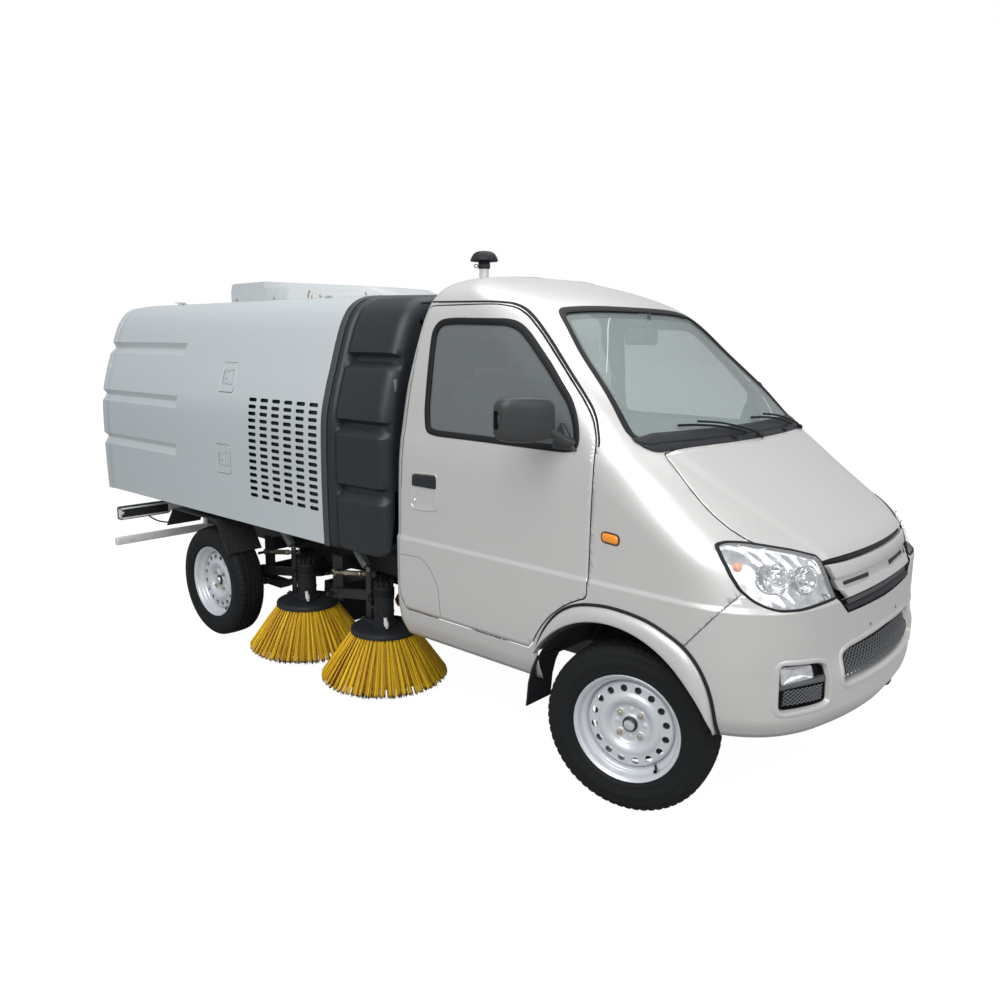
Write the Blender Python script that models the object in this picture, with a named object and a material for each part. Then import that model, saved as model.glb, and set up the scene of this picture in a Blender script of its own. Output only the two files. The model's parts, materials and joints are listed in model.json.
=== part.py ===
"""Sidewalk sweeper: a small cab-over truck with a water tank, a sweeper box and four side brooms.

Metres, +X forward, +Y to the vehicle's left, +Z up. The origin is on the ground under the middle
of the overall length and width. Each moving piece is parented to an empty on its joint's axis.
"""

import math

import bmesh
import bpy
from mathutils import Matrix, Vector

# ---------------------------------------------------------------- driving dimensions
wheelbase = 2.600
front_overhang = 0.655          # front axle to the bumper's foremost point
rear_overhang = 1.135           # rear axle to the box's rear face
seat_gap = 0.0003               # between pieces that touch
panel_gap = 0.005               # round every door and lid that opens

tyre_radius = 0.300
tyre_width = 0.165
rim_radius = 0.178              # seat of the tyre's bead
rim_lip_radius = 0.192
rim_width = 0.140
rim_wall = 0.005
front_tyre_y = 0.636            # middle of the tyre
rear_tyre_y = 0.661
kingpin_y = 0.556
steer_at_rest = 13.0            # degrees, to the left

overall_length = front_overhang + wheelbase + rear_overhang
front_axle_x = overall_length / 2 - front_overhang
rear_axle_x = front_axle_x - wheelbase
axle_z = tyre_radius

# cab, from the front axle
cab_rear = -1.110
cab_wall = 0.040
cab_floor_z = 0.615
floor_thickness = 0.030
sill_z = 0.425
belt_z = 1.240
cab_half_width = 0.742
arch_radius = 0.372
arch_centre_z = 0.305
arch_inner_y = 0.388            # outboard face of the wheelhouse's inner wall
glass_thickness = 0.005
glass_depth = 0.016             # how far the glass lies under the outer surface

# sweeper box and tank
box_front = 1.092 - wheelbase
box_rear = -rear_overhang - wheelbase
box_floor_z = 0.690
box_half_width = 0.772
box_top_z = 1.815
cover_wall = 0.030
cover_hinge_y = 0.430
rear_door_depth = 0.055
tank_front = -1.135
tank_rear = box_front + 0.006
tank_floor_z = 0.675

# chassis
rail_y = 0.300
rail_width = 0.055
rail_bottom = 0.455
rail_height = 0.100
rail_front = 0.400
rail_rear = -0.730 - wheelbase

spring_y = 0.400
spring_eye_z = 0.330
spring_front = 0.350 - wheelbase        # front eye, from the front axle
spring_rear = -0.530 - wheelbase
strut_y = 0.505
knuckle_top = 0.430
knuckle_low = 0.1855

# brooms
broom_y = 0.505
broom_front_x = 1.163 - wheelbase       # from the front axle
broom_pitch = 0.606             # front broom to rear broom
brush_radius = 0.296
brush_root_radius = 0.150
brush_tip_z = 0.080             # outer row's tips
brush_low_z = 0.020             # inner row's tips
brush_low_radius = 0.266
cover_radius = 0.158
cover_top_z = 0.281
cover_skirt = 0.026
arm_length = 0.300
arm_angle = 9.0                 # degrees up towards the broom
link_rise = 0.105               # upper link above the lower arm

FRONT, REAR = 1, -1
LEFT, RIGHT = 1, -1
SIDE_NAMES = {LEFT: "left", RIGHT: "right"}

# ---------------------------------------------------------------- scene and helpers


def clear_scene():
    for thing in list(bpy.data.objects):
        bpy.data.objects.remove(thing, do_unlink=True)


def new_collection(name):
    made = bpy.data.collections.new(name)
    bpy.context.scene.collection.children.link(made)
    return made


clear_scene()
parts = new_collection("sidewalk_sweeper")
cutters = new_collection("cutters")


def material(name, colour, roughness, metallic=0.0, alpha=1.0):
    made = bpy.data.materials.new(name)
    made.use_nodes = True
    shader = made.node_tree.nodes["Principled BSDF"]
    shader.inputs["Base Color"].default_value = (*colour, 1.0)
    shader.inputs["Roughness"].default_value = roughness
    shader.inputs["Metallic"].default_value = metallic
    shader.inputs["Alpha"].default_value = alpha
    return made


cab_paint = material("cab_paint", (0.62, 0.60, 0.57), 0.35, 0.5)
box_paint = material("box_paint", (0.56, 0.60, 0.61), 0.40, 0.4)
black_plastic = material("black_plastic", (0.02, 0.022, 0.024), 0.55)
black_steel = material("black_steel", (0.025, 0.025, 0.028), 0.45, 0.6)
tyre_rubber = material("tyre_rubber", (0.018, 0.018, 0.018), 0.8)
rim_silver = material("rim_silver", (0.60, 0.61, 0.63), 0.35, 0.8)
glass_clear = material("glass_clear", (0.75, 0.82, 0.80), 0.03, 0.0, 0.3)
lamp_clear = material("lamp_clear", (0.85, 0.87, 0.88), 0.08)
cast_iron = material("cast_iron", (0.12, 0.12, 0.12), 0.7, 0.8)
seat_cloth = material("seat_cloth", (0.10, 0.10, 0.11), 0.9)
zinc_steel = material("zinc_steel", (0.60, 0.52, 0.38), 0.35, 0.9)
bristle_yellow = material("bristle_yellow", (0.75, 0.52, 0.02), 0.7)
white_steel = material("white_steel", (0.72, 0.73, 0.72), 0.4, 0.2)


def link_mesh(name, bm, finish, collection=parts, smooth=35.0):
    bmesh.ops.remove_doubles(bm, verts=bm.verts[:], dist=1e-6)
    bmesh.ops.recalc_face_normals(bm, faces=bm.faces[:])
    mesh = bpy.data.meshes.new(name)
    bm.to_mesh(mesh)
    bm.free()
    if smooth:
        mesh.shade_smooth()
        mesh.set_sharp_from_angle(angle=math.radians(smooth))
    if finish:
        mesh.materials.append(finish)
    made = bpy.data.objects.new(name, mesh)
    collection.objects.link(made)
    return made


def helper(made):
    """Turns an object into a cutter: never rendered and never a part."""
    for holder in list(made.users_collection):
        holder.objects.unlink(made)
    cutters.objects.link(made)
    made.hide_render = True
    made.display_type = "WIRE"
    return made


def box_mesh(bm, low, high):
    size = [b - a for a, b in zip(low, high)]
    middle = [(a + b) / 2 for a, b in zip(low, high)]
    grown = Matrix.Translation(middle) @ Matrix.Diagonal((*size, 1.0))
    bmesh.ops.create_cube(bm, size=1.0, matrix=grown)


def cylinder_mesh(bm, start, end, radius, end_radius=None, segments=16):
    """A round bar or cone from one point to another."""
    start, end = Vector(start), Vector(end)
    run = end - start
    turn = run.to_track_quat("Z", "Y").to_matrix().to_4x4()
    place = Matrix.Translation((start + end) / 2) @ turn
    last = radius if end_radius is None else end_radius
    bmesh.ops.create_cone(
        bm, cap_ends=True, segments=segments, radius1=radius, radius2=last,
        depth=run.length, matrix=place,
    )


def prism_mesh(bm, outline, plane, low, high):
    """A flat outline in plane 'xz', 'yz' or 'xy', extruded along the third axis from low to high."""
    def point(a, b, c):
        return {"xz": (a, c, b), "yz": (c, a, b), "xy": (a, b, c)}[plane]

    near = [bm.verts.new(point(a, b, low)) for a, b in outline]
    face = bm.faces.new(near)
    grown = bmesh.ops.extrude_face_region(bm, geom=[face])
    shift = Vector(point(0, 0, high)) - Vector(point(0, 0, low))
    moved = [g for g in grown["geom"] if isinstance(g, bmesh.types.BMVert)]
    bmesh.ops.translate(bm, verts=moved, vec=shift)


def turned_mesh(bm, profile, axis_point, axis, segments, closed=False):
    """A profile of (radius, distance along the axis) points spun round the axis."""
    axis = Vector(axis).normalized()
    side = Vector((0, 0, 1)) if abs(axis.z) < 0.5 else Vector((1, 0, 0))
    side = (side - axis * side.dot(axis)).normalized()
    base = Vector(axis_point)
    points = [bm.verts.new(base + side * r + axis * a) for r, a in profile]
    edges = [bm.edges.new(pair) for pair in zip(points, points[1:])]
    if closed:
        edges.append(bm.edges.new((points[-1], points[0])))
    bmesh.ops.spin(
        bm, geom=points + edges, cent=base, axis=axis, angle=2 * math.pi,
        steps=segments, use_merge=True, use_duplicate=False,
    )


def loft_mesh(bm, rings):
    """Skins rings that all have the same number of points, and closes both ends."""
    rows = [[bm.verts.new(p) for p in ring] for ring in rings]
    for low, high in zip(rows, rows[1:]):
        count = len(low)
        for i in range(count):
            j = (i + 1) % count
            bm.faces.new((low[i], low[j], high[j], high[i]))
    bm.faces.new(rows[0])
    bm.faces.new(rows[-1])
    bmesh.ops.triangulate(bm, faces=bm.faces[:])


def solid(name, finish, *builders, collection=parts, smooth=35.0):
    """One object from builder calls, each (function, arguments...), left as separate shells."""
    bm = bmesh.new()
    for function, *arguments in builders:
        function(bm, *arguments)
    return link_mesh(name, bm, finish, collection, smooth)


def boolean(made, other, operation):
    step = made.modifiers.new(f"{operation.lower()} {other.name}", "BOOLEAN")
    step.operation = operation
    step.object = other
    step.solver = "EXACT"
    return made


def united(made, name, builders):
    """Unites more shapes to an object that is already cut."""
    added = bpy.data.collections.new(name)
    cutters.children.link(added)
    for number, builder in enumerate(builders):
        piece = solid(f"{name}_{number}", None, builder, collection=added, smooth=0)
        piece.hide_render = True
        piece.display_type = "WIRE"
    step = made.modifiers.new(name, "BOOLEAN")
    step.operation = "UNION"
    step.operand_type = "COLLECTION"
    step.collection = added
    step.solver = "EXACT"


# Half sections seen along the vehicle, from the bottom edge up to the middle of the roof
BOX_SECTION = (
    (box_half_width - 0.007, box_floor_z), (box_half_width, 0.950), (box_half_width - 0.004, 1.243),
    (0.961 * box_half_width, 1.380), (0.918 * box_half_width, 1.490), (0.874 * box_half_width, 1.600),
    (0.829 * box_half_width, 1.690), (0.764 * box_half_width, 1.758), (0.674 * box_half_width, 1.795),
    (cover_hinge_y, 1.808), (0.0, box_top_z + 0.015),
)


def joined(name, finish, *builders, smooth=35.0):
    """One solid: the first builder's shape, with each other one united to it."""
    made = solid(name, finish, builders[0], smooth=smooth)
    united(made, f"{name}_added", builders[1:])
    return made


def applied(made):
    """Bakes an object's modifiers into its mesh, so that others can be cut from it."""
    graph = bpy.context.evaluated_depsgraph_get()
    baked = bpy.data.meshes.new_from_object(made.evaluated_get(graph))
    made.modifiers.clear()
    made.data = baked
    return made


def copy_of(made, name, finish):
    mesh = made.data.copy()
    mesh.materials.clear()
    mesh.materials.append(finish)
    made = bpy.data.objects.new(name, mesh)
    parts.objects.link(made)
    return made


def cutter(name, *builders):
    return helper(solid(name, None, *builders, smooth=0))


def pivot(name, place):
    made = bpy.data.objects.new(name, None)
    made.location = place
    parts.objects.link(made)
    return made


def hang(children, empty):
    """Parents pieces, modelled in place, to the empty on their joint's axis."""
    bpy.context.view_layer.update()
    for child in children:
        child.parent = empty
        child.matrix_parent_inverse = empty.matrix_world.inverted()


def arc(centre, radius, start, end, steps):
    """Points on a circle, angles in degrees."""
    turn = [math.radians(start + (end - start) * i / steps) for i in range(steps + 1)]
    return [(centre[0] + radius * math.cos(t), centre[1] + radius * math.sin(t)) for t in turn]


def from_axle(points):
    """Moves side-view points, measured from the front axle, into the part's frame."""
    return [(x + front_axle_x, z) for x, z in points]


# ---------------------------------------------------------------- cab surface

# Level sections of the cab from the sill to the roof, measured from the front axle:
# z, rear face x, half width, x where the front corner starts, nose half width,
# x at the nose's corner, x in the middle of the nose
CAB_LEVELS = (
    (0.380, -1.090, 0.700, 0.200, 0.420, 0.560, 0.618),
    (0.450, -1.105, 0.728, 0.220, 0.420, 0.596, 0.655),
    (0.550, -1.110, 0.740, 0.240, 0.420, 0.597, 0.655),
    (0.620, -1.110, 0.742, 0.250, 0.420, 0.585, 0.625),
    (0.795, -1.110, 0.744, 0.250, 0.400, 0.588, 0.615),
    (0.815, -1.110, 0.736, 0.240, 0.400, 0.575, 0.602),
    (0.925, -1.110, 0.734, 0.170, 0.380, 0.535, 0.572),
    (1.000, -1.110, 0.733, 0.080, 0.420, 0.430, 0.475),
    (1.200, -1.108, 0.722, -0.150, 0.545, 0.120, 0.180),
    (1.250, -1.105, 0.715, -0.210, 0.560, 0.050, 0.115),
    (1.400, -1.090, 0.700, -0.370, 0.560, -0.110, -0.035),
    (1.700, -1.025, 0.655, -0.700, 0.485, -0.435, -0.360),
    (1.765, -1.010, 0.625, -0.770, 0.450, -0.540, -0.465),
    (1.820, -0.990, 0.560, -0.830, 0.380, -0.680, -0.620),
    (1.860, -0.960, 0.430, -0.860, 0.250, -0.800, -0.760),
)
REAR_CORNER = 0.060


def cab_ring(level, inset):
    """One level section, moved inwards by inset, as a closed ring of points."""
    z, rear, half, corner, nose_half, nose_x, middle_x = level
    rear, half, corner = rear + inset, half - inset, corner - 0.3 * inset
    nose_half, nose_x, middle_x = nose_half - 0.5 * inset, nose_x - inset, middle_x - inset
    side = [(rear, 0.0)]
    corner_round = min(REAR_CORNER, 0.4 * half)
    side += arc((rear + corner_round, half - corner_round), corner_round, 180, 90, 2)
    side.append(((rear + corner_round + corner) / 2, half))
    slope = 2 * (nose_x - middle_x) / nose_half
    bend = (nose_x + slope * (half - nose_half), half)
    start, end = (corner, half), (nose_x, nose_half)
    for step in range(6):
        t = step / 5
        side.append(tuple(
            (1 - t) ** 2 * a + 2 * t * (1 - t) * b + t * t * c
            for a, b, c in zip(start, bend, end)
        ))
    side.append((middle_x + (nose_x - middle_x) * 0.25, nose_half * 0.5))
    side.append((middle_x, 0.0))
    whole = side + [(x, -y) for x, y in reversed(side[1:-1])]
    return [(x + front_axle_x, y, z) for x, y in whole]


def cab_solid(name, inset, top_inset):
    """The cab's outer form moved inwards by inset, and down by top_inset at the roof."""
    roof = CAB_LEVELS[-1][0]
    low = CAB_LEVELS[0]
    rings = [cab_ring((low[0] - 0.05, *low[1:]), inset)] if inset else []
    for level in CAB_LEVELS:
        drop = top_inset * max(0.0, (level[0] - belt_z) / (roof - belt_z))
        rings.append(cab_ring((level[0] - drop, *level[1:]), inset))
    return helper(solid(name, None, (loft_mesh, rings), smooth=0))


DOOR_FRONT = -0.120
DOOR_REAR = -1.062
FLARE_CENTRE = (0.016, 0.366)   # of the flare's outer edge, from the front axle
FLARE_RADIUS = 0.382
SEAM_RADIUS = 0.400             # the door's seam runs round the flare


def door_outline(grow, more=0.0):
    """The door's edge in side view, with grow added all round and more at the rear upper corner."""
    seam = arc(FLARE_CENTRE, SEAM_RADIUS - grow, 111, 157, 5)
    points = [
        (DOOR_REAR - grow, 0.560), (DOOR_REAR - grow, 1.180), (-1.000 - grow - more, 1.690),
        (-0.975 - grow - more, 1.735 + grow), (-0.500, 1.735 + grow), (-0.465 + grow, 1.715 + grow),
        (DOOR_FRONT + grow, 1.270), (DOOR_FRONT + grow, 0.752),
        *seam, (-0.372, 0.500 - grow), (-0.980, 0.502 - grow),
    ]
    return from_axle(points)


def window_outline(shrink):
    points = [
        (-0.945 + shrink, 1.640 - shrink), (-0.915 + shrink, 1.672 - shrink),
        (-0.490 - shrink, 1.672 - shrink), (-0.455 - shrink, 1.655 - shrink),
        (-0.215 - shrink, 1.265 + shrink), (-0.235 - shrink, 1.232 + shrink),
        (-0.925 + shrink, 1.232 + shrink), (-0.952 + shrink, 1.260 + shrink),
    ]
    return from_axle(points)


def windscreen_outline(shrink):
    right = [(-0.585 + shrink, 1.290 + shrink), (-0.450 + shrink, 1.700 - shrink)]
    top = [(-0.300, 1.722 - shrink), (0.300, 1.722 - shrink)]
    left = [(0.450 - shrink, 1.700 - shrink), (0.585 - shrink, 1.290 + shrink)]
    low = [(0.480, 1.262 + shrink), (0.0, 1.252 + shrink), (-0.480, 1.262 + shrink)]
    return right + top + left + low


HOOD_TOP_Z = 1.235
HOOD_REAR = 0.095               # rear edge, from the front axle
HOOD_HINGE = (0.140, 1.203)     # axis, from the front axle
HOOD_HINGE_Y = 0.300
DOOR_HINGE = (-0.150, 0.738)    # axis from the front axle, and its distance from the middle
HINGE_PIN = 0.003
PIN_SIDES = 8
HANDLE_RECESS = ((-0.975, 0.962), (-0.840, 1.072))      # corners in side view
LOWER_OPENING = [(-0.271, 0.607), (-0.248, 0.484), (0.248, 0.484), (0.271, 0.607)]
FOG_OPENING = ((0.515, 0.455), (0.625, 0.645))          # corners seen from the front
MESH_DEPTH = 0.012


def hood_outline(grow, rear):
    """The hood's edge seen from above, from the cowl to the lip."""
    right = [(rear, -0.600 - grow), (0.230, -0.610 - grow), (0.360, -0.590 - grow)]
    lip = [(0.440, -0.520 - grow), (0.530 + grow, -0.390), (0.640, -0.385), (0.640, 0.385)]
    lip += [(0.530 + grow, 0.390), (0.440, 0.520 + grow)]
    left = [(0.360, 0.590 + grow), (0.230, 0.610 + grow), (rear, 0.600 + grow)]
    return from_axle(right + lip + left)


def headlamp_outline(side, shrink):
    points = [
        (0.386 + shrink, 0.945 - shrink), (0.345 + shrink, 0.800 + shrink),
        (0.540, 0.772 + shrink), (0.655 - shrink, 0.845 + shrink),
        (0.700 - shrink, 0.915), (0.690 - shrink, 0.985 - shrink), (0.600, 0.997 - shrink),
    ]
    return [(side * y, z) for y, z in points]


def grille_outline(shrink):
    half = [(0.295 - shrink, 0.752 + shrink), (0.345 - shrink, 0.800), (0.386 - shrink, 0.945)]
    return half + [(-y, z) for y, z in reversed(half)]


def bumper_outline(grow):
    points = [
        (0.262 - grow, 0.640), (0.400 - 0.3 * grow, 0.846 + 2 * grow), (0.430 + grow, 0.806 + grow),
        (0.700, 0.806 + grow), (0.700, 0.330), (0.262 - grow, 0.330),
    ]
    return from_axle(points)


def cab_blanks():
    """The cab's walls before they are split: outer form less cabin, nose bay, arches and underside."""
    reach = overall_length
    wall = cab_solid("cab_outer", 0.0, 0.0)
    centre = (front_axle_x + FLARE_CENTRE[0], 0, FLARE_CENTRE[1])
    lip = [(FLARE_RADIUS - 0.080, 0.705), (FLARE_RADIUS - 0.080, 0.766),
           (FLARE_RADIUS - 0.025, 0.768), (FLARE_RADIUS, 0.748), (FLARE_RADIUS, 0.705)]
    for side in (LEFT, RIGHT):
        flare = cutter(f"flare_{SIDE_NAMES[side]}", (turned_mesh, lip, centre, (0, side, 0), 32, True))
        for end, low, high, bottom in (
                ("rear", -reach, front_axle_x, 0.495), ("front", front_axle_x, reach, 0.408)):
            below = cutter(f"flare_below_{end}_{SIDE_NAMES[side]}", (
                box_mesh, (low, -1, -1), (high, 1, bottom)))
            boolean(flare, below, "DIFFERENCE")
        boolean(wall, applied(flare), "UNION")
    cabin = cab_solid("cab_cabin", cab_wall, cab_wall)
    firewall = front_axle_x + 0.060
    nose_back = firewall + 0.025
    keep = cutter("cabin_limit", (
        box_mesh, (-reach, -1, cab_floor_z), (firewall, 1, 2)))
    applied(boolean(cabin, keep, "INTERSECT"))
    bay = cab_solid("cab_bay", 0.028, 0.028)
    keep = cutter("bay_limit", (box_mesh, (nose_back, -1, 0.2), (reach, 1, 1.225)))
    applied(boolean(bay, keep, "INTERSECT"))
    applied(cabin)
    applied(bay)
    for name, other in (("cabin", cabin), ("bay", bay)):
        for side in (LEFT, RIGHT):
            housing = cutter(f"wheelhouse_{name}_{SIDE_NAMES[side]}", (
                cylinder_mesh, (front_axle_x, side * (arch_inner_y - 0.016), arch_centre_z),
                (front_axle_x, side * 0.80, arch_centre_z), arch_radius + 0.022, None, 32))
            boolean(other, housing, "DIFFERENCE")
    applied(cabin)
    applied(bay)
    under = cutter("underside", (box_mesh, (-reach, -0.670, 0.2), (
        firewall, 0.670, cab_floor_z - floor_thickness)))
    rail_way = cutter("rail_way", (box_mesh, (firewall - 0.05, -arch_inner_y + 0.020, 0.2), (
        nose_back + 0.05, arch_inner_y - 0.020, cab_floor_z - floor_thickness)))
    for other in (cabin, bay, under, rail_way):
        boolean(wall, other, "DIFFERENCE")
    for side in (LEFT, RIGHT):
        opening = cutter(f"arch_{SIDE_NAMES[side]}", (
            cylinder_mesh, (front_axle_x, side * arch_inner_y, arch_centre_z),
            (front_axle_x, side * 0.90, arch_centre_z), arch_radius, None, 32))
        boolean(wall, opening, "DIFFERENCE")
    sill_cut = cutter("sill_cut", (box_mesh, (-reach, -1, 0.2), (
        front_axle_x - 0.30, 1, sill_z)))
    boolean(wall, sill_cut, "DIFFERENCE")
    return applied(wall)


def region(name, outline, plane, low, high):
    return cutter(name, (prism_mesh, outline, plane, low, high))


def grown(corners, by):
    """A rectangle's corners, as an outline moved outwards."""
    (a, b), (c, d) = corners
    return [(a - by, b - by), (c + by, b - by), (c + by, d + by), (a - by, d + by)]


def front_openings(shrink):
    """The bumper's middle opening and its two fog lamp pockets, as outlines seen from the front."""
    middle = [(y - math.copysign(shrink, y), z + (shrink if z < 0.5 else -shrink)) for y, z in LOWER_OPENING]
    fog = grown(FOG_OPENING, -shrink)
    return [middle, fog, [(-y, z) for y, z in reversed(fog)]]


def lower_grille():
    """Three black meshes in the bumper's openings, joined by a strip behind its skin."""
    near, far = front_axle_x + 0.420, front_axle_x + 0.800
    back = cab_solid("mesh_back", 0.040, 0.0)
    blank = solid("lower_grille", black_plastic, *[
        (prism_mesh, outline, "yz", near, far) for outline in front_openings(seat_gap)])
    boolean(blank, cab_solid("mesh_front", MESH_DEPTH, 0.0), "INTERSECT")
    slots = cutter("mesh_slots", *[
        (box_mesh, (near, -0.225, z), (far, 0.225, z + 0.010)) for z in (0.502, 0.526, 0.550, 0.574)])
    boolean(slots, cab_solid("mesh_slot_depth", MESH_DEPTH + 0.010, 0.0), "DIFFERENCE")
    boolean(blank, applied(slots), "DIFFERENCE")
    boolean(blank, back, "DIFFERENCE")
    strip = cutter("mesh_strip", (box_mesh, (near, -0.600, 0.535), (far, 0.600, 0.565)))
    boolean(strip, cab_solid("strip_front", 0.028 + seat_gap, 0.0), "INTERSECT")
    boolean(strip, back, "DIFFERENCE")
    boolean(blank, applied(strip), "UNION")


def cab_panels():
    """Splits the cab's walls along the seams into shell, doors, hood, bumper, lamps and grille."""
    wall = cab_blanks()
    shell = copy_of(wall, "cab_shell", cab_paint)
    nose_low, nose_high = front_axle_x + 0.300, front_axle_x + 0.800
    door_inner = cab_solid("door_inner", cab_wall + 0.0005, cab_wall + 0.0005)
    floor_edge = cab_solid("floor_edge", cab_wall + 0.006, cab_wall + 0.006)
    skin = cab_solid("rebate_skin", 0.010, 0.010)
    rebate_back = cab_solid("rebate_back", cab_wall + 0.012, cab_wall + 0.012)
    recess_back = cab_solid("handle_recess_back", 0.014, 0.0)
    for side in (LEFT, RIGHT):
        name = SIDE_NAMES[side]
        low, high = sorted((side * 0.520, side * 0.900))
        around = region(f"door_around_{name}", door_outline(panel_gap, 0.008), "xz", low, high)
        boolean(around, cutter(f"pillar_around_{name}", (
            box_mesh, (-overall_length, -0.600, 0), (front_axle_x - 0.750, 0.600, 2))), "DIFFERENCE")
        boolean(around, floor_edge, "DIFFERENCE")
        inside = region(f"door_inside_{name}", door_outline(0.0), "xz", low, high)
        boolean(inside, cutter(f"pillar_inside_{name}", (
            box_mesh, (-overall_length, -0.605, 0), (front_axle_x - 0.745, 0.605, 2))), "DIFFERENCE")
        boolean(inside, door_inner, "DIFFERENCE")
        rebate = region(f"door_rebate_{name}", door_outline(0.018, 0.008), "xz", low, high)
        boolean(rebate, cutter(f"rebate_limit_{name}", (
            box_mesh, (front_axle_x - 0.900, -1, 0), (overall_length, 1, 2))), "DIFFERENCE")
        boolean(rebate, skin, "INTERSECT")
        boolean(rebate, rebate_back, "DIFFERENCE")
        opening = region(f"window_{name}", window_outline(0.0), "xz", low, high)
        recess = region(f"handle_recess_{name}", from_axle(grown(HANDLE_RECESS, 0.0)), "xz", low, high)
        boolean(recess, recess_back, "DIFFERENCE")
        boolean(shell, applied(around), "DIFFERENCE")
        boolean(shell, applied(rebate), "DIFFERENCE")
        door = copy_of(wall, f"door_{name}", cab_paint)
        boolean(door, applied(inside), "INTERSECT")
        boolean(door, opening, "DIFFERENCE")
        boolean(door, applied(recess), "DIFFERENCE")
        lamp_hole = region(
            f"lamp_hole_{name}", headlamp_outline(side, 0.0), "yz", nose_low, nose_high)
        lamp_keep = region(
            f"lamp_keep_{name}", headlamp_outline(side, seat_gap), "yz", nose_low, nose_high)
        boolean(shell, lamp_hole, "DIFFERENCE")
        lamp = copy_of(wall, f"headlamp_{name}", lamp_clear)
        boolean(lamp, lamp_keep, "INTERSECT")
    screen = region(
        "screen_hole", windscreen_outline(0.0), "yz", front_axle_x - 0.55, front_axle_x + 0.50)
    boolean(shell, screen, "DIFFERENCE")
    hood_around = region(
        "hood_around", hood_outline(panel_gap, HOOD_REAR - 0.013), "xy", 0.920, HOOD_TOP_Z + panel_gap)
    hood_inside = region(
        "hood_inside", hood_outline(0.0, HOOD_REAR), "xy", 0.925, HOOD_TOP_Z - panel_gap)
    boolean(shell, hood_around, "DIFFERENCE")
    hood = copy_of(wall, "hood", cab_paint)
    boolean(hood, hood_inside, "INTERSECT")
    grille_hole = region("grille_hole", grille_outline(0.0), "yz", nose_low, nose_high)
    grille_keep = region("grille_keep", grille_outline(seat_gap), "yz", nose_low, nose_high)
    boolean(shell, grille_hole, "DIFFERENCE")
    grille = copy_of(wall, "grille", cab_paint)
    boolean(grille, grille_keep, "INTERSECT")
    boolean(grille, cutter("grille_slots", *[
        (box_mesh, (nose_low, side * 0.172 - 0.078, z), (nose_high, side * 0.172 + 0.078, z + 0.020))
        for side in (LEFT, RIGHT) for z in (0.822,)]), "DIFFERENCE")
    bumper_around = region("bumper_around", bumper_outline(seat_gap), "xz", -1, 1)
    bumper_inside = region("bumper_inside", bumper_outline(0.0), "xz", -1, 1)
    bumper = copy_of(wall, "front_bumper", cab_paint)
    for number, outline in enumerate(front_openings(0.0)):
        boolean(bumper, region(
            f"bumper_opening_{number}", outline, "yz", front_axle_x + 0.420, front_axle_x + 0.800), "DIFFERENCE")
    boolean(bumper, bumper_inside, "INTERSECT")
    boolean(shell, bumper_around, "DIFFERENCE")
    applied(shell)
    applied(bumper)
    cab_hinges(shell, hood)
    for other in ("headlamp_left", "headlamp_right", "grille"):
        boolean(bpy.data.objects[other], hood_around, "DIFFERENCE")
    for other in ("lamp_hole_left", "lamp_hole_right", "grille_hole"):
        boolean(bumper, bpy.data.objects[other], "DIFFERENCE")
    applied(bumper)
    lower_grille()
    helper(wall)


def cab_hinges(shell, hood):
    """A pin under each door's front edge, and a bracket with a pin on each side of the hood's middle."""
    pins = []
    free = (HINGE_PIN + seat_gap) / math.cos(math.pi / PIN_SIDES)
    px = front_axle_x + DOOR_HINGE[0]
    for side in (LEFT, RIGHT):
        name = SIDE_NAMES[side]
        py = side * DOOR_HINGE[1]
        pins.append((cylinder_mesh, (px, py, 0.700), (px, py, 0.758), HINGE_PIN, None, PIN_SIDES))
        door = bpy.data.objects[f"door_{name}"]
        boolean(door, cutter(f"door_bore_{name}", (
            cylinder_mesh, (px, py, 0.700), (px, py, 0.760), free, None, PIN_SIDES)), "DIFFERENCE")
        hinge = pivot(f"door_hinge_{name}", (px, py, 0.900))
        hang([door, bpy.data.objects[f"door_glass_{name}"], bpy.data.objects[f"mirror_{name}"]], hinge)
    hx, hz = front_axle_x + HOOD_HINGE[0], HOOD_HINGE[1]
    for side in (LEFT, RIGHT):
        y = side * HOOD_HINGE_Y
        pins.append((box_mesh, (front_axle_x + 0.070, y - 0.010, hz - 0.032), (hx - 0.002, y + 0.010, hz - 0.020)))
        pins.append((box_mesh, (hx - 0.006, y - 0.010, hz - 0.032), (hx + 0.005, y + 0.010, hz + 0.003)))
        pins.append((cylinder_mesh, (hx, y - 0.026, hz), (hx, y + 0.026, hz), HINGE_PIN, None, PIN_SIDES))
        slot = cutter(f"hood_slot_{SIDE_NAMES[side]}", (
            box_mesh, (hx - 0.060, y - 0.0145, hz - 0.080), (hx + 0.0095, y + 0.0145, hz + 0.0075)))
        bore = cutter(f"hood_bore_{SIDE_NAMES[side]}", (
            cylinder_mesh, (hx, y - 0.028, hz), (hx, y + 0.028, hz), free, None, PIN_SIDES))
        boolean(hood, slot, "DIFFERENCE")
        boolean(hood, bore, "DIFFERENCE")
    united(shell, "hinge_pins", pins)
    hang([hood], pivot("hood_hinge", (hx, 0, hz)))


def door_glass():
    """A pane in each door's window and one behind the windscreen's opening."""
    outer = cab_solid("glass_outer", glass_depth, glass_depth)
    inner = cab_solid("glass_inner", glass_depth + glass_thickness, glass_depth + glass_thickness)
    boolean(outer, inner, "DIFFERENCE")
    pane = applied(outer)
    for side in (LEFT, RIGHT):
        name = SIDE_NAMES[side]
        made = copy_of(pane, f"door_glass_{name}", glass_clear)
        low, high = sorted((side * 0.520, side * 0.900))
        boolean(made, region(f"pane_{name}", window_outline(seat_gap), "xz", low, high), "INTERSECT")
    made = copy_of(pane, "windscreen", glass_clear)
    boolean(made, region(
        "pane_screen", windscreen_outline(seat_gap), "yz", front_axle_x - 0.55,
        front_axle_x + 0.50), "INTERSECT")


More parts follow.
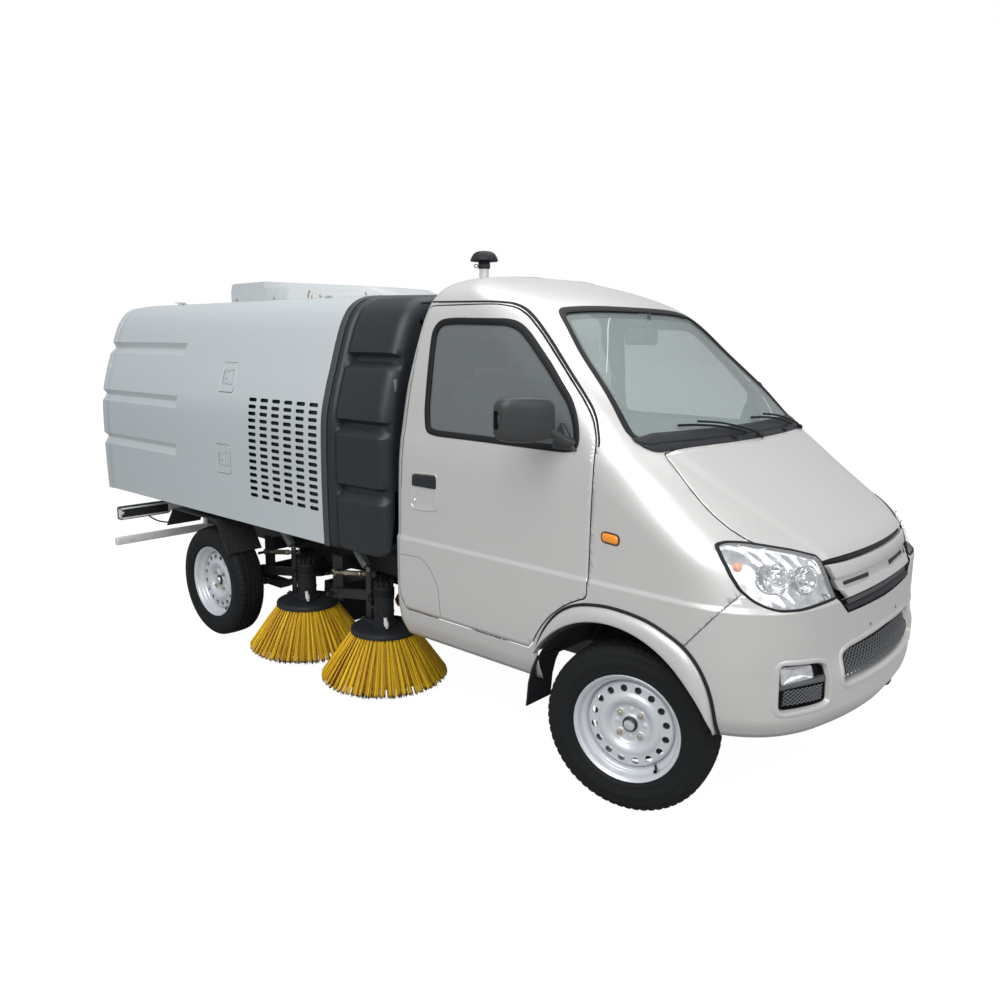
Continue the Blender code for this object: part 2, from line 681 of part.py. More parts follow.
# ---------------------------------------------------------------- cab interior


def interior():
    x = front_axle_x
    floor = cab_floor_z + seat_gap
    hub = Vector((x - 0.262, 0.340, 1.098))
    axis = Vector((-0.135, 0.0, 0.115)).normalized()
    joined(
        "dashboard", black_plastic,
        (prism_mesh, from_axle([
            (-0.165, 1.005), (-0.150, 1.110), (-0.020, 1.140), (0.055, 1.130),
            (0.055, 0.860), (-0.070, 0.880)]), "xz", -0.600, 0.600),
        (box_mesh, (x - 0.160, -0.110, floor), (x - 0.020, 0.110, 0.950)),
        (cylinder_mesh, hub - axis * 0.200, hub - axis * (0.030 + seat_gap), 0.028),
    )
    column = pivot("steering_column_axis", hub)
    wheel = joined(
        "steering_wheel", black_plastic,
        (turned_mesh, [(0.172 + 0.014 * math.cos(t), 0.014 * math.sin(t)) for t in (
            math.radians(a) for a in range(0, 360, 72))], hub + axis * 0.035, axis, 20, True),
        (cylinder_mesh, hub - axis * 0.030, hub + axis * 0.030, 0.040, None, 12),
        (cylinder_mesh, hub + Vector((0, -0.170, 0)) + axis * 0.030,
         hub + Vector((0, 0.170, 0)) + axis * 0.030, 0.012, None, 8),
    )
    hang([wheel], column)
    seats = []
    for y in (-0.340, 0.340):
        half = 0.225
        seats += [
            (box_mesh, (x - 0.930, y - half, floor), (x - 0.500, y + half, floor + 0.210)),
            (box_mesh, (x - 0.950, y - half - 0.01, floor + 0.205),
             (x - 0.470, y + half + 0.01, floor + 0.340)),
            (prism_mesh, from_axle([
                (-0.940, floor + 0.320), (-0.820, floor + 0.330), (-0.890, floor + 0.860),
                (-0.980, floor + 0.860)]), "xz", y - half, y + half),
            (box_mesh, (x - 0.975, y - 0.120, floor + 0.840),
             (x - 0.895, y + 0.120, floor + 1.000)),
        ]
    seats.append((box_mesh, (x - 0.910, -0.140, floor), (x - 0.520, 0.140, floor + 0.190)))
    joined("seats", seat_cloth, *seats)


# ---------------------------------------------------------------- chassis


def chassis():
    x = front_axle_x
    rail_top = rail_bottom + rail_height
    builders = []
    for side in (LEFT, RIGHT):
        low, high = sorted((side * (rail_y - rail_width / 2), side * (rail_y + rail_width / 2)))
        builders.append((box_mesh, (x + rail_rear, low, rail_bottom), (x + rail_front, high, rail_top)))
    cross_bars = (0.370, -0.950) + tuple(place - wheelbase for place in (0.950, 0.520, -0.280, -0.690))
    for place in cross_bars:
        builders.append((box_mesh, (x + place - 0.030, -rail_y, rail_bottom + 0.015),
                         (x + place + 0.030, rail_y, rail_top - 0.015)))
    for side in (LEFT, RIGHT):
        for end in (spring_rear, spring_front):
            low, high = sorted((side * (rail_y - 0.02), side * (spring_y + 0.033)))
            builders.append((box_mesh, (x + end - 0.030, low, spring_eye_z + 0.030 + seat_gap),
                             (x + end + 0.030, high, rail_bottom + 0.020)))
        for place in (-0.100, -1.000):          # cab mounts
            low, high = sorted((side * (rail_y - 0.025), side * (rail_y + 0.025)))
            builders.append((box_mesh, (x + place - 0.04, low, rail_top - 0.020),
                             (x + place + 0.04, high, cab_floor_z - floor_thickness - seat_gap)))
        for place in (0.850 - wheelbase, -0.200 - wheelbase, -0.640 - wheelbase):    # box mounts
            low, high = sorted((side * (rail_y - 0.025), side * (rail_y + 0.025)))
            builders.append((box_mesh, (x + place - 0.05, low, rail_top - 0.020),
                             (x + place + 0.05, high, box_floor_z + 0.001 - seat_gap)))
        low, high = sorted((side * (rail_y - 0.025), side * (rail_y + 0.025)))
        builders.append((box_mesh, (x + tank_rear + 0.05, low, rail_top - 0.020),
                         (x + tank_front - 0.05, high, tank_floor_z - seat_gap)))
        for axle in (FRONT, REAR):
            builders += broom_hanger(axle, side)
        builders += mudguard(side)
    joined("chassis_frame", black_steel, *builders)


def broom_place(axle):
    """The broom's middle along the vehicle."""
    front = front_axle_x + broom_front_x
    return front if axle == FRONT else front - broom_pitch


POST_SETBACK = 0.095
ARM_PIVOT_Z = 0.395


def arm_ends(axle):
    """The lower arm's front and rear pivots in side view."""
    front = (broom_place(axle) - POST_SETBACK, ARM_PIVOT_Z)
    turn = math.radians(arm_angle)
    rear = (front[0] - arm_length * math.cos(turn), front[1] - arm_length * math.sin(turn))
    return front, rear


def link_ends(axle):
    front, rear = arm_ends(axle)
    return tuple((px, pz + link_rise) for px, pz in (front, rear))


def broom_hanger(axle, side):
    """The plate on the rail that carries the arm's and the link's rear pivots."""
    (_, _), (rx, rz) = arm_ends(axle)
    low, high = sorted((side * (rail_y - 0.010), side * (broom_y - 0.034)))
    plate_low, plate_high = sorted((side * (broom_y - 0.046), side * (broom_y - 0.034)))
    pin_low, pin_high = sorted((side * (broom_y - 0.040), side * (broom_y + 0.034)))
    return [
        (box_mesh, (rx - 0.040, low, rail_bottom + 0.010), (rx + 0.040, high, rail_bottom + 0.060)),
        (box_mesh, (rx - 0.040, plate_low, rz - 0.040), (rx + 0.040, plate_high, rail_bottom + 0.080)),
        (cylinder_mesh, (rx, pin_low, rz), (rx, pin_high, rz), 0.010, None, 10),
        (cylinder_mesh, (rx, pin_low, rz + link_rise), (rx, pin_high, rz + link_rise), 0.008, None, PIN_SIDES),
    ]


def mudguard(side):
    """A folded strip over the rear wheel, on a stay from the rail."""
    x, z = rear_axle_x, axle_z
    outer = [(x - 0.410, 0.560), (x - 0.330, 0.668), (x + 0.120, 0.668), (x + 0.235, 0.500)]
    inner = [(px, pz - 0.006) for px, pz in reversed(outer)]
    inner[0] = (inner[0][0] - 0.006, inner[0][1] + 0.003)
    inner[-1] = (inner[-1][0] + 0.006, inner[-1][1] + 0.003)
    low, high = sorted((side * 0.560, side * (box_half_width - 0.007)))
    stay_low, stay_high = sorted((side * (rail_y - 0.01), side * 0.600))
    return [
        (prism_mesh, outer + inner, "xz", low, high),
        (box_mesh, (x - 0.020, stay_low, 0.640), (x + 0.020, stay_high, 0.664)),
        (box_mesh, (x - 0.020, sorted((side * 0.310, side * 0.350))[0], 0.540),
         (x + 0.020, sorted((side * 0.310, side * 0.350))[1], 0.664)),
    ]


def rear_axle():
    x = rear_axle_x
    reach = rear_tyre_y - 0.070
    builders = [
        (cylinder_mesh, (x, -reach, axle_z), (x, reach, axle_z), 0.032, None, 12),
        (turned_mesh, [(0.0, -0.110), (0.075, -0.095), (0.115, -0.030), (0.115, 0.030),
                       (0.075, 0.095), (0.0, 0.110)], (x, 0, axle_z), (0, 1, 0), 14),
        (cylinder_mesh, (x, 0, axle_z), (x + 0.190, 0, axle_z + 0.010), 0.055, 0.035, 12),
        (cylinder_mesh, (x + 0.150, 0, axle_z + 0.008), (
            front_axle_x - 0.930, 0, 0.400), 0.030, None, 12),
    ]
    for side in (LEFT, RIGHT):
        front_eye, rear_eye = front_axle_x + spring_front, front_axle_x + spring_rear
        mid_z = axle_z - 0.050
        top = [(front_eye + 0.025, spring_eye_z + 0.010), (x + 0.20, mid_z + 0.030),
               (x - 0.20, mid_z + 0.030), (rear_eye - 0.025, spring_eye_z + 0.010)]
        low = [(rear_eye - 0.025, spring_eye_z - 0.010), (x - 0.20, mid_z - 0.012),
               (x + 0.20, mid_z - 0.012), (front_eye + 0.025, spring_eye_z - 0.010)]
        a, b = sorted((side * (spring_y - 0.028), side * (spring_y + 0.028)))
        builders.append((prism_mesh, top + low, "xz", a, b))
        for eye in (front_eye, rear_eye):
            builders.append((cylinder_mesh, (eye, a + 0.002, spring_eye_z), (
                eye, b - 0.002, spring_eye_z), 0.030, None, 10))
        builders.append((box_mesh, (x - 0.05, a - 0.003, mid_z - 0.020), (
            x + 0.05, b + 0.003, axle_z + 0.020)))
        drum = side * reach
        hub = side * (rear_tyre_y + 0.002 - seat_gap)
        builders.append((cylinder_mesh, (x, drum - side * 0.01, axle_z), (x, hub, axle_z), 0.050, None, 12))
        builders.append((cylinder_mesh, (x, drum - side * 0.045, axle_z), (x, drum, axle_z), 0.110, None, 16))
    joined("rear_axle", black_steel, *builders)


def front_suspension():
    """Crossmember, lower arms out to the ball joints, and a tower on each rail that holds a strut."""
    x = front_axle_x
    builders = [(box_mesh, (x - 0.050, -0.310, 0.235), (x + 0.050, 0.310, 0.290))]
    plate_in = rail_y + rail_width / 2 + seat_gap
    plate_out = plate_in + 0.018
    for side in (LEFT, RIGHT):
        a, b = sorted((side * plate_in, side * plate_out))
        builders.append((box_mesh, (x - 0.045, a, 0.200), (x + 0.045, b, 0.575)))
        low, high = sorted((side * 0.300, side * (plate_out - 0.004)))
        builders.append((box_mesh, (x - 0.040, low, 0.160), (x + 0.040, high, rail_bottom - 0.004)))
        builders.append((prism_mesh, [
            (x - 0.130, side * 0.320), (x + 0.060, side * 0.320),
            (x + 0.030, side * (kingpin_y - 0.012)), (x - 0.030, side * (kingpin_y - 0.012))],
            "xy", 0.155, knuckle_low - seat_gap))
        builders.append((cylinder_mesh, (x, side * strut_y, knuckle_top + seat_gap),
                         (x, side * strut_y, 0.600), 0.024, None, 12))
        builders.append((cylinder_mesh, (x, side * (plate_out - 0.010), 0.545), (
            x, side * strut_y, 0.550), 0.018, None, 8))
    joined("front_suspension", black_steel, *builders)


def knuckle(side):
    x = front_axle_x
    a, b = sorted((side * 0.488, side * 0.556))
    hub_in, hub_out = side * 0.520, side * (front_tyre_y + 0.002 - seat_gap)
    return joined(
        f"front_knuckle_{SIDE_NAMES[side]}", cast_iron,
        (box_mesh, (x - 0.026, a, knuckle_low), (x + 0.026, b, knuckle_top)),
        (cylinder_mesh, (x, hub_in, axle_z), (x, hub_out, axle_z), 0.050, None, 12),
        (cylinder_mesh, (x, side * 0.575, axle_z), (x, side * 0.598, axle_z), 0.105, None, 16),
    )


# ---------------------------------------------------------------- wheels

WHEELS = (
    # name, side, axle x, middle of the tyre, steered
    ("front_left", LEFT, front_axle_x, front_tyre_y, True),
    ("front_right", RIGHT, front_axle_x, front_tyre_y, True),
    ("rear_left", LEFT, rear_axle_x, rear_tyre_y, False),
    ("rear_right", RIGHT, rear_axle_x, rear_tyre_y, False),
)
WHEEL_STEPS = 20


def tyre_profile():
    """Tread, shoulders, sidewalls that bulge past the rim's lips, and beads that sit on the rim."""
    half, lip = tyre_width / 2, rim_lip_radius + seat_gap
    bead = rim_width / 2 - 0.0075
    outer = [(rim_radius + seat_gap, bead - seat_gap),
             (lip, bead - seat_gap), (lip, rim_width / 2 + 0.002), (0.245, half),
             (tyre_radius - 0.020, half - 0.006), (tyre_radius, half - 0.030)]
    inner = [(0.268, half - 0.030), (rim_radius + seat_gap, bead - 0.014)]
    return (outer + [(r, -a) for r, a in reversed(outer)]
            + [(r, -a) for r, a in reversed(inner)] + inner)


def rim_profile():
    """Half section in one line: hub dome and centre disc, front of the barrel, lips, barrel, back of the disc."""
    half, wall = rim_width / 2, rim_wall
    inner, lip = rim_radius - wall, rim_lip_radius - wall
    disc_front = [(0.0, 0.040), (0.028, 0.038), (0.032, 0.014), (0.074, 0.016), (0.092, 0.036),
                  (0.112, 0.036), (inner, 0.012)]
    front_lip = [(inner, half - 0.016), (lip, half), (rim_lip_radius, half), (rim_lip_radius, half - 0.006)]
    barrel = [(rim_radius, half - 0.007), (rim_radius, -half + 0.007)]
    rear_lip = [(rim_lip_radius, -half + 0.006), (rim_lip_radius, -half), (lip, -half), (inner, -half + 0.016)]
    disc_back = [(inner, 0.003), (0.102, 0.026), (0.074, 0.004), (0.0, 0.002)]
    return disc_front + front_lip + barrel + rear_lip + disc_back


def front_mudflap(side):
    """A rubber strip down the back of the front wheel's arch."""
    reach = arch_radius * math.cos(math.pi / 32) - seat_gap
    centre = (0.0, arch_centre_z)
    outer = arc(centre, reach, 152, 180, 3) + [(-reach - 0.004, 0.273)]
    inner = arc(centre, reach - 0.006, 152, 180, 3) + [(-reach + 0.002, 0.273)]
    low, high = sorted((side * 0.600, side * 0.742))
    solid(f"mudflap_front_{SIDE_NAMES[side]}", black_plastic, (
        prism_mesh, from_axle(outer + inner[::-1]), "xz", low, high))


def wheels():
    for name, side, x, y, steered in WHEELS:
        middle = (x, side * y, axle_z)
        axis = (0, side, 0)
        tyre = solid(f"tyre_{name}", tyre_rubber, (
            turned_mesh, tyre_profile(), middle, axis, WHEEL_STEPS, True))
        rim = solid(f"rim_{name}", rim_silver, (turned_mesh, rim_profile(), middle, axis, WHEEL_STEPS))
        spin = pivot(f"wheel_axis_{name}", middle)
        hang([tyre, rim], spin)
        if steered:
            steer = pivot(f"kingpin_{SIDE_NAMES[side]}", (x, side * kingpin_y, axle_z))
            hang([spin, applied(knuckle(side))], steer)
            steer.rotation_euler.z = math.radians(steer_at_rest)


# ---------------------------------------------------------------- tank, box and lids

KNUCKLE = 0.0065                # a lid hinge's barrel
LEAF = 0.030                    # how far each leaf lies on its panel


def lid_hinge(centre, along, across, drop):
    """Fixed and moving halves of a lid's hinge: across points from the fixed panel to the lid."""
    centre, along, across = Vector(centre), Vector(along), Vector(across)
    pin = [(cylinder_mesh, centre - along * 0.035, centre + along * 0.035, HINGE_PIN, None, PIN_SIDES)]
    seat = KNUCKLE - 0.002
    hole = (HINGE_PIN + seat_gap) / math.cos(math.pi / PIN_SIDES)
    halves = []
    for way, spans in ((-1, ((-0.015, 0.015),)), (1, ((-0.034, -0.0153), (0.0153, 0.034)))):
        builders = []
        for start, end in spans:
            if way < 0:
                builders.append((cylinder_mesh, centre + along * start, centre + along * end,
                                 KNUCKLE, None, PIN_SIDES))
            else:
                profile = [(KNUCKLE, start), (KNUCKLE, end), (hole, end), (hole, start)]
                builders.append((turned_mesh, profile, centre, along, PIN_SIDES, True))
            corners = [centre + along * start, centre + along * end + across * (LEAF * way)]
            low = [min(a, b) for a, b in zip(*corners)]
            high = [max(a, b) for a, b in zip(*corners)]
            low[2], high[2] = centre.z - drop, centre.z - seat
            builders.append((box_mesh, low, high))
        halves.append(builders)
    return halves[0] + pin, halves[1]


GROOVE_HEIGHT = 0.040
COVER_GROOVES = (
    # lower edge, front end from the front axle, how deep from the middle
    (0.985, -0.210 - wheelbase, box_half_width - 0.012), (1.265, -0.170 - wheelbase, box_half_width - 0.020),
    (1.555, -0.050 - wheelbase, 0.8705 * box_half_width),
)


def box_ring(x, inset, floor):
    """The box's section at x, moved inwards by inset, with its lower edge at floor."""
    half = []
    low_y, low_z = BOX_SECTION[0]
    for y, z in ((low_y, min(low_z, floor)), *BOX_SECTION[1:]):
        lean = min(1.0, max(0.0, (z - 1.243) / (box_top_z - 1.243)))
        half.append((max(0.0, y - inset * (1 - 0.5 * lean ** 3)), z - inset * lean))
    whole = [(-y, z) for y, z in half] + [(y, z) for y, z in reversed(half[:-1])]
    return [(x, y, z) for y, z in whole]


def tank():
    """Four bulging bands with grooves between, swept up one side, over the roof and down the other."""
    x0, x1 = front_axle_x + tank_rear, front_axle_x + tank_front
    made = solid("water_tank", black_plastic, (loft_mesh, [
        box_ring(x0, 0.004, tank_floor_z), box_ring(x0 + 0.030, 0.004, tank_floor_z),
        box_ring(x0 + 0.050, 0.014, tank_floor_z), box_ring(x1 - 0.030, 0.014, tank_floor_z),
        box_ring(x1, 0.050, tank_floor_z)]))
    for number, (z, inner_y) in enumerate((
            (0.905, box_half_width - 0.047), (1.195, box_half_width - 0.047), (1.485, 0.868 * box_half_width))):
        for side in (LEFT, RIGHT):
            low, high = sorted((side * inner_y, side * 0.900))
            groove = cutter(f"tank_groove_{number}_{SIDE_NAMES[side]}", (
                box_mesh, (x0 + 0.045, low, z - 0.020), (x1 + 0.01, high, z + 0.020)))
            boolean(made, groove, "DIFFERENCE")


def sweeper_box():
    x0, x1 = front_axle_x + box_rear, front_axle_x + box_front
    floor = box_floor_z
    hull = helper(solid("box_hull", None, (loft_mesh, [
        box_ring(x0, 0.0, floor), box_ring(x1, 0.0, floor)]), smooth=0))
    core = helper(solid("box_core", None, (loft_mesh, [
        box_ring(x0 - 0.1, cover_wall, floor - 0.1), box_ring(x1 + 0.1, cover_wall, floor - 0.1)]), smooth=0))
    lap = cover_wall + panel_gap
    rear = x0 + rear_door_depth + panel_gap
    rear_hinge_x, rear_hinge_z = x0 + rear_door_depth + panel_gap / 2, box_top_z + 0.019
    cover_axis_y, cover_axis_z = cover_hinge_y - panel_gap / 2, box_top_z + 0.001
    bulkheads = (("rear", rear, 0.040), ("middle", x0 + 1.500, 0.030), ("front", x1 - 0.030, 0.030))
    rings = [(loft_mesh, [box_ring(at, lap, floor), box_ring(at + thick, lap, floor)])
             for _, at, thick in bulkheads]
    fixed, moving = [], {"rear_door": [], "left": [], "right": []}
    for y in (-0.250, 0.250):
        first, second = lid_hinge((rear_hinge_x, y, rear_hinge_z), (0, 1, 0), (-1, 0, 0), 0.040)
        fixed += first
        moving["rear_door"] += second
    for side in (LEFT, RIGHT):
        for x in (x0 + 0.420, x1 - 0.400):
            first, second = lid_hinge(
                (x, side * cover_axis_y, cover_axis_z), (1, 0, 0), (0, side, 0), 0.020)
            fixed += first
            moving[SIDE_NAMES[side]] += second
    strip = cover_hinge_y - panel_gap
    ridge = box_top_z + 0.015
    edge = BOX_SECTION[-2][1] + (ridge - BOX_SECTION[-2][1]) * panel_gap / cover_hinge_y
    joined(
        "box_frame", box_paint, *rings,
        (box_mesh, (rear + 0.001, 0.057 - box_half_width, floor + 0.001), (
            x1 - 0.001, box_half_width - 0.057, floor + 0.028)),
        (prism_mesh, [(-strip, 1.755), (-strip, edge), (0.0, ridge), (strip, edge), (strip, 1.755)],
         "yz", rear + 0.002, x1 - 0.002),
        *fixed,
    )
    opening = cutter("hopper_way", (box_mesh, (
        x0, 0.117 - box_half_width, floor + 0.0283), (x0 + 1.4, box_half_width - 0.117, 1.640)))
    boolean(bpy.data.objects["box_frame"], opening, "DIFFERENCE")
    for side in (LEFT, RIGHT):
        name = SIDE_NAMES[side]
        cover = copy_of(hull, f"side_cover_{name}", box_paint)
        low, high = sorted((side * (cover_hinge_y + 0.0), side * 1.0))
        keep = cutter(f"cover_limit_{name}", (box_mesh, (
            x0 + rear_door_depth + panel_gap, low, 0.5), (x1 - 0.0, high, 2.0)))
        boolean(cover, keep, "INTERSECT")
        boolean(cover, core, "DIFFERENCE")
        for z, front, depth_y in COVER_GROOVES:
            low, high = sorted((side * depth_y, side * 1.0))
            boolean(cover, cutter(f"cover_groove_{z:.2f}_{name}", (box_mesh, (
                x0 - 0.1, low, z), (front_axle_x + front, high, z + GROOVE_HEIGHT))), "DIFFERENCE")
        united(cover, f"cover_knuckles_{name}", moving[name])
        hinge = pivot(f"side_cover_hinge_{name}", (0, side * cover_axis_y, cover_axis_z))
        hang([cover], hinge)
    door = copy_of(hull, "rear_door", box_paint)
    keep = cutter("door_limit", (box_mesh, (x0 - 0.01, -1, 0.5), (x0 + rear_door_depth, 1, 2.0)))
    boolean(door, keep, "INTERSECT")
    recess = cutter("door_recess", (box_mesh, (
        x0 + 0.025, 0.132 - box_half_width, floor + 0.04), (x0 + 0.1, box_half_width - 0.132, 1.66)))
    boolean(door, recess, "DIFFERENCE")
    for z, _, depth_y in COVER_GROOVES:
        groove = cutter(f"box_groove_{z:.2f}", (box_mesh, (x0 - 0.1, -1, z), (x0 + 0.012, 1, z + GROOVE_HEIGHT)))
        boolean(door, groove, "DIFFERENCE")
        for side in (LEFT, RIGHT):
            low, high = sorted((side * depth_y, side * 1.0))
            boolean(door, cutter(f"door_groove_{z:.2f}_{SIDE_NAMES[side]}", (
                box_mesh, (x0 - 0.1, low, z), (x0 + 0.1, high, z + GROOVE_HEIGHT))), "DIFFERENCE")
    united(door, "door_knuckles", moving["rear_door"])
    hinge = pivot("rear_door_hinge", (rear_hinge_x, 0, rear_hinge_z))
    hang([door], hinge)


def box_fittings():
    x0, x1 = front_axle_x + box_rear, front_axle_x + box_front
    duct = solid("roof_duct", white_steel, (prism_mesh, [
        (x0 + 0.775, 1.790), (x0 + 0.800, 1.912), (x0 + 0.855, 1.922), (x1 - 0.112, 1.862), (x1 - 0.042, 1.790)],
        "xz", -0.330, 0.330))
    ridge, fall = box_top_z + 0.015 + seat_gap, (box_top_z + 0.015 - BOX_SECTION[-2][1]) / cover_hinge_y
    boolean(duct, cutter("duct_seat", (prism_mesh, [
        (-0.4, 1.7), (-0.4, ridge - 0.4 * fall), (0.0, ridge), (0.4, ridge - 0.4 * fall), (0.4, 1.7)],
        "yz", x0 - 0.1, x1 + 0.1)), "DIFFERENCE")
    x = front_axle_x + 0.633 * tank_front + 0.367 * box_front
    joined(
        "air_intake", black_plastic,
        (cylinder_mesh, (x, 0, box_top_z + 0.0014 + seat_gap), (x, 0, 1.940), 0.022, None, 12),
        (turned_mesh, [(0.0, 1.925), (0.030, 1.925), (0.030, 1.968), (0.062, 1.972), (0.066, 1.984),
                       (0.045, 2.012), (0.0, 2.021)], (x, 0, 0), (0, 0, 1), 16),
    )
    solid("auxiliary_engine", cast_iron, (box_mesh, (
        x1 - 0.620, -0.280, box_floor_z + 0.028 + seat_gap), (x1 - 0.100, 0.280, box_floor_z + 0.480)))
    mount = rail_y - rail_width / 2 - seat_gap
    x = front_axle_x
    joined(
        "engine_block", cast_iron,
        (box_mesh, (x - 0.900, -0.240, 0.300), (x - 0.300, 0.240, 0.575)),
        (box_mesh, (x - 0.640, -mount, 0.470), (x - 0.560, mount, 0.530)),
    )
    nozzle_y = 0.172
    nozzle_x = rear_axle_x + 0.350
    joined(
        "suction_nozzle", black_steel,
        (prism_mesh, [(nozzle_x + dx, z) for dx, z in (
            (-0.100, 0.030), (0.100, 0.030), (0.080, 0.120), (0.070, 0.250), (-0.070, 0.250), (-0.080, 0.120))],
         "xz", -0.185, 0.185),
        (cylinder_mesh, (nozzle_x, nozzle_y - 0.080, 0.150), (nozzle_x, nozzle_y, 0.300), 0.062, None, 12),
        (cylinder_mesh, (nozzle_x, nozzle_y, 0.270), (nozzle_x, nozzle_y, box_floor_z - seat_gap),
         0.068, None, 16),
    )
    rear = x0 + 0.360
    builders = []
    for side in (LEFT, RIGHT):
        a, b = sorted((side * 0.305, side * 0.350))
        builders.append((box_mesh, (rear - 0.008, a, 0.410), (rear + 0.008, b, 0.600)))
        builders.append((box_mesh, (rear, a + 0.002, rail_bottom + 0.020), (
            front_axle_x + rail_rear - seat_gap, b - 0.002, rail_bottom + 0.080)))
        a, b = sorted((side * 0.560, side * 0.880))
        builders.append((box_mesh, (rear - 0.045, a, 0.540), (rear - 0.005, b, 0.625)))
    joined("rear_bumper", white_steel,
           (box_mesh, (rear - 0.020, -0.900, 0.400), (rear + 0.010, 0.900, 0.445)),
           (box_mesh, (rear - 0.010, -0.870, 0.560), (rear + 0.010, 0.870, 0.610)),
           *builders)


# ---------------------------------------------------------------- brooms


def broom(axle, side):
    where = "front" if axle == FRONT else "rear"
    name = f"broom_{where}_{SIDE_NAMES[side]}"
    x, y = broom_place(axle), side * broom_y
    (fx, fz), (rx, rz) = arm_ends(axle)
    def bore(pin, steps):
        """A bore's radius, so that a pin of as many sides turns freely in it."""
        return (pin + seat_gap) / math.cos(math.pi / steps)

    arm_low, arm_high = sorted((side * (broom_y - 0.028), side * (broom_y - 0.002)))
    run = Vector((fx - rx, 0, fz - rz))
    up = Vector((-run.z, 0, run.x)).normalized() * 0.022
    outline = [(rx + up.x, rz + up.z), (fx + up.x, fz + up.z), (fx - up.x, fz - up.z), (rx - up.x, rz - up.z)]
    arm = joined(
        f"{name}_arm", black_steel,
        (prism_mesh, outline, "xz", arm_low, arm_high),
        (cylinder_mesh, (rx, arm_low, rz), (rx, arm_high, rz), 0.024, None, 12),
        (cylinder_mesh, (fx, arm_low, fz), (fx, arm_high, fz), 0.024, None, 12),
    )
    for px, pz in ((rx, rz), (fx, fz)):
        hole = cutter(f"{name}_arm_bore_{px:.2f}", (
            cylinder_mesh, (px, arm_low - 0.01, pz), (px, arm_high + 0.01, pz), bore(0.010, 10), None, 10))
        boolean(arm, hole, "DIFFERENCE")
    lf, lr = link_ends(axle)
    ly = side * (broom_y - 0.015)
    link = joined(
        f"{name}_link", zinc_steel,
        (cylinder_mesh, (lr[0], ly, lr[1]), (lf[0], ly, lf[1]), 0.008, None, PIN_SIDES),
        (cylinder_mesh, (lr[0] * 0.7 + lf[0] * 0.3, ly, lr[1] * 0.7 + lf[1] * 0.3),
         (lr[0] * 0.3 + lf[0] * 0.7, ly, lr[1] * 0.3 + lf[1] * 0.7), 0.013, None, 8),
        (cylinder_mesh, (lr[0], ly - 0.011, lr[1]), (lr[0], ly + 0.011, lr[1]), 0.017, None, 10),
        (cylinder_mesh, (lf[0], ly - 0.011, lf[1]), (lf[0], ly + 0.011, lf[1]), 0.017, None, 10),
    )
    for px, pz in (lf, lr):
        hole = cutter(f"{name}_link_bore_{px:.2f}", (
            cylinder_mesh, (px, ly - 0.02, pz), (px, ly + 0.02, pz), bore(0.008, PIN_SIDES), None, PIN_SIDES))
        boolean(link, hole, "DIFFERENCE")
    post_low, post_high = sorted((side * (broom_y + 0.006), side * (broom_y + 0.016)))
    pin_low, pin_high = sorted((side * (broom_y - 0.032), side * (broom_y + 0.010)))
    top = cover_top_z
    strut_top = Vector((fx - 0.085, y + side * 0.011, box_floor_z - 0.080))
    strut_low = Vector((fx, y + side * 0.011, lf[1] + 0.030))
    carrier = joined(
        f"{name}_carrier", black_steel,
        (turned_mesh, [(0.0, top), (cover_radius - 0.02, top - 0.004), (cover_radius, top - 0.012),
                       (cover_radius, top - cover_skirt), (cover_radius - 0.006, top - cover_skirt),
                       (cover_radius - 0.010, top - 0.016), (0.0, top - 0.012)],
         (x, y, 0), (0, 0, 1), 20),
        (cylinder_mesh, (x + 0.010, y, top - 0.006), (x + 0.010, y, top + 0.215), 0.044, None, 12),
        (box_mesh, (fx - 0.020, post_low, top - 0.012), (fx + 0.020, post_high, lf[1] + 0.050)),
        (box_mesh, (fx - 0.018, sorted((y, post_low))[0] if side == LEFT else post_low, top - 0.010),
         (x - 0.030, post_high if side == LEFT else y, top + 0.012)),
        (cylinder_mesh, (fx, pin_low, fz), (fx, pin_high, fz), 0.010, None, 10),
        (cylinder_mesh, (fx, pin_low, lf[1]), (fx, pin_high, lf[1]), 0.008, None, PIN_SIDES),
        (cylinder_mesh, strut_low, strut_top, 0.017, None, 8),
    )
    root = top - 0.0185
    brush = solid(
        f"{name}_brush", bristle_yellow,
        (turned_mesh, [(0.0, root + 0.0048), (0.045, root + 0.0048), (0.046, root),
                       (brush_root_radius - 0.004, root), (brush_root_radius - 0.001, root - 0.008),
                       (brush_radius, brush_tip_z), (brush_low_radius, brush_low_z),
                       (0.110, root - 0.045), (0.0, root - 0.035)],
         (x, y, 0), (0, 0, 1), 20))
    arm_axis = pivot(f"{name}_arm_axis", (rx, y, rz))
    link_axis = pivot(f"{name}_link_axis", (lr[0], y, lr[1]))
    carrier_axis = pivot(f"{name}_carrier_axis", (fx, y, fz))
    spin_axis = pivot(f"{name}_spin_axis", (x, y, 0))
    hang([brush], spin_axis)
    hang([carrier, spin_axis], carrier_axis)
    hang([arm, carrier_axis], arm_axis)
    hang([link], link_axis)


MIRROR_SECTIONS = (
    # distance from the middle, x from the front axle, half depth, low z, high z
    (0.775, -0.262, 0.026, 1.290, 1.392), (0.790, -0.268, 0.040, 1.276, 1.412),
    (0.870, -0.303, 0.046, 1.270, 1.424), (0.940, -0.338, 0.038, 1.278, 1.418),
    (0.958, -0.348, 0.022, 1.296, 1.396),
)


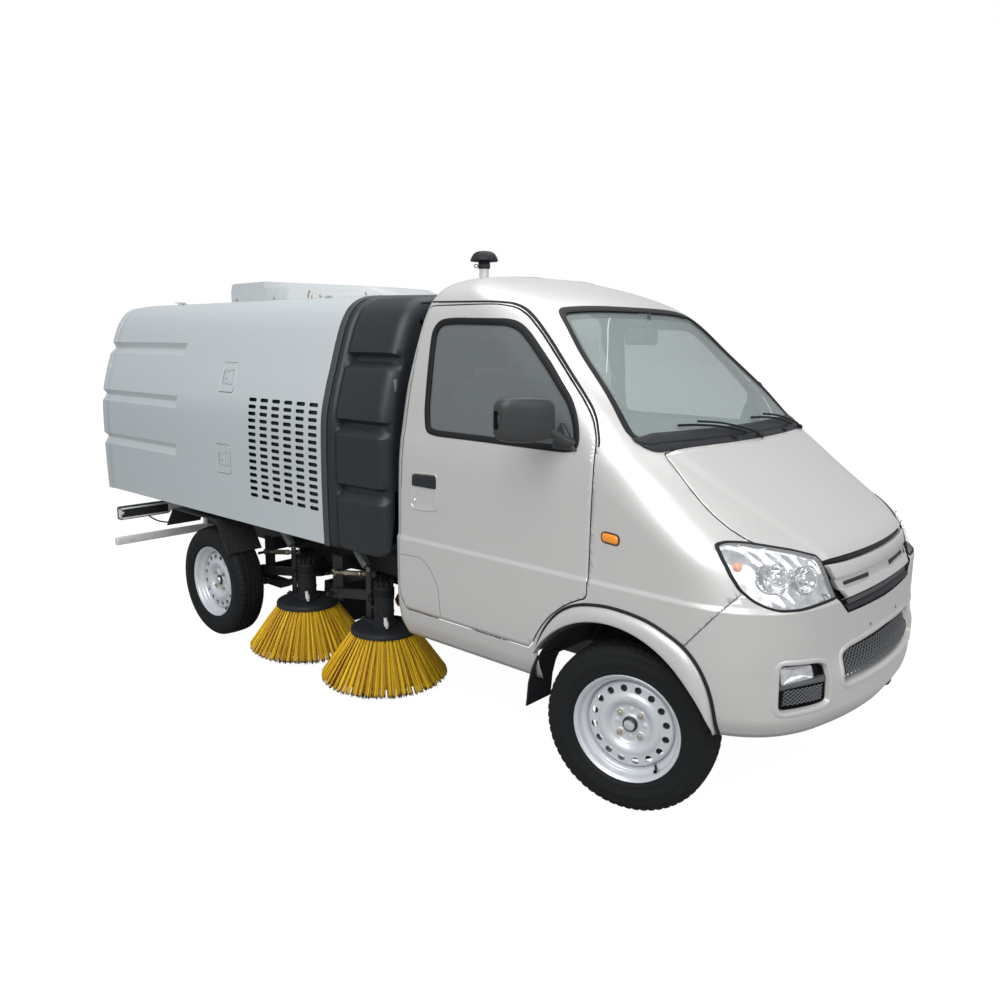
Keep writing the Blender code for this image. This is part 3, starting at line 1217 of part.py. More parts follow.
def mirrors():
    """A swept-back housing on a neck, whose foot plate lies on the door by the window's front corner."""
    seat = cab_solid("mirror_seat", -seat_gap, 0.0)
    for side in (LEFT, RIGHT):
        x = front_axle_x
        rings = []
        for y, middle, depth, low, high in MIRROR_SECTIONS:
            edge = 0.3 * (high - low)
            ring = [(-depth, low + edge), (-0.6 * depth, low), (0.6 * depth, low), (depth, low + edge),
                    (depth, high - edge), (0.6 * depth, high), (-0.6 * depth, high), (-depth, high - edge)]
            rings.append([(x + middle + dx, side * y, z) for dx, z in ring])
        low, high = sorted((side * 0.640, side * 0.716))
        made = joined(
            f"mirror_{SIDE_NAMES[side]}", black_plastic,
            (loft_mesh, rings),
            (cylinder_mesh, (x - 0.215, side * 0.700, 1.262), (x - 0.262, side * 0.800, 1.312), 0.020, None, 8),
            (prism_mesh, from_axle([(-0.190, 1.236), (-0.300, 1.236), (-0.262, 1.340)]), "xz", low, high),
        )
        boolean(made, seat, "DIFFERENCE")


door_glass()
interior()
chassis()
front_suspension()
rear_axle()
wheels()
front_mudflap(LEFT)
front_mudflap(RIGHT)
tank()
sweeper_box()
box_fittings()
mirrors()
for broom_axle in (FRONT, REAR):
    for broom_side in (LEFT, RIGHT):
        broom(broom_axle, broom_side)
cab_panels()
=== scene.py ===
import json
import math

import bmesh
import bpy
import numpy as np
from mathutils import Matrix, Vector


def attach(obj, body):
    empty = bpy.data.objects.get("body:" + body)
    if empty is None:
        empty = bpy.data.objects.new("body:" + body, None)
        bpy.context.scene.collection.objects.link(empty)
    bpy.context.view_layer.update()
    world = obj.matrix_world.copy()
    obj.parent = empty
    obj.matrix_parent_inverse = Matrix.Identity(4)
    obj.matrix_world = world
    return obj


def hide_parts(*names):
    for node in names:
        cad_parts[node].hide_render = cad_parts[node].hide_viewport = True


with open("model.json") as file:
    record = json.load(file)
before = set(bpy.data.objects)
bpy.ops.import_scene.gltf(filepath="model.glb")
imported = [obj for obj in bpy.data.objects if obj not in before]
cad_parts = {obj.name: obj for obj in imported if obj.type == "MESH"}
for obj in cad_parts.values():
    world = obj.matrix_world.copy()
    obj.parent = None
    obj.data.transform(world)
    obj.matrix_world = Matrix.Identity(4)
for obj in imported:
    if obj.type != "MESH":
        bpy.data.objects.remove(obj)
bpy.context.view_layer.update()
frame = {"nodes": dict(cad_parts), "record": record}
nodes = frame["nodes"]
tau = 2 * math.pi
frontAxleX = 1.54
rearAxleX = -1.06
sides = {"left": 1, "right": -1}


def meshFrom(name, points, faces):
    # points end in x, y and z; faces are rows of three or four indices
    points = np.asarray(points, np.float64).reshape(-1, 3)
    faces = np.asarray(faces, np.int32)
    mesh = bpy.data.meshes.new(name)
    mesh.vertices.add(len(points))
    mesh.vertices.foreach_set("co", points.ravel())
    mesh.loops.add(faces.size)
    mesh.loops.foreach_set("vertex_index", faces.ravel())
    mesh.polygons.add(len(faces))
    mesh.polygons.foreach_set("loop_start", np.arange(0, faces.size, faces.shape[1]))
    mesh.polygons.foreach_set("use_smooth", np.ones(len(faces), bool))
    mesh.update(calc_edges=True)
    mesh.validate()
    return mesh


def gridFaces(rows, columns, wrapRows=False, wrapColumns=False):
    # each cell of the grid becomes one quad; a wrapped direction joins its last line to its first
    i = np.arange(rows if wrapRows else rows - 1)[:, None]
    j = np.arange(columns if wrapColumns else columns - 1)[None, :]
    a = i * columns + j
    b = i * columns + (j + 1) % columns
    c = ((i + 1) % rows) * columns + (j + 1) % columns
    d = ((i + 1) % rows) * columns + j
    return np.stack([a, b, c, d], axis=-1).reshape(-1, 4)


def gridMesh(name, grid, wrapRows=False, wrapColumns=False, flip=False):
    # a surface through a grid of points, turned over where flip is set
    faces = gridFaces(grid.shape[0], grid.shape[1], wrapRows, wrapColumns)
    return meshFrom(name, grid, faces[:, ::-1] if flip else faces)


def placed(*parts):
    # points with these coordinates, each array spread over the others
    return np.stack(np.broadcast_arrays(*parts), -1)


def polar(radius, angle):
    return placed(radius * np.cos(angle), radius * np.sin(angle))


def spots(x, y, radius, count, start=0.5):
    # even places round a circle, from a share of a step
    return polar(radius, (np.arange(count) + start) * tau / count) + (x, y)


def fanned(points, faces, ring, centre):
    # closes a ring of indices by triangles to one more point, as quads that repeat it
    middle = np.full(len(ring), len(points))
    return np.vstack([points, centre]), np.vstack([faces,
            np.stack([ring, np.roll(ring, -1), middle, middle], 1)])


def cleaned(mesh, merge=1e-5, outward=True):
    # merges doubles and can turn every face outwards
    bm = bmesh.new()
    bm.from_mesh(mesh)
    bmesh.ops.remove_doubles(bm, verts=bm.verts[:], dist=merge)
    bmesh.ops.dissolve_degenerate(bm, edges=bm.edges[:], dist=merge / 2)
    if outward:
        bmesh.ops.recalc_face_normals(bm, faces=bm.faces[:])
    bm.to_mesh(mesh)
    bm.free()
    return mesh


def objectOf(mesh, look, body="chassis", replaced=(), sharp=40.0):
    # links the mesh in its finish, rides it on its body and hides the nodes it stands for
    made = bpy.data.objects.new(mesh.name, mesh)
    bpy.context.scene.collection.objects.link(made)
    material = looks[look] if isinstance(look, str) else look
    mesh.materials.clear()
    mesh.materials.append(material)
    if sharp:
        mesh.shade_smooth()
        mesh.set_sharp_from_angle(angle=math.radians(sharp))
    if body == "stage":
        return made
    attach(made, body)
    if replaced:
        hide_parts(*replaced)
    return made


def joinedMesh(name, meshes):
    # puts several meshes into one and removes them
    bm = bmesh.new()
    for mesh in meshes:
        bm.from_mesh(mesh)
        bpy.data.meshes.remove(mesh)
    made = bpy.data.meshes.new(name)
    bm.to_mesh(made)
    bm.free()
    return made


def unit(v):
    v = np.asarray(v, float)
    return v / np.maximum(np.linalg.norm(v, axis=-1, keepdims=True), 1e-12)


def frameAlong(path, upHint=(0.0, 0.0, 1.0)):
    # tangents by differences, sides square to the hint, ups square to both
    tangent = unit(np.gradient(path, axis=0))
    hint = np.broadcast_to(np.asarray(upHint, float), tangent.shape)
    hint = np.where(np.abs((tangent * hint).sum(1, keepdims=True)) > 0.95, (1.0, 0.0, 0.0), hint)
    side = unit(np.cross(hint, tangent))
    return tangent, side, np.cross(tangent, side)


def sweep(name, path, section, closed=False, upHint=(0.0, 0.0, 1.0)):
    # point = path(i) + a(j) side(i) + b(j) up(i): a flat section carried along a path
    path, section = np.asarray(path, float), np.asarray(section, float)
    _, side, up = frameAlong(path, upHint)
    grid = path[:, None] + section[None, :, :1] * side[:, None] + section[None, :, 1:2] * up[:, None]
    faces = gridFaces(len(path), len(section), closed, True)
    points = grid.reshape(-1, 3)
    if not closed:
        count, last = len(section), (len(path) - 1) * len(section)
        points = np.vstack([points, path[:1], path[-1:]])
        ring = np.arange(count)
        following = (ring + 1) % count
        tri = np.concatenate([np.stack([following, ring, np.full(count, len(points) - 2),
                                        np.full(count, len(points) - 2)], 1),
                              np.stack([last + ring, last + following, np.full(count, len(points) - 1),
                                        np.full(count, len(points) - 1)], 1)])
        faces = np.vstack([faces, tri])
    return cleaned(meshFrom(name, points, faces))


def circle(radius, count=12):
    return polar(radius, np.arange(count) * tau / count)


def tube(name, path, radius, count=12, closed=False):
    return sweep(name, path, circle(radius, count), closed)


def smoothPath(points, count=24):
    # Catmull-Rom through the points: a cubic between each pair that leaves along its neighbours' chord
    p = np.asarray(points, float)
    p = np.vstack([2 * p[0] - p[1], p, 2 * p[-1] - p[-2]])
    spans = len(p) - 3
    t = np.linspace(0, spans, count * spans // 2 + 1)
    k = np.minimum(t.astype(int), spans - 1)
    u = (t - k)[:, None]
    a, b, c, d = p[k], p[k + 1], p[k + 2], p[k + 3]
    return 0.5 * (2 * b + (c - a) * u + (2 * a - 5 * b + 4 * c - d) * u ** 2 + (3 * b - a - 3 * c + d)
                  * u ** 3)


def lathe(name, profile, centre, axis=(0, 0, 1), steps=64, closed=False):
    # point = centre + a axis + r (cos t side + sin t up) for each profile point (r, a)
    profile = np.asarray(profile, float)
    axis = unit(axis)
    side = unit(np.cross(axis, (0.0, 0.0, 1.0) if abs(axis[2]) < 0.9 else (1.0, 0.0, 0.0)))
    up = np.cross(axis, side)
    t = np.arange(steps) * tau / steps
    around = np.cos(t)[:, None] * side + np.sin(t)[:, None] * up
    grid = (np.asarray(centre, float) + profile[None, :, 1:2] * axis
            + profile[None, :, :1] * around[:, None])
    return cleaned(gridMesh(name, grid, True, closed))


def roundedBox(name, low, high, radius=0.004, steps=2):
    # a box whose edges are rounded by a bevel in the mesh itself
    bm = bmesh.new()
    bmesh.ops.create_cube(bm, size=1.0)
    low, high = np.array(low, float), np.array(high, float)
    size = high - low
    bmesh.ops.scale(bm, vec=size, verts=bm.verts[:])
    bmesh.ops.translate(bm, vec=(low + high) / 2, verts=bm.verts[:])
    bmesh.ops.bevel(bm, geom=bm.edges[:], offset=min(radius, 0.45 * size.min()), segments=steps,
                    profile=0.5, affect="EDGES", clamp_overlap=True)
    mesh = bpy.data.meshes.new(name)
    bm.to_mesh(mesh)
    bm.free()
    return mesh


planes = {"xz": (0, 2), "yz": (1, 2), "xy": (0, 1)}


def monotone(knots, values, at):
    # Hermite cubic with harmonic-mean slopes, so the curve never leaves its table's range between two rows
    step = np.diff(knots)
    rise = np.diff(values, axis=0) / step[:, None]
    slope = np.vstack([rise[:1], rise])
    agree = rise[:-1] * rise[1:] > 0
    slope[1:-1] = np.where(agree, 2 * rise[:-1] * rise[1:] / np.where(agree, rise[:-1] + rise[1:], 1.0),
                           0.0)
    k = np.clip(np.searchsorted(knots, at, side="right") - 1, 0, len(step) - 1)
    u = ((at - knots[k]) / step[k])[:, None]
    h = step[k][:, None]
    return ((1 + 2 * u) * (1 - u) ** 2 * values[k] + u * (1 - u) ** 2 * h * slope[k]
            + u * u * (3 - 2 * u) * values[k + 1] + u * u * (u - 1) * h * slope[k + 1])


def roundedOutline(points, radius, steps=6):
    # each corner becomes a quadratic curve between two points at the radius from it, or less on a short edge
    p = np.asarray(points, float)
    before, after = np.roll(p, 1, 0) - p, np.roll(p, -1, 0) - p
    reach = np.broadcast_to(np.asarray(radius, float), len(p))
    back = np.minimum(reach, 0.48 * np.linalg.norm(before, axis=1))[:, None]
    ahead = np.minimum(reach, 0.48 * np.linalg.norm(after, axis=1))[:, None]
    start, end = p + unit(before) * back, p + unit(after) * ahead
    t = np.linspace(0, 1, steps)[None, :, None]
    return ((1 - t) ** 2 * start[:, None] + 2 * t * (1 - t) * p[:, None] + t * t * end[:, None]).reshape(-1,
            2)


def resampled(points, spacing, closed=True):
    # points at even distances along a flat or spatial polyline
    p = np.asarray(points, float)
    if closed:
        p = np.vstack([p, p[:1]])
    run = np.concatenate([[0.0], np.cumsum(np.linalg.norm(np.diff(p, axis=0), axis=1))])
    count = max(int(round(run[-1] / spacing)), 4)
    at = np.linspace(0, run[-1], count + 1)[: count if closed else None]
    return np.stack([np.interp(at, run, p[:, i]) for i in range(p.shape[1])], 1)


def offsetOutline(points, distance):
    # moves each point square to its neighbours' chord, outwards where the distance is positive
    p = np.asarray(points, float)
    chord = unit(np.roll(p, -1, 0) - np.roll(p, 1, 0))
    area = (p[:, 0] * np.roll(p[:, 1], -1) - np.roll(p[:, 0], -1) * p[:, 1]).sum()
    return p + np.stack([chord[:, 1], -chord[:, 0]], 1) * distance * np.sign(area)


def insideOutline(points, outline):
    # even-odd rule: counts the outline's edges crossed by a ray to the right
    a, b = outline, np.roll(outline, -1, 0)
    x, y = points[:, :1], points[:, 1:2]
    spans = (a[None, :, 1] > y) != (b[None, :, 1] > y)
    drop = np.where(b[:, 1] == a[:, 1], 1.0, b[:, 1] - a[:, 1])
    cross = a[None, :, 0] + (y - a[None, :, 1]) / drop[None] * (b[:, 0] - a[:, 0])[None]
    return ((spans & (x < cross)).sum(1) % 2).astype(bool)


def cutPanel(mesh, outline, plane, where=None, inside=True, outside=True):
    # splits faces along the outline seen square to its plane, then parts the mesh into inside and outside
    bm = bmesh.new()
    bm.from_mesh(mesh)
    a, b = planes[plane]
    outline = np.asarray(outline, float)
    low, high = outline.min(0) - 0.02, outline.max(0) + 0.02

    def extent(face):
        u = [v.co[a] for v in face.verts]
        w = [v.co[b] for v in face.verts]
        return min(u), max(u), min(w), max(w)

    boxes = {}
    for face in bm.faces:
        if where is None or where(face.calc_center_median()):
            e = extent(face)
            if e[0] < high[0] and e[1] > low[0] and e[2] < high[1] and e[3] > low[1]:
                boxes[face] = e
    for start, end in zip(outline, np.roll(outline, -1, 0)):
        run = end - start
        if not run.any():
            continue
        u0, u1 = min(start[0], end[0]) - 1e-4, max(start[0], end[0]) + 1e-4
        w0, w1 = min(start[1], end[1]) - 1e-4, max(start[1], end[1]) + 1e-4
        near = [f for f, e in boxes.items() if e[0] < u1 and e[1] > u0 and e[2] < w1 and e[3] > w0]
        if not near:
            continue
        for face in near:
            del boxes[face]
        place, normal = [0.0] * 3, [0.0] * 3
        place[a], place[b], normal[a], normal[b] = start[0], start[1], -run[1], run[0]
        geometry = set(near)
        for face in near:
            geometry.update(face.edges)
            geometry.update(face.verts)
        made = bmesh.ops.bisect_plane(bm, geom=list(geometry), dist=1e-7, plane_co=place, plane_no=normal)
        for item in made["geom"]:
            if isinstance(item, bmesh.types.BMFace):
                boxes[item] = extent(item)
    faces = list(boxes)
    centres = np.array([tuple(f.calc_center_median()) for f in faces])[:, [a, b]]
    within = insideOutline(centres, outline)
    chosen = {f for f, w in zip(faces, within) if w}
    results = []
    for wanted, keep in ((inside, True), (outside, False)):
        if not wanted:
            results.append(None)
            continue
        other = bm.copy() if inside and outside and keep else bm
        if other is bm:
            gone = [f for f in bm.faces if (f in chosen) != keep]
        else:
            other.faces.ensure_lookup_table()
            bm.faces.index_update()
            numbers = {f.index for f in chosen}
            gone = [f for i, f in enumerate(other.faces) if i not in numbers]
        bmesh.ops.delete(other, geom=gone, context="FACES")
        made = bpy.data.meshes.new(mesh.name)
        other.to_mesh(made)
        other.free()
        results.append(made)
    bpy.data.meshes.remove(mesh)
    return results


def thickened(made, thickness, offset=-1.0):
    # gives a surface its wall
    step = made.modifiers.new("sheet", "SOLIDIFY")
    step.thickness, step.offset = thickness, offset
    step.use_even_offset = False
    return made


def fromAxle(points):
    # side drawings are measured from the front axle
    return np.asarray(points, float) + (frontAxleX, 0.0)


# level sections of the cab from the front axle: z, rear face, half width, where the front corner starts,
# nose half width, x at the nose's corner, x in the middle
cabRows = np.array((
    (0.38, -1.09, 0.7, 0.2, 0.42, 0.56, 0.618), (0.45, -1.105, 0.728, 0.22, 0.42, 0.596, 0.652),
    (0.55, -1.11, 0.74, 0.24, 0.42, 0.597, 0.655), (0.62, -1.11, 0.742, 0.25, 0.42, 0.585, 0.625),
    (0.7, -1.11, 0.743, 0.25, 0.41, 0.587, 0.62), (0.795, -1.11, 0.744, 0.25, 0.4, 0.588, 0.615),
    (0.815, -1.11, 0.736, 0.24, 0.4, 0.575, 0.602), (0.925, -1.11, 0.734, 0.17, 0.38, 0.535, 0.572),
    (1.0, -1.11, 0.733, 0.08, 0.42, 0.43, 0.475), (1.1, -1.11, 0.73, -0.05, 0.49, 0.27, 0.325),
    (1.2, -1.108, 0.722, -0.15, 0.545, 0.12, 0.18), (1.25, -1.105, 0.715, -0.21, 0.56, 0.05, 0.115),
    (1.4, -1.09, 0.7, -0.37, 0.56, -0.11, -0.035), (1.55, -1.06, 0.682, -0.54, 0.53, -0.275, -0.195),
    (1.7, -1.025, 0.655, -0.7, 0.485, -0.435, -0.36), (1.765, -1.01, 0.625, -0.77, 0.45, -0.54, -0.465),
    (1.82, -0.99, 0.56, -0.83, 0.38, -0.68, -0.62), (1.857, -0.945, 0.43, -0.86, 0.25, -0.79, -0.75),
    (1.869, -0.905, 0.25, -0.86, 0.13, -0.82, -0.805), (1.872, -0.87, 0.02, -0.85, 0.01, -0.845, -0.844)))
# the rear corner's radius, and how many points each stretch of a half section has
cabRound = 0.06
cabCounts = (14, 9, 74, 46, 27)


def cabRowsAt(count, inset=0.0):
    # rows run evenly along the section's climb, and bunch up at the ledge under the door's crease
    climb = np.concatenate([[0.0], np.cumsum(np.linalg.norm(np.diff(cabRows[:, [0, 2, 6]], axis=0),
            axis=1))])
    at = np.linspace(0, climb[-1], count)
    ledge = np.interp([0.79, 0.82], cabRows[:, 0], climb)
    at = np.unique(np.concatenate([at, np.linspace(*ledge, 9), climb[1:-1]]))
    rows = monotone(climb, cabRows, at)
    move = np.array((0, 1, -1, -0.3, -0.5, -1, -1)) * inset
    rows = rows + move
    rows[:, 0] -= inset * np.clip((rows[:, 0] - 1.24) / 0.62, 0, 1)
    rows[:, 2] = np.maximum(rows[:, 2], 0.012)
    rows[:, 4] = np.clip(rows[:, 4], 0.006, 0.9 * rows[:, 2])
    return rows


def cabHalf(rows):
    # half of each level section: rear wall, corner arc, straight side, quadratic curve to the nose, parabola
    z, rear, half, corner, noseHalf, noseX, middleX = (rows[:, i:i + 1] for i in range(7))
    turn = np.minimum(cabRound, 0.4 * half)
    t = [np.linspace(0, 1, n, endpoint=False)[None] for n in cabCounts[:-1]]
    t.append(np.linspace(0, 1, cabCounts[-1])[None])
    angle = t[1] * tau / 4
    bend = noseX + 2 * (noseX - middleX) / noseHalf * (half - noseHalf)
    share = 1 - t[4]
    x = [rear + 0 * t[0], rear + turn * (1 - np.cos(angle)), rear + turn + (corner - rear - turn) * t[2],
         (1 - t[3]) ** 2 * corner + 2 * t[3] * (1 - t[3]) * bend + t[3] ** 2 * noseX,
         middleX + (noseX - middleX) * share ** 2]
    y = [(half - turn) * t[0], half - turn * (1 - np.sin(angle)), half + 0 * t[2],
         (1 - t[3]) ** 2 * half + 2 * t[3] * (1 - t[3]) * half + t[3] ** 2 * noseHalf, noseHalf * share]
    x, y = np.hstack(x), np.hstack(y)
    return np.stack([x + frontAxleX, y, np.broadcast_to(z, x.shape)], -1)


cabGrid = cabHalf(cabRowsAt(128))


def onCab(u, z, view):
    # where the cab's surface lies: y from x seen from the side, or x from y seen from the front
    u, z = np.broadcast_arrays(np.asarray(u, float), np.asarray(z, float))
    flat, grid = u.ravel(), cabGrid
    row = np.interp(z.ravel(), grid[:, 0, 2], np.arange(len(grid)))
    low = np.minimum(row.astype(int), len(grid) - 2)
    first = cabCounts[0] + (cabCounts[1] if view == "nose" else 3)
    found = []
    for k in (low, low + 1):
        table = grid[:, first:]
        if view == "side":
            found.append(np.array([np.interp(a, table[i, :, 0], table[i, :, 1]) for a, i in zip(flat, k)]))
        else:
            found.append(np.array([np.interp(abs(a), table[i, ::-1, 1], table[i, ::-1, 0]) for a,
                                   i in zip(flat, k)]))
    share = row - low
    return (found[0] * (1 - share) + found[1] * share).reshape(u.shape)


def cabMesh(name, count=128, inset=0.0):
    # both halves of every level section, joined from row to row
    half = cabHalf(cabRowsAt(count, inset))
    other = half[:, -2:0:-1] * (1, -1, 1)
    whole = np.concatenate([half, other], 1)
    return cleaned(gridMesh(name, whole, False, True, True), 1e-4)


def newMaterial(name, colour, roughness, metallic=0.0, coat=0.0, specular=0.5, alpha=1.0):
    made = bpy.data.materials.new(name)
    made.use_nodes = True
    shader = made.node_tree.nodes["Principled BSDF"]
    values = {"Base Color": (*colour, 1.0), "Roughness": roughness, "Metallic": metallic,
              "Coat Weight": coat, "Coat Roughness": 0.05, "Specular IOR Level": specular, "Alpha": alpha}
    for socket, value in values.items():
        shader.inputs[socket].default_value = value
    return made


def addNode(tree, kind, sockets=None, **settings):
    # sockets by name or number: an output of another node is linked, anything else is set as the value
    node = tree.nodes.new("ShaderNode" + kind)
    for key, value in settings.items():
        setattr(node, key, value)
    for key, value in (sockets or {}).items():
        if isinstance(value, bpy.types.NodeSocket):
            tree.links.new(value, node.inputs[key])
        else:
            node.inputs[key].default_value = value
    return node


def addRamp(tree, factor, low, lowColour, high, highColour):
    # one colour up to the low place, the other from the high place, and a blend between them
    ramp = addNode(tree, "ValToRGB", {"Fac": factor})
    for element, place, colour in zip(ramp.color_ramp.elements, (low, high), (lowColour, highColour)):
        element.position, element.color = place, (*colour, 1.0)
    return ramp.outputs["Color"]


def addNoise(material, scale, colourShift=0.0, bump=0.0, roughShift=0.0):
    # mottles colour and roughness by a noise on Object coordinates, and raises a fine bump from it
    tree = material.node_tree
    shader = tree.nodes["Principled BSDF"].inputs
    where = addNode(tree, "TexCoord").outputs["Object"]
    noise = addNode(tree, "TexNoise", {"Scale": scale, "Detail": 3.0, "Vector": where}).outputs["Fac"]
    if colourShift:
        base = np.array(shader["Base Color"].default_value[:3])
        light = np.minimum(base * (1 + colourShift), 1.0)
        tree.links.new(addRamp(tree, noise, 0.3, base * (1 - colourShift), 0.7, light),
                       shader["Base Color"])
    if roughShift:
        base = shader["Roughness"].default_value
        limits = {"To Min": base - roughShift, "To Max": base + roughShift}
        spread = addNode(tree, "MapRange", {"Value": noise, **limits})
        tree.links.new(spread.outputs["Result"], shader["Roughness"])
    if bump:
        raised = addNode(tree, "Bump", {"Strength": bump, "Distance": 0.001, "Height": noise})
        tree.links.new(raised.outputs["Normal"], shader["Normal"])
    return material


# look: its slot, colour, roughness, metallic, coat, and its noise: scale, colour shift, bump, gloss shift
finishes = {
    "cabPaint": ("cab_paint", (0.605, 0.59, 0.57), 0.4, 0.4, 0.35, (900, 0.05, 0.03)),
    "boxPaint": ("box_paint", (0.58, 0.625, 0.635), 0.4, 0.3, 0.25, (700, 0.05, 0.03)),
    # a darker copy of the box paint for the covers' inner faces: painted shade
    "boxInner": ("box_paint", (0.3, 0.32, 0.33), 0.6, 0, 0, (200, 0.15, 0.05, 0.05)),
    "blackPlastic": ("black_plastic", (0.022, 0.024, 0.027), 0.5, 0, 0, (600, 0.1, 0.15, 0.06)),
    "tankPlastic": ("black_plastic", (0.01, 0.0145, 0.0185), 0.45, 0, 0, (500, 0.12, 0.15, 0.08)),
    "mirrorPlastic": ("black_plastic", (0.03, 0.032, 0.034), 0.42, 0, 0, (700, 0.1, 0.15, 0.05)),
    "meshPlastic": ("black_plastic", (0.085, 0.09, 0.096), 0.35, 0, 0, (500, 0.1, 0.1, 0.05)),
    "cabinDark": ("black_plastic", (0.075, 0.078, 0.08), 0.6, 0, 0, (500, 0.1, 0.1, 0.05)),
    "trimGrey": ("black_plastic", (0.04, 0.048, 0.05), 0.5, 0, 0, (300, 0.12, 0.05, 0.05)),
    "sealRubber": ("black_plastic", (0.012, 0.012, 0.013), 0.55, 0, 0, (500, 0.1, 0.1, 0.05)),
    "blackSteel": ("black_steel", (0.028, 0.028, 0.03), 0.42, 0.2, 0, (60, 0.3, 0.1, 0.12)),
    "cylinderGrey": ("black_steel", (0.17, 0.19, 0.195), 0.35, 0.3, 0.2, (80, 0.12, 0, 0.06)),
    "tyreRubber": ("tyre_rubber", (0.009, 0.01, 0.0105), 0.66, 0, 0, (400, 0.15, 0.2, 0.08)),
    "rimSilver": ("rim_silver", (0.64, 0.665, 0.69), 0.36, 0.35, 0.2, (400, 0.06, 0.05, 0.05)),
    "chrome": ("rim_silver", (0.86, 0.87, 0.88), 0.1, 1, 0, (50, 0.02, 0, 0.03)),
    # the lamp chrome's large colour shift paints dark and bright reflections into its colour
    "lampChrome": ("rim_silver", (0.7, 0.71, 0.73), 0.08, 1, 0, (26, 0.45, 0, 0.02)),
    "zinc": ("zinc_steel", (0.52, 0.46, 0.35), 0.38, 0.9, 0, (90, 0.25, 0.05, 0.1)),
    "castIron": ("cast_iron", (0.1, 0.1, 0.1), 0.65, 0.5, 0, (120, 0.2, 0.3, 0.1)),
    "whiteSteel": ("white_steel", (0.7, 0.71, 0.7), 0.35, 0.1, 0.2, (60, 0.05, 0.03, 0.05)),
    "ductPaint": ("white_steel", (0.56, 0.585, 0.59), 0.35, 0.15, 0.2, (60, 0.05, 0.03, 0.05)),
    "seatCloth": ("seat_cloth", (0.11, 0.11, 0.115), 0.92, 0, 0, (900, 0.25, 0.4)),
    "bristle": ("bristle_yellow", (0.8, 0.56, 0.03), 0.55, 0, 0, (300, 0.2, 0.1)),
    # the bristle core is darker than the strands: painted shade deep in the bristle mass
    "bristleCore": ("bristle_yellow", (0.36, 0.2, 0.008), 0.8, 0, 0, (90, 0.4, 0.2)),
    "redLens": ("lamp_clear", (0.45, 0.012, 0.012), 0.15, 0, 0.5, (300, 0.1, 0.1)),
    "amber": ("lamp_clear", (0.85, 0.28, 0.02), 0.2, 0, 0.5, (300, 0.1, 0.1)),
    "glass": ("glass_clear", (0.44, 0.53, 0.51), 0.02, 0, 0, (30, 0.02)),
    "sideGlass": ("glass_clear", (0.2, 0.22, 0.225), 0.02, 0, 0, (30, 0.02)),
    "lens": ("lamp_clear", (0.9, 0.92, 0.93), 0.02, 0, 0, (30, 0.02)),
}
clearness = {"glass": 0.3, "sideGlass": 0.52, "lens": 0.22}
dullShine = {"tyreRubber": 0.22, "sealRubber": 0.22, "blackPlastic": 0.22}
looks, slotOfLook = {}, {}
for name, (slot, colour, roughness, metallic, coat, noise) in finishes.items():
    slotOfLook[name] = slot
    looks[name] = addNoise(newMaterial(name, colour, roughness, metallic, coat, dullShine.get(name, 0.5),
                                       clearness.get(name, 1.0)), *noise)
cadLooks = {
    "cab_paint": "cabPaint", "box_paint": "boxPaint", "black_plastic": "blackPlastic",
    "black_steel": "blackSteel", "tyre_rubber": "tyreRubber", "rim_silver": "rimSilver",
    "glass_clear": "glass", "lamp_clear": "lens", "cast_iron": "castIron", "seat_cloth": "seatCloth",
    "zinc_steel": "zinc", "bristle_yellow": "bristle", "white_steel": "whiteSteel",
}
slotOf = {row["node"]: row["material_slot"] for row in frame["record"]["subparts"]}
for name, node in nodes.items():
    node.data.materials.clear()
    node.data.materials.append(looks[cadLooks[slotOf[name]]])
print("materials done")


sealGap = 0.005
flare = {"centre": (0.016, 0.366), "seam": 0.4, "archCentre": (0.0, 0.301)}


def circlePoints(centre, radius, start, end, count):
    # an arc between two angles in degrees
    return polar(radius, np.radians(np.linspace(start, end, count))) + centre


flareCurve = smoothPath([(0.364, 0.385), (0.362, 0.459), (0.348, 0.537), (0.316, 0.609), (0.265, 0.664),
                         (0.186, 0.703), (0.104, 0.727), (-0.009, 0.737), (-0.1, 0.729), (-0.17, 0.71),
                         (-0.231, 0.674), (-0.28, 0.622), (-0.318, 0.557), (-0.343, 0.492)], 12)
# the last three corners only steer the one before them: the arc round the flare takes their place
doorLine = [(-1.03, 0.502), (-1.062, 0.56), (-1.062, 1.18), (-1.0, 1.69), (-0.978, 1.738), (-0.64, 1.738),
            (-0.566, 1.727), (-0.506, 1.695), (-0.434, 1.634), (-0.325, 1.526), (-0.206, 1.409),
            (-0.156, 1.347), (-0.126, 1.28), (-0.117, 1.18), (-0.117, 0.752), (-0.1273, 0.7394),
            (-0.3522, 0.5223), (-0.372, 0.5)]
doorRound = (0.02, 0.03, 0.3, *(0.03,) * 6, 0.04, 0.04, 0.03, 0.03, 0.05, 0.02, 0.004, 0.004, 0.004)
doorEdge = fromAxle(np.vstack([roundedOutline(doorLine, doorRound)[:-18],
                               circlePoints(flare["centre"], flare["seam"], 111, 157, 18), doorLine[-1:]]))
windowRim = fromAxle(roundedOutline(
    [(-0.93, 1.246), (-0.944, 1.326), (-0.941, 1.573), (-0.937, 1.65), (-0.9, 1.687), (-0.827, 1.692),
     (-0.562, 1.686), (-0.512, 1.671), (-0.465, 1.636), (-0.346, 1.522), (-0.235, 1.405), (-0.198, 1.333),
     (-0.183, 1.27), (-0.195, 1.236), (-0.243, 1.227), (-0.625, 1.232), (-0.88, 1.234)],
    0.03, 5))
windowRim = resampled(windowRim, 0.011)
windowEdge = offsetOutline(windowRim, -0.005)
screenSide = [(-0.634, 1.283), (-0.618, 1.354), (-0.543, 1.598), (-0.497, 1.7), (-0.462, 1.722),
              (-0.3, 1.734)]
screenRound = (0.03, 0.06, 0.08, 0.03, 0.03, 0.15)
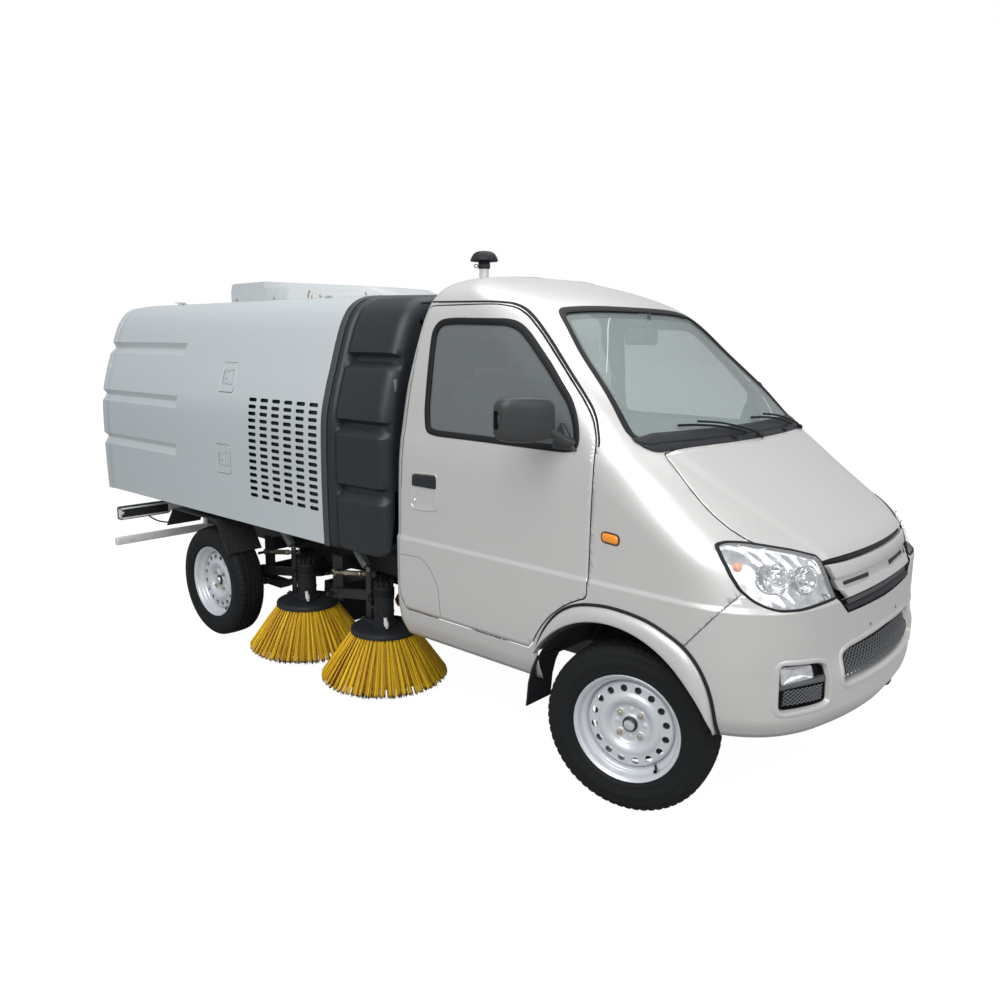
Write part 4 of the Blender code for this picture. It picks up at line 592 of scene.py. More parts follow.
screenEdge = resampled(roundedOutline(screenSide + [(-u, z) for u, z in screenSide[::-1]] + [(0.36, 1.262),
        (-0.36, 1.262)], screenRound + screenRound[::-1] + (0.2, 0.2), 6), 0.014)
hoodRear = [(0.06, 0.56), (0.078, 0.46), (0.098, 0.33), (0.112, 0.2), (0.118, 0.0)]
hoodSide = [(0.062, 0.572), (0.15, 0.594), (0.215, 0.604), (0.27, 0.605), (0.32, 0.598), (0.37, 0.58),
            (0.41, 0.552), (0.45, 0.508), (0.53, 0.39), (0.64, 0.385)]
hoodEdge = fromAxle(roundedOutline([(x, -y) for x, y in hoodRear[:0:-1] + hoodSide] + hoodSide[::-1]
                                   + hoodRear[1:-1], 0.012))
bumperEdge = fromAxle([(0.25, 0.656), (0.405, 0.848), (0.418, 0.862), (0.7, 0.862), (0.7, 0.33),
                       (0.25, 0.33)])
lampEdge = resampled(roundedOutline(
    [(-0.668, 0.99), (-0.64, 0.997), (-0.6, 0.994), (-0.554, 0.984), (-0.475, 0.965), (-0.397, 0.94),
     (-0.392, 0.9), (-0.384, 0.858), (-0.374, 0.811), (-0.475, 0.808), (-0.56, 0.8035), (-0.62, 0.806),
     (-0.648, 0.817), (-0.669, 0.835), (-0.684, 0.866), (-0.687, 0.91), (-0.682, 0.95)], 0.01, 5), 0.008)
grilleEdge = roundedOutline([(-0.402, 0.975), (-0.384, 0.86), (-0.374, 0.806), (-0.309, 0.75), (0.0, 0.745),
                             (0.309, 0.75), (0.374, 0.806), (0.384, 0.86), (0.402, 0.975)], 0.006)
middleOpening = resampled(roundedOutline([(-0.334, 0.62), (-0.29, 0.632), (0.0, 0.64), (0.29, 0.632),
                                          (0.334, 0.62), (0.344, 0.534), (0.316, 0.519), (0.0, 0.523),
                                          (-0.316, 0.519), (-0.344, 0.534)], 0.012, 5), 0.009)
fogOpening = resampled(roundedOutline([(-0.61, 0.633), (-0.465, 0.62), (-0.423, 0.604), (-0.415, 0.482),
                                       (-0.44, 0.476), (-0.59, 0.474), (-0.602, 0.49)], 0.014, 5), 0.007)


def flipped(outline):
    # the other side's outline, still running the same way round
    return np.asarray(outline)[::-1] * (-1, 1)


def inwards(curve, distance):
    # moves an open curve that runs anticlockwise towards its centre
    run = unit(np.gradient(curve, axis=0))
    return curve + np.stack([-run[:, 1], run[:, 0]], 1) * distance


def rightSide(place):
    return place[1] < 0


def leftSide(place):
    return place[1] > 0


def noseOnly(place):
    return place[0] > frontAxleX + 0.2


def hoodOnly(place):
    return place[0] > frontAxleX and 0.925 < place[2] < 1.245


def aroundHood(place):
    return place[0] > frontAxleX and 0.915 < place[2] < 1.245


def screenOnly(place):
    return frontAxleX - 0.6 < place[0] < frontAxleX + 0.25


def sheetPiece(mesh, name, body, replaced):
    # a painted panel 2.5 mm thick
    mesh.name = name
    return thickened(objectOf(mesh, "cabPaint", body, (replaced,), sharp=35), 0.0025)


skin = cabMesh("skin")
doors = {}
for name, side in sides.items():
    here = rightSide if side < 0 else leftSide
    door, _ = cutPanel(skin.copy(), doorEdge, "xz", here, True, False)
    skin = cutPanel(skin, offsetOutline(doorEdge, sealGap), "xz", here, False, True)[1]
    doors[name] = cutPanel(door, windowEdge, "xz", None, False, True)[1]
hoodMesh = cutPanel(skin.copy(), hoodEdge, "xy", hoodOnly, True, False)[0]
skin = cutPanel(skin, offsetOutline(hoodEdge, sealGap), "xy", aroundHood, False, True)[1]
skin = cutPanel(skin, screenEdge, "yz", screenOnly, False, True)[1]
for outline in (lampEdge, flipped(lampEdge), grilleEdge):
    skin = cutPanel(skin, outline, "yz", noseOnly, False, True)[1]
bumperMesh, skin = cutPanel(skin, bumperEdge, "xz")
archOuter = fromAxle(np.vstack([inwards(flareCurve, 0.016), [(-0.325, 0.25), (0.345, 0.25)]]))
for here in (rightSide, leftSide):
    skin = cutPanel(skin, archOuter, "xz", lambda p: here(p) and p[0] < frontAxleX + 0.7, False, True)[1]
    bumperMesh = cutPanel(bumperMesh, archOuter, "xz", here, False, True)[1]
for outline in (middleOpening, fogOpening, flipped(fogOpening)):
    bumperMesh = cutPanel(bumperMesh, outline, "yz", noseOnly, False, True)[1]
sheetPiece(skin, "cabSkin", "chassis", "cab_shell")
sheetPiece(bumperMesh, "bumperSkin", "chassis", "front_bumper")
hoodPiece = sheetPiece(hoodMesh, "hoodSkin", "hood", "hood")
for name in sides:
    sheetPiece(doors[name], f"doorSkin.{name}", f"door_{name}", f"door_{name}")
print("cab panels done")


def panelPoints(flat, out, view="nose", side=1):
    # a point of the flat drawing laid on the cab and moved out along the surface's normal
    flat, out = np.asarray(flat, float), np.asarray(out, float)
    u, z = flat[..., 0], flat[..., 1]
    e = 0.006
    place = onCab(u, z, view)
    du = (onCab(u + e, z, view) - onCab(u - e, z, view)) / (2 * e)
    dz = (onCab(u, z + e, view) - onCab(u, z - e, view)) / (2 * e)
    size = out / np.sqrt(1 + du ** 2 + dz ** 2)
    if view == "side":
        return np.stack([u - du * size, side * (place + size), z - dz * size], -1)
    return np.stack([place + size, u - du * size, z - dz * size], -1)


def ringsOn(name, outlines, outs, view="nose", side=1, capped=False):
    # rings of the same count, each laid on the cab at its own height
    grid = np.stack([panelPoints(o, np.full(len(o), h), view, side) for o, h in zip(outlines, outs)])
    points, count = grid.reshape(-1, 3), len(outlines[0])
    faces = gridFaces(len(outlines), count, False, True)
    if capped:
        ring = (len(outlines) - 1) * count + np.arange(count)
        last = np.tile(grid[-1].mean(0), (count, 1)) + 0.004 * (grid[-1] - grid[-1].mean(0))
        points = np.vstack([points, last])
        rim = len(points) - count + np.arange(count)
        faces = np.vstack([faces, np.stack([ring, np.roll(ring, -1), np.roll(rim, -1), rim], 1)])
    return cleaned(meshFrom(name, points, faces), 1e-6, outward=capped)


def offsets(outline, distances):
    return [offsetOutline(outline, d) for d in distances]


def shrunk(outline, shares):
    # copies drawn in towards the outline's middle
    middle = outline.mean(0)
    return [middle + s * (outline - middle) for s in shares]


def stripOn(name, line, width, outs, view="nose", side=1):
    # a moulding along a drawn line: heights at even places across its width
    line = np.asarray(line, float)
    run = unit(np.gradient(line, axis=0))
    across = np.stack([run[:, 1], -run[:, 0]], 1)
    at = np.linspace(-0.5, 0.5, len(outs)) * width
    grid = np.stack([panelPoints(line + across * a, np.full(len(line), o), view, side) for a,
                     o in zip(at, outs)], 1)
    return cleaned(gridMesh(name, grid, False, True), 1e-6)


def rods(name, starts, ends, radius):
    # straight four-sided prisms between two lists of places
    count = 4
    a, b = np.asarray(starts, float), np.asarray(ends, float)
    along = unit(b - a)
    side = unit(np.cross(along, (1.0, 0.02, 0.0)))
    up = np.cross(along, side)
    ring = circle(radius, count)
    off = ring[None, :, :1] * side[:, None] + ring[None, :, 1:] * up[:, None]
    grid = np.stack([a[:, None] + off, b[:, None] + off], 1)
    one = gridFaces(2, count, False, True)
    faces = (one[None] + np.arange(len(a))[:, None, None] * 2 * count).reshape(-1, 4)
    return meshFrom(name, grid, faces)


def lattice(name, outline, pitch, height, depth, radius):
    # slanted rods crossing in diamonds, kept where both ends lie inside the outline
    low, high = outline.min(0), outline.max(0)
    u, z = np.meshgrid(np.arange(low[0], high[0], pitch), np.arange(low[1], high[1], height))
    starts, ends = [], []
    for way in (1, -1):
        a = np.stack([u.ravel(), z.ravel()], 1)
        b = a + (way * pitch, height)
        keep = insideOutline(a, outline) & insideOutline(b, outline)
        starts.append(a[keep])
        ends.append(b[keep])
    a, b = np.vstack(starts), np.vstack(ends)
    out = np.full(len(a), depth)
    return rods(name, panelPoints(a, out), panelPoints(b, out), radius)


def backPlate(name, outline, depth):
    # a closed plate behind an opening; in a dark finish it paints the shade inside the opening
    return ringsOn(name, shrunk(outline, (1.0, 0.75, 0.5, 0.25, 0.05)), (depth,) * 5, capped=True)


def pushed(mesh, rule):
    # moves each vertex along its own normal by the rule's distance
    count = len(mesh.vertices)
    points, normals = np.empty(count * 3), np.empty(count * 3)
    mesh.vertices.foreach_get("co", points)
    mesh.vertices.foreach_get("normal", normals)
    points, normals = points.reshape(-1, 3), normals.reshape(-1, 3)
    normals *= np.sign((normals * (1.0, 0.0, 1.0)).sum(1, keepdims=True) + 1e-9)
    points += normals * rule(points)[:, None]
    mesh.vertices.foreach_set("co", points.ravel())
    mesh.update()


def hoodRise(points):
    # the middle of the hood stands a little proud, behind a crease that runs in towards the nose
    x, y = points[:, 0] - frontAxleX, np.abs(points[:, 1])
    crease = 0.545 - (x - 0.05) * (0.545 - 0.375) / 0.47
    share = np.clip((crease - y) / 0.02 + 0.5, 0, 1)
    return 0.008 * share * share * (3 - 2 * share)


pushed(hoodPiece.data, hoodRise)
glassSkin = cabMesh("glassSkin", 96, 0.006)
for name, side in sides.items():
    here = rightSide if side < 0 else leftSide
    pane, glassSkin = cutPanel(glassSkin, offsetOutline(windowEdge, -0.003), "xz", here)
    pane.name = f"doorPane.{name}"
    thickened(objectOf(pane, "sideGlass", f"door_{name}", replaced=(f"door_glass_{name}",), sharp=0),
              0.0035)
    outlines = offsets(windowRim, (0.0002, -0.0004, -0.004, -0.012, -0.019, -0.0235, -0.024))
    rubber = ringsOn(f"windowRubber.{name}", outlines, (-0.002, 0.0022, 0.0042, 0.004, 0.0022, -0.0006,
            -0.007), "side", side)
    objectOf(rubber, "sealRubber", f"door_{name}")
screen = cutPanel(glassSkin, offsetOutline(screenEdge, -0.002), "yz", screenOnly, True, False)[0]
screen.name = "screenPane"
thickened(objectOf(screen, "glass", replaced=("windscreen",), sharp=0), 0.0045)
outlines = offsets(screenEdge, (0.007, 0.0062, 0.002, -0.006, -0.0115, -0.012))
objectOf(ringsOn("screenRubber", outlines, (-0.002, 0.0022, 0.0034, 0.003, 0.0008, -0.007)),
         "sealRubber")
band = offsets(screenEdge, (-0.01, -0.03))
objectOf(ringsOn("screenBand", band, (-0.0102, -0.0102)), "sealRubber")
print("glass done")


def makeFlare(name, side):
    # the lip blends from the flare's outer curve to the arch, its height over the cab following one profile
    steps = 90
    outer = resampled(inwards(flareCurve, 0.0115), 0.0001, False)
    outer = fromAxle(outer[np.linspace(0, len(outer) - 1, steps).astype(int)])
    b = np.radians(np.linspace(14, 148.5, steps))
    inner = fromAxle(np.array((-0.008, 0.303)) + polar(0.374, b))
    profile = ((-0.01, -0.004), (0.0, 0.003), (0.05, 0.0085), (0.16, 0.015), (0.4, 0.0205), (0.7, 0.0238),
               (0.9, 0.0238), (0.96, 0.0225), (0.99, 0.019), (1.0, 0.013), (1.0, -0.03))
    grid = []
    for v, out in profile:
        flat = outer + (inner - outer) * v
        y = onCab(np.minimum(flat[:, 0], frontAxleX + 0.43), np.maximum(flat[:, 1], 0.4), "side") + out
        grid.append(np.stack([flat[:, 0], side * y, flat[:, 1]], 1))
    grid = np.stack(grid, 1)
    mesh = cleaned(gridMesh(f"flareLip.{name}", grid), 1e-6, False)
    thickened(objectOf(mesh, "cabPaint", sharp=50), 0.0022, 0)
    line = fromAxle(inwards(flareCurve, 0.0065))
    objectOf(stripOn(f"flareRubber.{name}", line, 0.0135, (-0.003, 0.005, 0.0072, 0.0072, 0.005, -0.003),
                     "side", side), "sealRubber")
    turn = np.radians(np.linspace(16, 156, 60))
    arc = fromAxle(np.array(flare["archCentre"]) + polar(0.3695, turn))
    deep = np.array((0.742, 0.736, 0.6, 0.5, 0.42, 0.398, 0.392))
    rise = np.array((0.0, 0.0, 0.0, 0.0, 0.0, -0.006, -0.02))
    tilt = polar(rise, turn[:, None])
    grid = placed(arc[:, :1] + tilt[..., 0], side * deep, arc[:, 1:] + tilt[..., 1])
    limit = onCab(np.minimum(grid[..., 0], frontAxleX + 0.5), np.maximum(grid[..., 2], 0.42),
                  "side") - 0.002
    grid[..., 1] = side * np.minimum(np.abs(grid[..., 1]), limit)
    liner = gridMesh("liner", grid)
    wall = np.vstack([grid[:, -1], [[frontAxleX, side * 0.392, 0.5]]])
    count = len(arc)
    tri = np.stack([np.arange(count - 1), np.arange(1, count), np.full(count - 1, count)], 1)
    made = objectOf(joinedMesh(f"wheelLiner.{name}", [liner, meshFrom("wall", wall, tri)]), "blackPlastic",
                    sharp=40)
    thickened(made, 0.003, 0)


def makeMirror(name, side):
    # rows across the mirror are rounded squares: outwards place, depth, half depth, lower and upper edge
    rows = np.array(((0.772, -0.262, 0.01, 1.318, 1.362), (0.774, -0.262, 0.019, 1.3, 1.382),
                     (0.78, -0.264, 0.025, 1.284, 1.404), (0.8, -0.271, 0.034, 1.277, 1.414),
                     (0.83, -0.285, 0.042, 1.272, 1.4205), (0.87, -0.303, 0.046, 1.27, 1.424),
                     (0.905, -0.32, 0.044, 1.272, 1.4225), (0.932, -0.334, 0.0395, 1.276, 1.4185),
                     (0.948, -0.342, 0.032, 1.285, 1.409), (0.9555, -0.346, 0.022, 1.298, 1.395),
                     (0.9575, -0.347, 0.012, 1.315, 1.378)))
    at = np.linspace(0, len(rows) - 1, 44)
    rows = monotone(np.arange(len(rows), dtype=float), rows, at)
    count, power = 56, 0.52
    t = np.arange(count) * tau / count
    shapeX, shapeZ = (np.sign(c) * np.abs(c) ** power for c in (np.cos(t), np.sin(t)))
    y, x, half, low, high = (rows[:, i:i + 1] for i in range(5))
    grid = placed(frontAxleX + x + half * np.where(shapeX < 0, 0.62, 1.0) * shapeX, side * y,
                  (low + high) / 2 + (high - low) / 2 * shapeZ)
    points, faces = grid.reshape(-1, 3), gridFaces(len(rows), count, False, True)
    for row in (0, len(rows) - 1):
        points, faces = fanned(points, faces, row * count + np.arange(count), grid[row].mean(0))
    body = cleaned(meshFrom("body", points, faces), 1e-6)
    neck = tube("neck",
                smoothPath([(frontAxleX - 0.212, side * 0.712, 1.262),
                            (frontAxleX - 0.226, side * 0.738, 1.272),
                            (frontAxleX - 0.246, side * 0.772, 1.296),
                            (frontAxleX - 0.262, side * 0.8, 1.318)], 10), 0.0175, 20)
    foot = fromAxle(roundedOutline([(-0.186, 1.236), (-0.3, 1.236), (-0.262, 1.342)], (0.012, 0.02, 0.03)))
    base = ringsOn("base",
                   [foot, offsetOutline(foot, -0.002), offsetOutline(foot, -0.008)]
                   + shrunk(offsetOutline(foot, -0.008), (0.6, 0.2)), (0.001, 0.01, 0.0135, 0.0145, 0.015),
                   "side", side, True)
    objectOf(joinedMesh(f"mirrorHousing.{name}", [body, neck, base]), "mirrorPlastic", f"door_{name}",
             replaced=(f"mirror_{name}",), sharp=40)
    inner, outer = (frontAxleX - 0.2965, side * 0.792), (frontAxleX - 0.36, side * 0.938)
    corners = [(*inner, 1.292), (*outer, 1.292), (*outer, 1.402), (*inner, 1.402)]
    glassFace = meshFrom(f"mirrorGlass.{name}", corners, [(0, 1, 2, 3)])
    thickened(objectOf(glassFace, "chrome", f"door_{name}", sharp=0), 0.002, 0)


def makeDoorTrim(name, side):
    # handle pocket and grip, key, drip rail, side repeater and filler lid, each laid on the cab
    body = f"door_{name}"
    pocket = fromAxle(roundedOutline([(-0.996, 0.932), (-0.849, 0.94), (-0.849, 1.084), (-0.996, 1.078)],
                                     (0.035, 0.02, 0.02, 0.02), 8))
    rim = ringsOn("rim", offsets(pocket, (0.004, 0.003, 0.0, -0.003)), (-0.001, 0.003, 0.0042, 0.0006),
                  "side", side)
    dish = ringsOn("dish", [offsetOutline(pocket, -0.003)] + shrunk(offsetOutline(pocket, -0.006),
            (1.0, 0.6, 0.2)), (0.001, 0.0004, 0.0004, 0.0004), "side", side, True)
    objectOf(joinedMesh(f"handleRim.{name}", [rim, dish]), "cabPaint", body, sharp=35)
    grip = fromAxle(roundedOutline([(-0.99, 1.026), (-0.855, 1.026), (-0.855, 1.079), (-0.99, 1.074)],
                                   (0.008, 0.008, 0.018, 0.018), 6))
    flap = ringsOn(f"handleGrip.{name}",
                   [grip, offsetOutline(grip, -0.001), offsetOutline(grip, -0.005)]
                   + shrunk(offsetOutline(grip, -0.005), (0.6, 0.2)), (0.0, 0.0045, 0.0062, 0.0068, 0.007),
                   "side", side, True)
    objectOf(flap, "blackPlastic", body, sharp=40)
    key = panelPoints(fromAxle(np.array([[-0.98, 0.966]])), [0.001], "side", side)[0]
    objectOf(lathe(f"doorKey.{name}", [(0.0, 0.0015), (0.0022, 0.0015), (0.0026, 0.0036), (0.0078, 0.0034),
                                       (0.0095, 0.0018), (0.0095, 0.0)], key, (0, side, 0.03), 28),
             "chrome", body)
    rail = fromAxle(smoothPath([(-1.07, 1.755), (-1.0, 1.7555), (-0.8, 1.752), (-0.64, 1.748),
                                (-0.566, 1.736), (-0.501, 1.7015), (-0.428, 1.641), (-0.318, 1.533),
                                (-0.199, 1.416), (-0.149, 1.354), (-0.118, 1.285), (-0.112, 1.258)], 10))
    objectOf(stripOn(f"dripRail.{name}", rail, 0.0095, (-0.002, 0.0026, 0.0034, 0.0026, -0.002), "side",
                     side), "sealRubber")
    lamp = fromAxle(roundedOutline([(-0.066, 0.949), (0.0, 0.944), (0.0, 0.976), (-0.066, 0.981)], 0.015,
                                   6))
    lens = ringsOn(f"repeaterLens.{name}",
                   offsets(lamp, (0.0, -0.0015, -0.006)) + shrunk(offsetOutline(lamp, -0.006), (0.6, 0.2)),
                   (0.0, 0.0048, 0.0078, 0.0088, 0.009), "side", side, True)
    objectOf(lens, "amber")
    ring = ringsOn(f"repeaterRing.{name}", offsets(lamp, (0.0042, 0.0036, 0.0004)), (-0.001, 0.0022, 0.003),
                   "side", side)
    objectOf(ring, "sealRubber")
    lid = fromAxle(smoothPath([(-1.058, 0.731), (-0.99, 0.735), (-0.929, 0.733), (-0.88, 0.697),
                               (-0.84, 0.64), (-0.829, 0.585), (-0.825, 0.512)], 12))
    objectOf(stripOn(f"fillerSeam.{name}", lid, 0.003, (-0.001, 0.0005, 0.0005, -0.001), "side", side),
             "sealRubber", f"door_{name}")


for name, side in sides.items():
    seam = fromAxle(np.array((0.258, 0.666)) + np.linspace(0, 1, 24)[:, None] * (0.147, 0.182))
    objectOf(stripOn(f"bumperSeam.{name}", seam, 0.0032, (-0.001, 0.0007, 0.0007, -0.001), "side", side),
             "sealRubber")
    makeFlare(name, side)
    makeMirror(name, side)
    makeDoorTrim(name, side)
print("sides done")


def lipHeight(y):
    # the hood's front edge rises towards the lamps by a fourth power
    return 0.9315 + 0.013 * (np.asarray(y) / 0.38) ** 4


def makeGrille():
    # rows fall from the upper bar to the lower bar, narrowing by a power of the fall
    y = np.linspace(-1, 1, 121)
    rows = ((0.0, -0.03), (0.0, -0.006), (0.012, 0.002), (0.07, 0.005), (0.38, 0.004), (0.43, 0.0005),
            (0.45, -0.006), (0.6, -0.0062), (0.72, -0.006), (0.745, -0.0005), (0.765, 0.005),
            (0.93, 0.0052), (0.99, 0.003), (1.0, -0.004), (1.0, -0.03))
    grid = []
    for fall, out in rows:
        half = 0.378 - 0.068 * fall ** 1.3
        yy = y * half
        top = 0.9045 + 0.006 * (yy / 0.36) ** 4
        z = top + (0.801 - top) * fall
        lean = np.where(np.abs(y) > 0.985, -0.012, 0.0)
        grid.append(panelPoints(np.stack([yy, z], 1), out + lean))
    grid = np.stack(grid)
    mesh = cleaned(gridMesh("grilleBars", grid), 1e-6, False)
    thickened(objectOf(mesh, "cabPaint", replaced=("grille",), sharp=30), 0.002, 0)
    darks = []
    for side in (1, -1):
        slot = roundedOutline([(side * 0.107, 0.832), (side * 0.297, 0.8365), (side * 0.297, 0.8475),
                               (side * 0.107, 0.845)], 0.003, 4)
        darks.append(ringsOn("slot", [slot] + shrunk(slot, (0.98, 0.5, 0.1)),
                             (-0.007, -0.002, -0.002, -0.002), capped=True))
    yy = np.linspace(-0.396, 0.396, 90)
    darks.append(stripOn("band", np.stack([yy, lipHeight(yy) - 0.015], 1), 0.024,
                         (-0.014, -0.006, -0.005, -0.006, -0.014)))
    lip = placed(yy * 0.785, 0.7635)
    darks.append(stripOn("lip", lip, 0.024, (-0.016, -0.0075, 0.0005, 0.0015, -0.01)))
    objectOf(joinedMesh("grilleDark", darks), "blackPlastic", sharp=35)
    # a dark plate behind the grille opening paints the shade inside it, and the black gap between lamp and
    # grille
    objectOf(backPlate("grilleShadePlate", resampled(offsetOutline(resampled(grilleEdge, 0.02), 0.004), 0.02),
                       -0.024), "sealRubber")
    strip = roundedOutline([(-0.305, 0.8), (-0.305, 0.776), (0.305, 0.776), (0.305, 0.8)], 0.002, 6)
    objectOf(lattice("grilleMesh", strip, 0.012, 0.0085, -0.009, 0.0016), "meshPlastic")


def makeLamp(name, side):
    # a reflector drawn in from the edge, with two dished bowls, bulbs and a clear lens
    edge = lampEdge if side < 0 else flipped(lampEdge)
    gasket = ringsOn(f"lampGasket.{name}", offsets(edge, (0.003, 0.0026, 0.0, -0.003, -0.0045, -0.0045)),
                     (-0.002, 0.0022, 0.0034, 0.0032, 0.0005, -0.006))
    objectOf(gasket, "sealRubber")
    inner = offsetOutline(edge, -0.004)
    lens = ringsOn(f"lampLens.{name}", shrunk(inner, np.linspace(1, 0.02, 14)), (0.0022,) * 14, capped=True)
    objectOf(lens, "lens", replaced=(f"headlamp_{name}",), sharp=0)
    shares = np.linspace(1.0, 0.02, 40)
    rings = np.stack(shrunk(resampled(inner, 0.006), shares))
    bowls = ((0.583, 0.897, 0.045), (0.474, 0.884, 0.042))
    depth = -0.012 - 0.022 * (1 - shares[:, None]) ** 0.6
    depth = depth - 0.0012 * np.abs(np.sin(rings[..., 0] * 75 + rings[..., 1] * 30))
    for y, z, radius in bowls:
        away = np.hypot(np.abs(rings[..., 0]) - y, rings[..., 1] - z)
        dish = -0.062 + 0.046 * (away / radius) ** 2
        depth = np.where(away < radius, dish, depth)
    reflector = gridMesh(f"lampReflector.{name}", panelPoints(rings, depth), False, True)
    # the reflector's mottled chrome carries painted reflections
    objectOf(reflector, "lampChrome", sharp=35)
    parts = []
    for y, z, radius in bowls:
        centre = panelPoints(np.array([[side * y, z]]), [-0.011])[0]
        ahead = (0.93, side * 0.32, 0.12)
        parts.append(lathe("ring", [(radius, -0.004), (radius + 0.0022, -0.002), (radius + 0.0024, 0.002),
                                    (radius + 0.0004, 0.0035), (radius - 0.0022, 0.001),
                                    (radius - 0.0022, -0.004)], centre, ahead, 56, True))
        parts.append(lathe("bulb", [(0.0, 0.01), (0.008, 0.009), (0.0125, 0.004), (0.0135, -0.004),
                                    (0.012, -0.016), (0.0, -0.018)], centre - 0.012 * unit(ahead), ahead,
                           28))
    objectOf(joinedMesh(f"lampRings.{name}", parts), "chrome", sharp=35)
    amber = panelPoints(np.array([[side * 0.66, 0.935]]), [-0.022])[0]
    bulb = lathe(f"turnBulb.{name}", [(0.0, 0.018), (0.006, 0.0165), (0.0115, 0.012), (0.0155, 0.004),
                                      (0.0155, -0.01), (0.0, -0.012)], amber, (0.6, side * 0.8, 0.1), 26)
    objectOf(bulb, "amber")


def makeFog(name, side):
    # a bevelled recess with a small lamp above and a mesh below, over a dark well of painted shade
    edge = fogOpening if side < 0 else flipped(fogOpening)
    rings = offsets(edge, (0.018, 0.014, 0.008, 0.002, -0.001, -0.004, -0.0055))
    bevel = ringsOn(f"fogBevel.{name}", rings, (-0.0005, 0.0028, 0.0042, 0.0022, -0.004, -0.014, -0.03))
    objectOf(bevel, "cabPaint", sharp=40)
    # the black well paints the shade deep in the pocket
    well = [offsetOutline(edge, -0.0052)] + shrunk(offsetOutline(edge, -0.006), (1.0, 0.96, 0.5, 0.1))
    objectOf(ringsOn(f"fogShadeWell.{name}", well, (-0.012, -0.032, -0.034, -0.034, -0.034), capped=True),
             "sealRubber")
    top = roundedOutline([(side * 0.474, 0.57), (side * 0.592, 0.558), (side * 0.6, 0.619),
                          (side * 0.48, 0.612)], 0.01, 8)
    if side > 0:
        top = top[::-1]
    bowl = ringsOn(f"fogReflector.{name}", shrunk(top, (1.0, 0.9, 0.7, 0.5, 0.3, 0.1)),
                   (-0.016, -0.019, -0.024, -0.028, -0.03, -0.031), capped=True)
    # the fog reflector's mottled chrome carries painted reflections
    objectOf(bowl, "lampChrome", sharp=20)
    front = ringsOn(f"fogLens.{name}", shrunk(top, (1.03, 1.0, 0.9, 0.6, 0.3, 0.05)),
                    (-0.02, -0.0125, -0.0105, -0.009, -0.0085, -0.0085), capped=True)
    objectOf(front, "lens")
    low = roundedOutline([(side * 0.422, 0.482), (side * 0.596, 0.48), (side * 0.602, 0.548),
                          (side * 0.42, 0.552)], 0.012, 6)
    mesh = lattice("mesh", low, 0.0165, 0.0125, -0.013, 0.0023)
    bar = roundedOutline([(side * 0.418, 0.549), (side * 0.604, 0.545), (side * 0.606, 0.56),
                          (side * 0.419, 0.572)], 0.003, 5)
    if side > 0:
        bar = bar[::-1]
    shelf = ringsOn("shelf", [bar] + shrunk(bar, (0.97, 0.5, 0.1)), (-0.02, -0.01, -0.01, -0.01),
                    capped=True)
    objectOf(joinedMesh(f"fogMesh.{name}", [mesh, shelf]), "meshPlastic")


def makeBumperMiddle():
    # the middle recess with its mesh over a dark plate of painted shade, the plate holes as dark dots of
    # painted shade, and the tow hook
    rings = offsets(middleOpening, (0.02, 0.015, 0.009, 0.002, -0.001, -0.004, -0.007))
    bevel = ringsOn("bumperFrame", rings, (-0.0005, 0.003, 0.0045, 0.0025, -0.004, -0.016, -0.03))
    objectOf(bevel, "cabPaint", sharp=40)
    # the dark plate behind the mesh paints the shade deep in the recess
    objectOf(backPlate("bumperShadeWell", offsetOutline(middleOpening, 0.0), -0.042), "sealRubber")
    inner = offsetOutline(middleOpening, -0.007)
    objectOf(lattice("bumperMesh", inner, 0.023, 0.0155, -0.014, 0.0031), "meshPlastic",
             replaced=("lower_grille",))
    # dark dots laid on the bumper paint the shade in the plate holes
    holes = []
    for y in (0.131, -0.131):
        dot = circle(0.0052, 18) * (0.8, 1.25) + (y, 0.674)
        holes.append(ringsOn("hole", [dot] + shrunk(dot, (0.9, 0.4)), (-0.001, 0.0007, 0.0007),
                             capped=True))
    objectOf(joinedMesh("plateHoleShade", holes), "sealRubber")
    t = np.linspace(-0.35 * math.pi, 1.35 * math.pi, 30)
    loop = placed(frontAxleX + 0.612 + 0.019 * np.cos(t), 0.1, 0.412 - 0.024 * np.sin(t))
    objectOf(tube("towHook", loop, 0.0052, 12), "blackSteel")


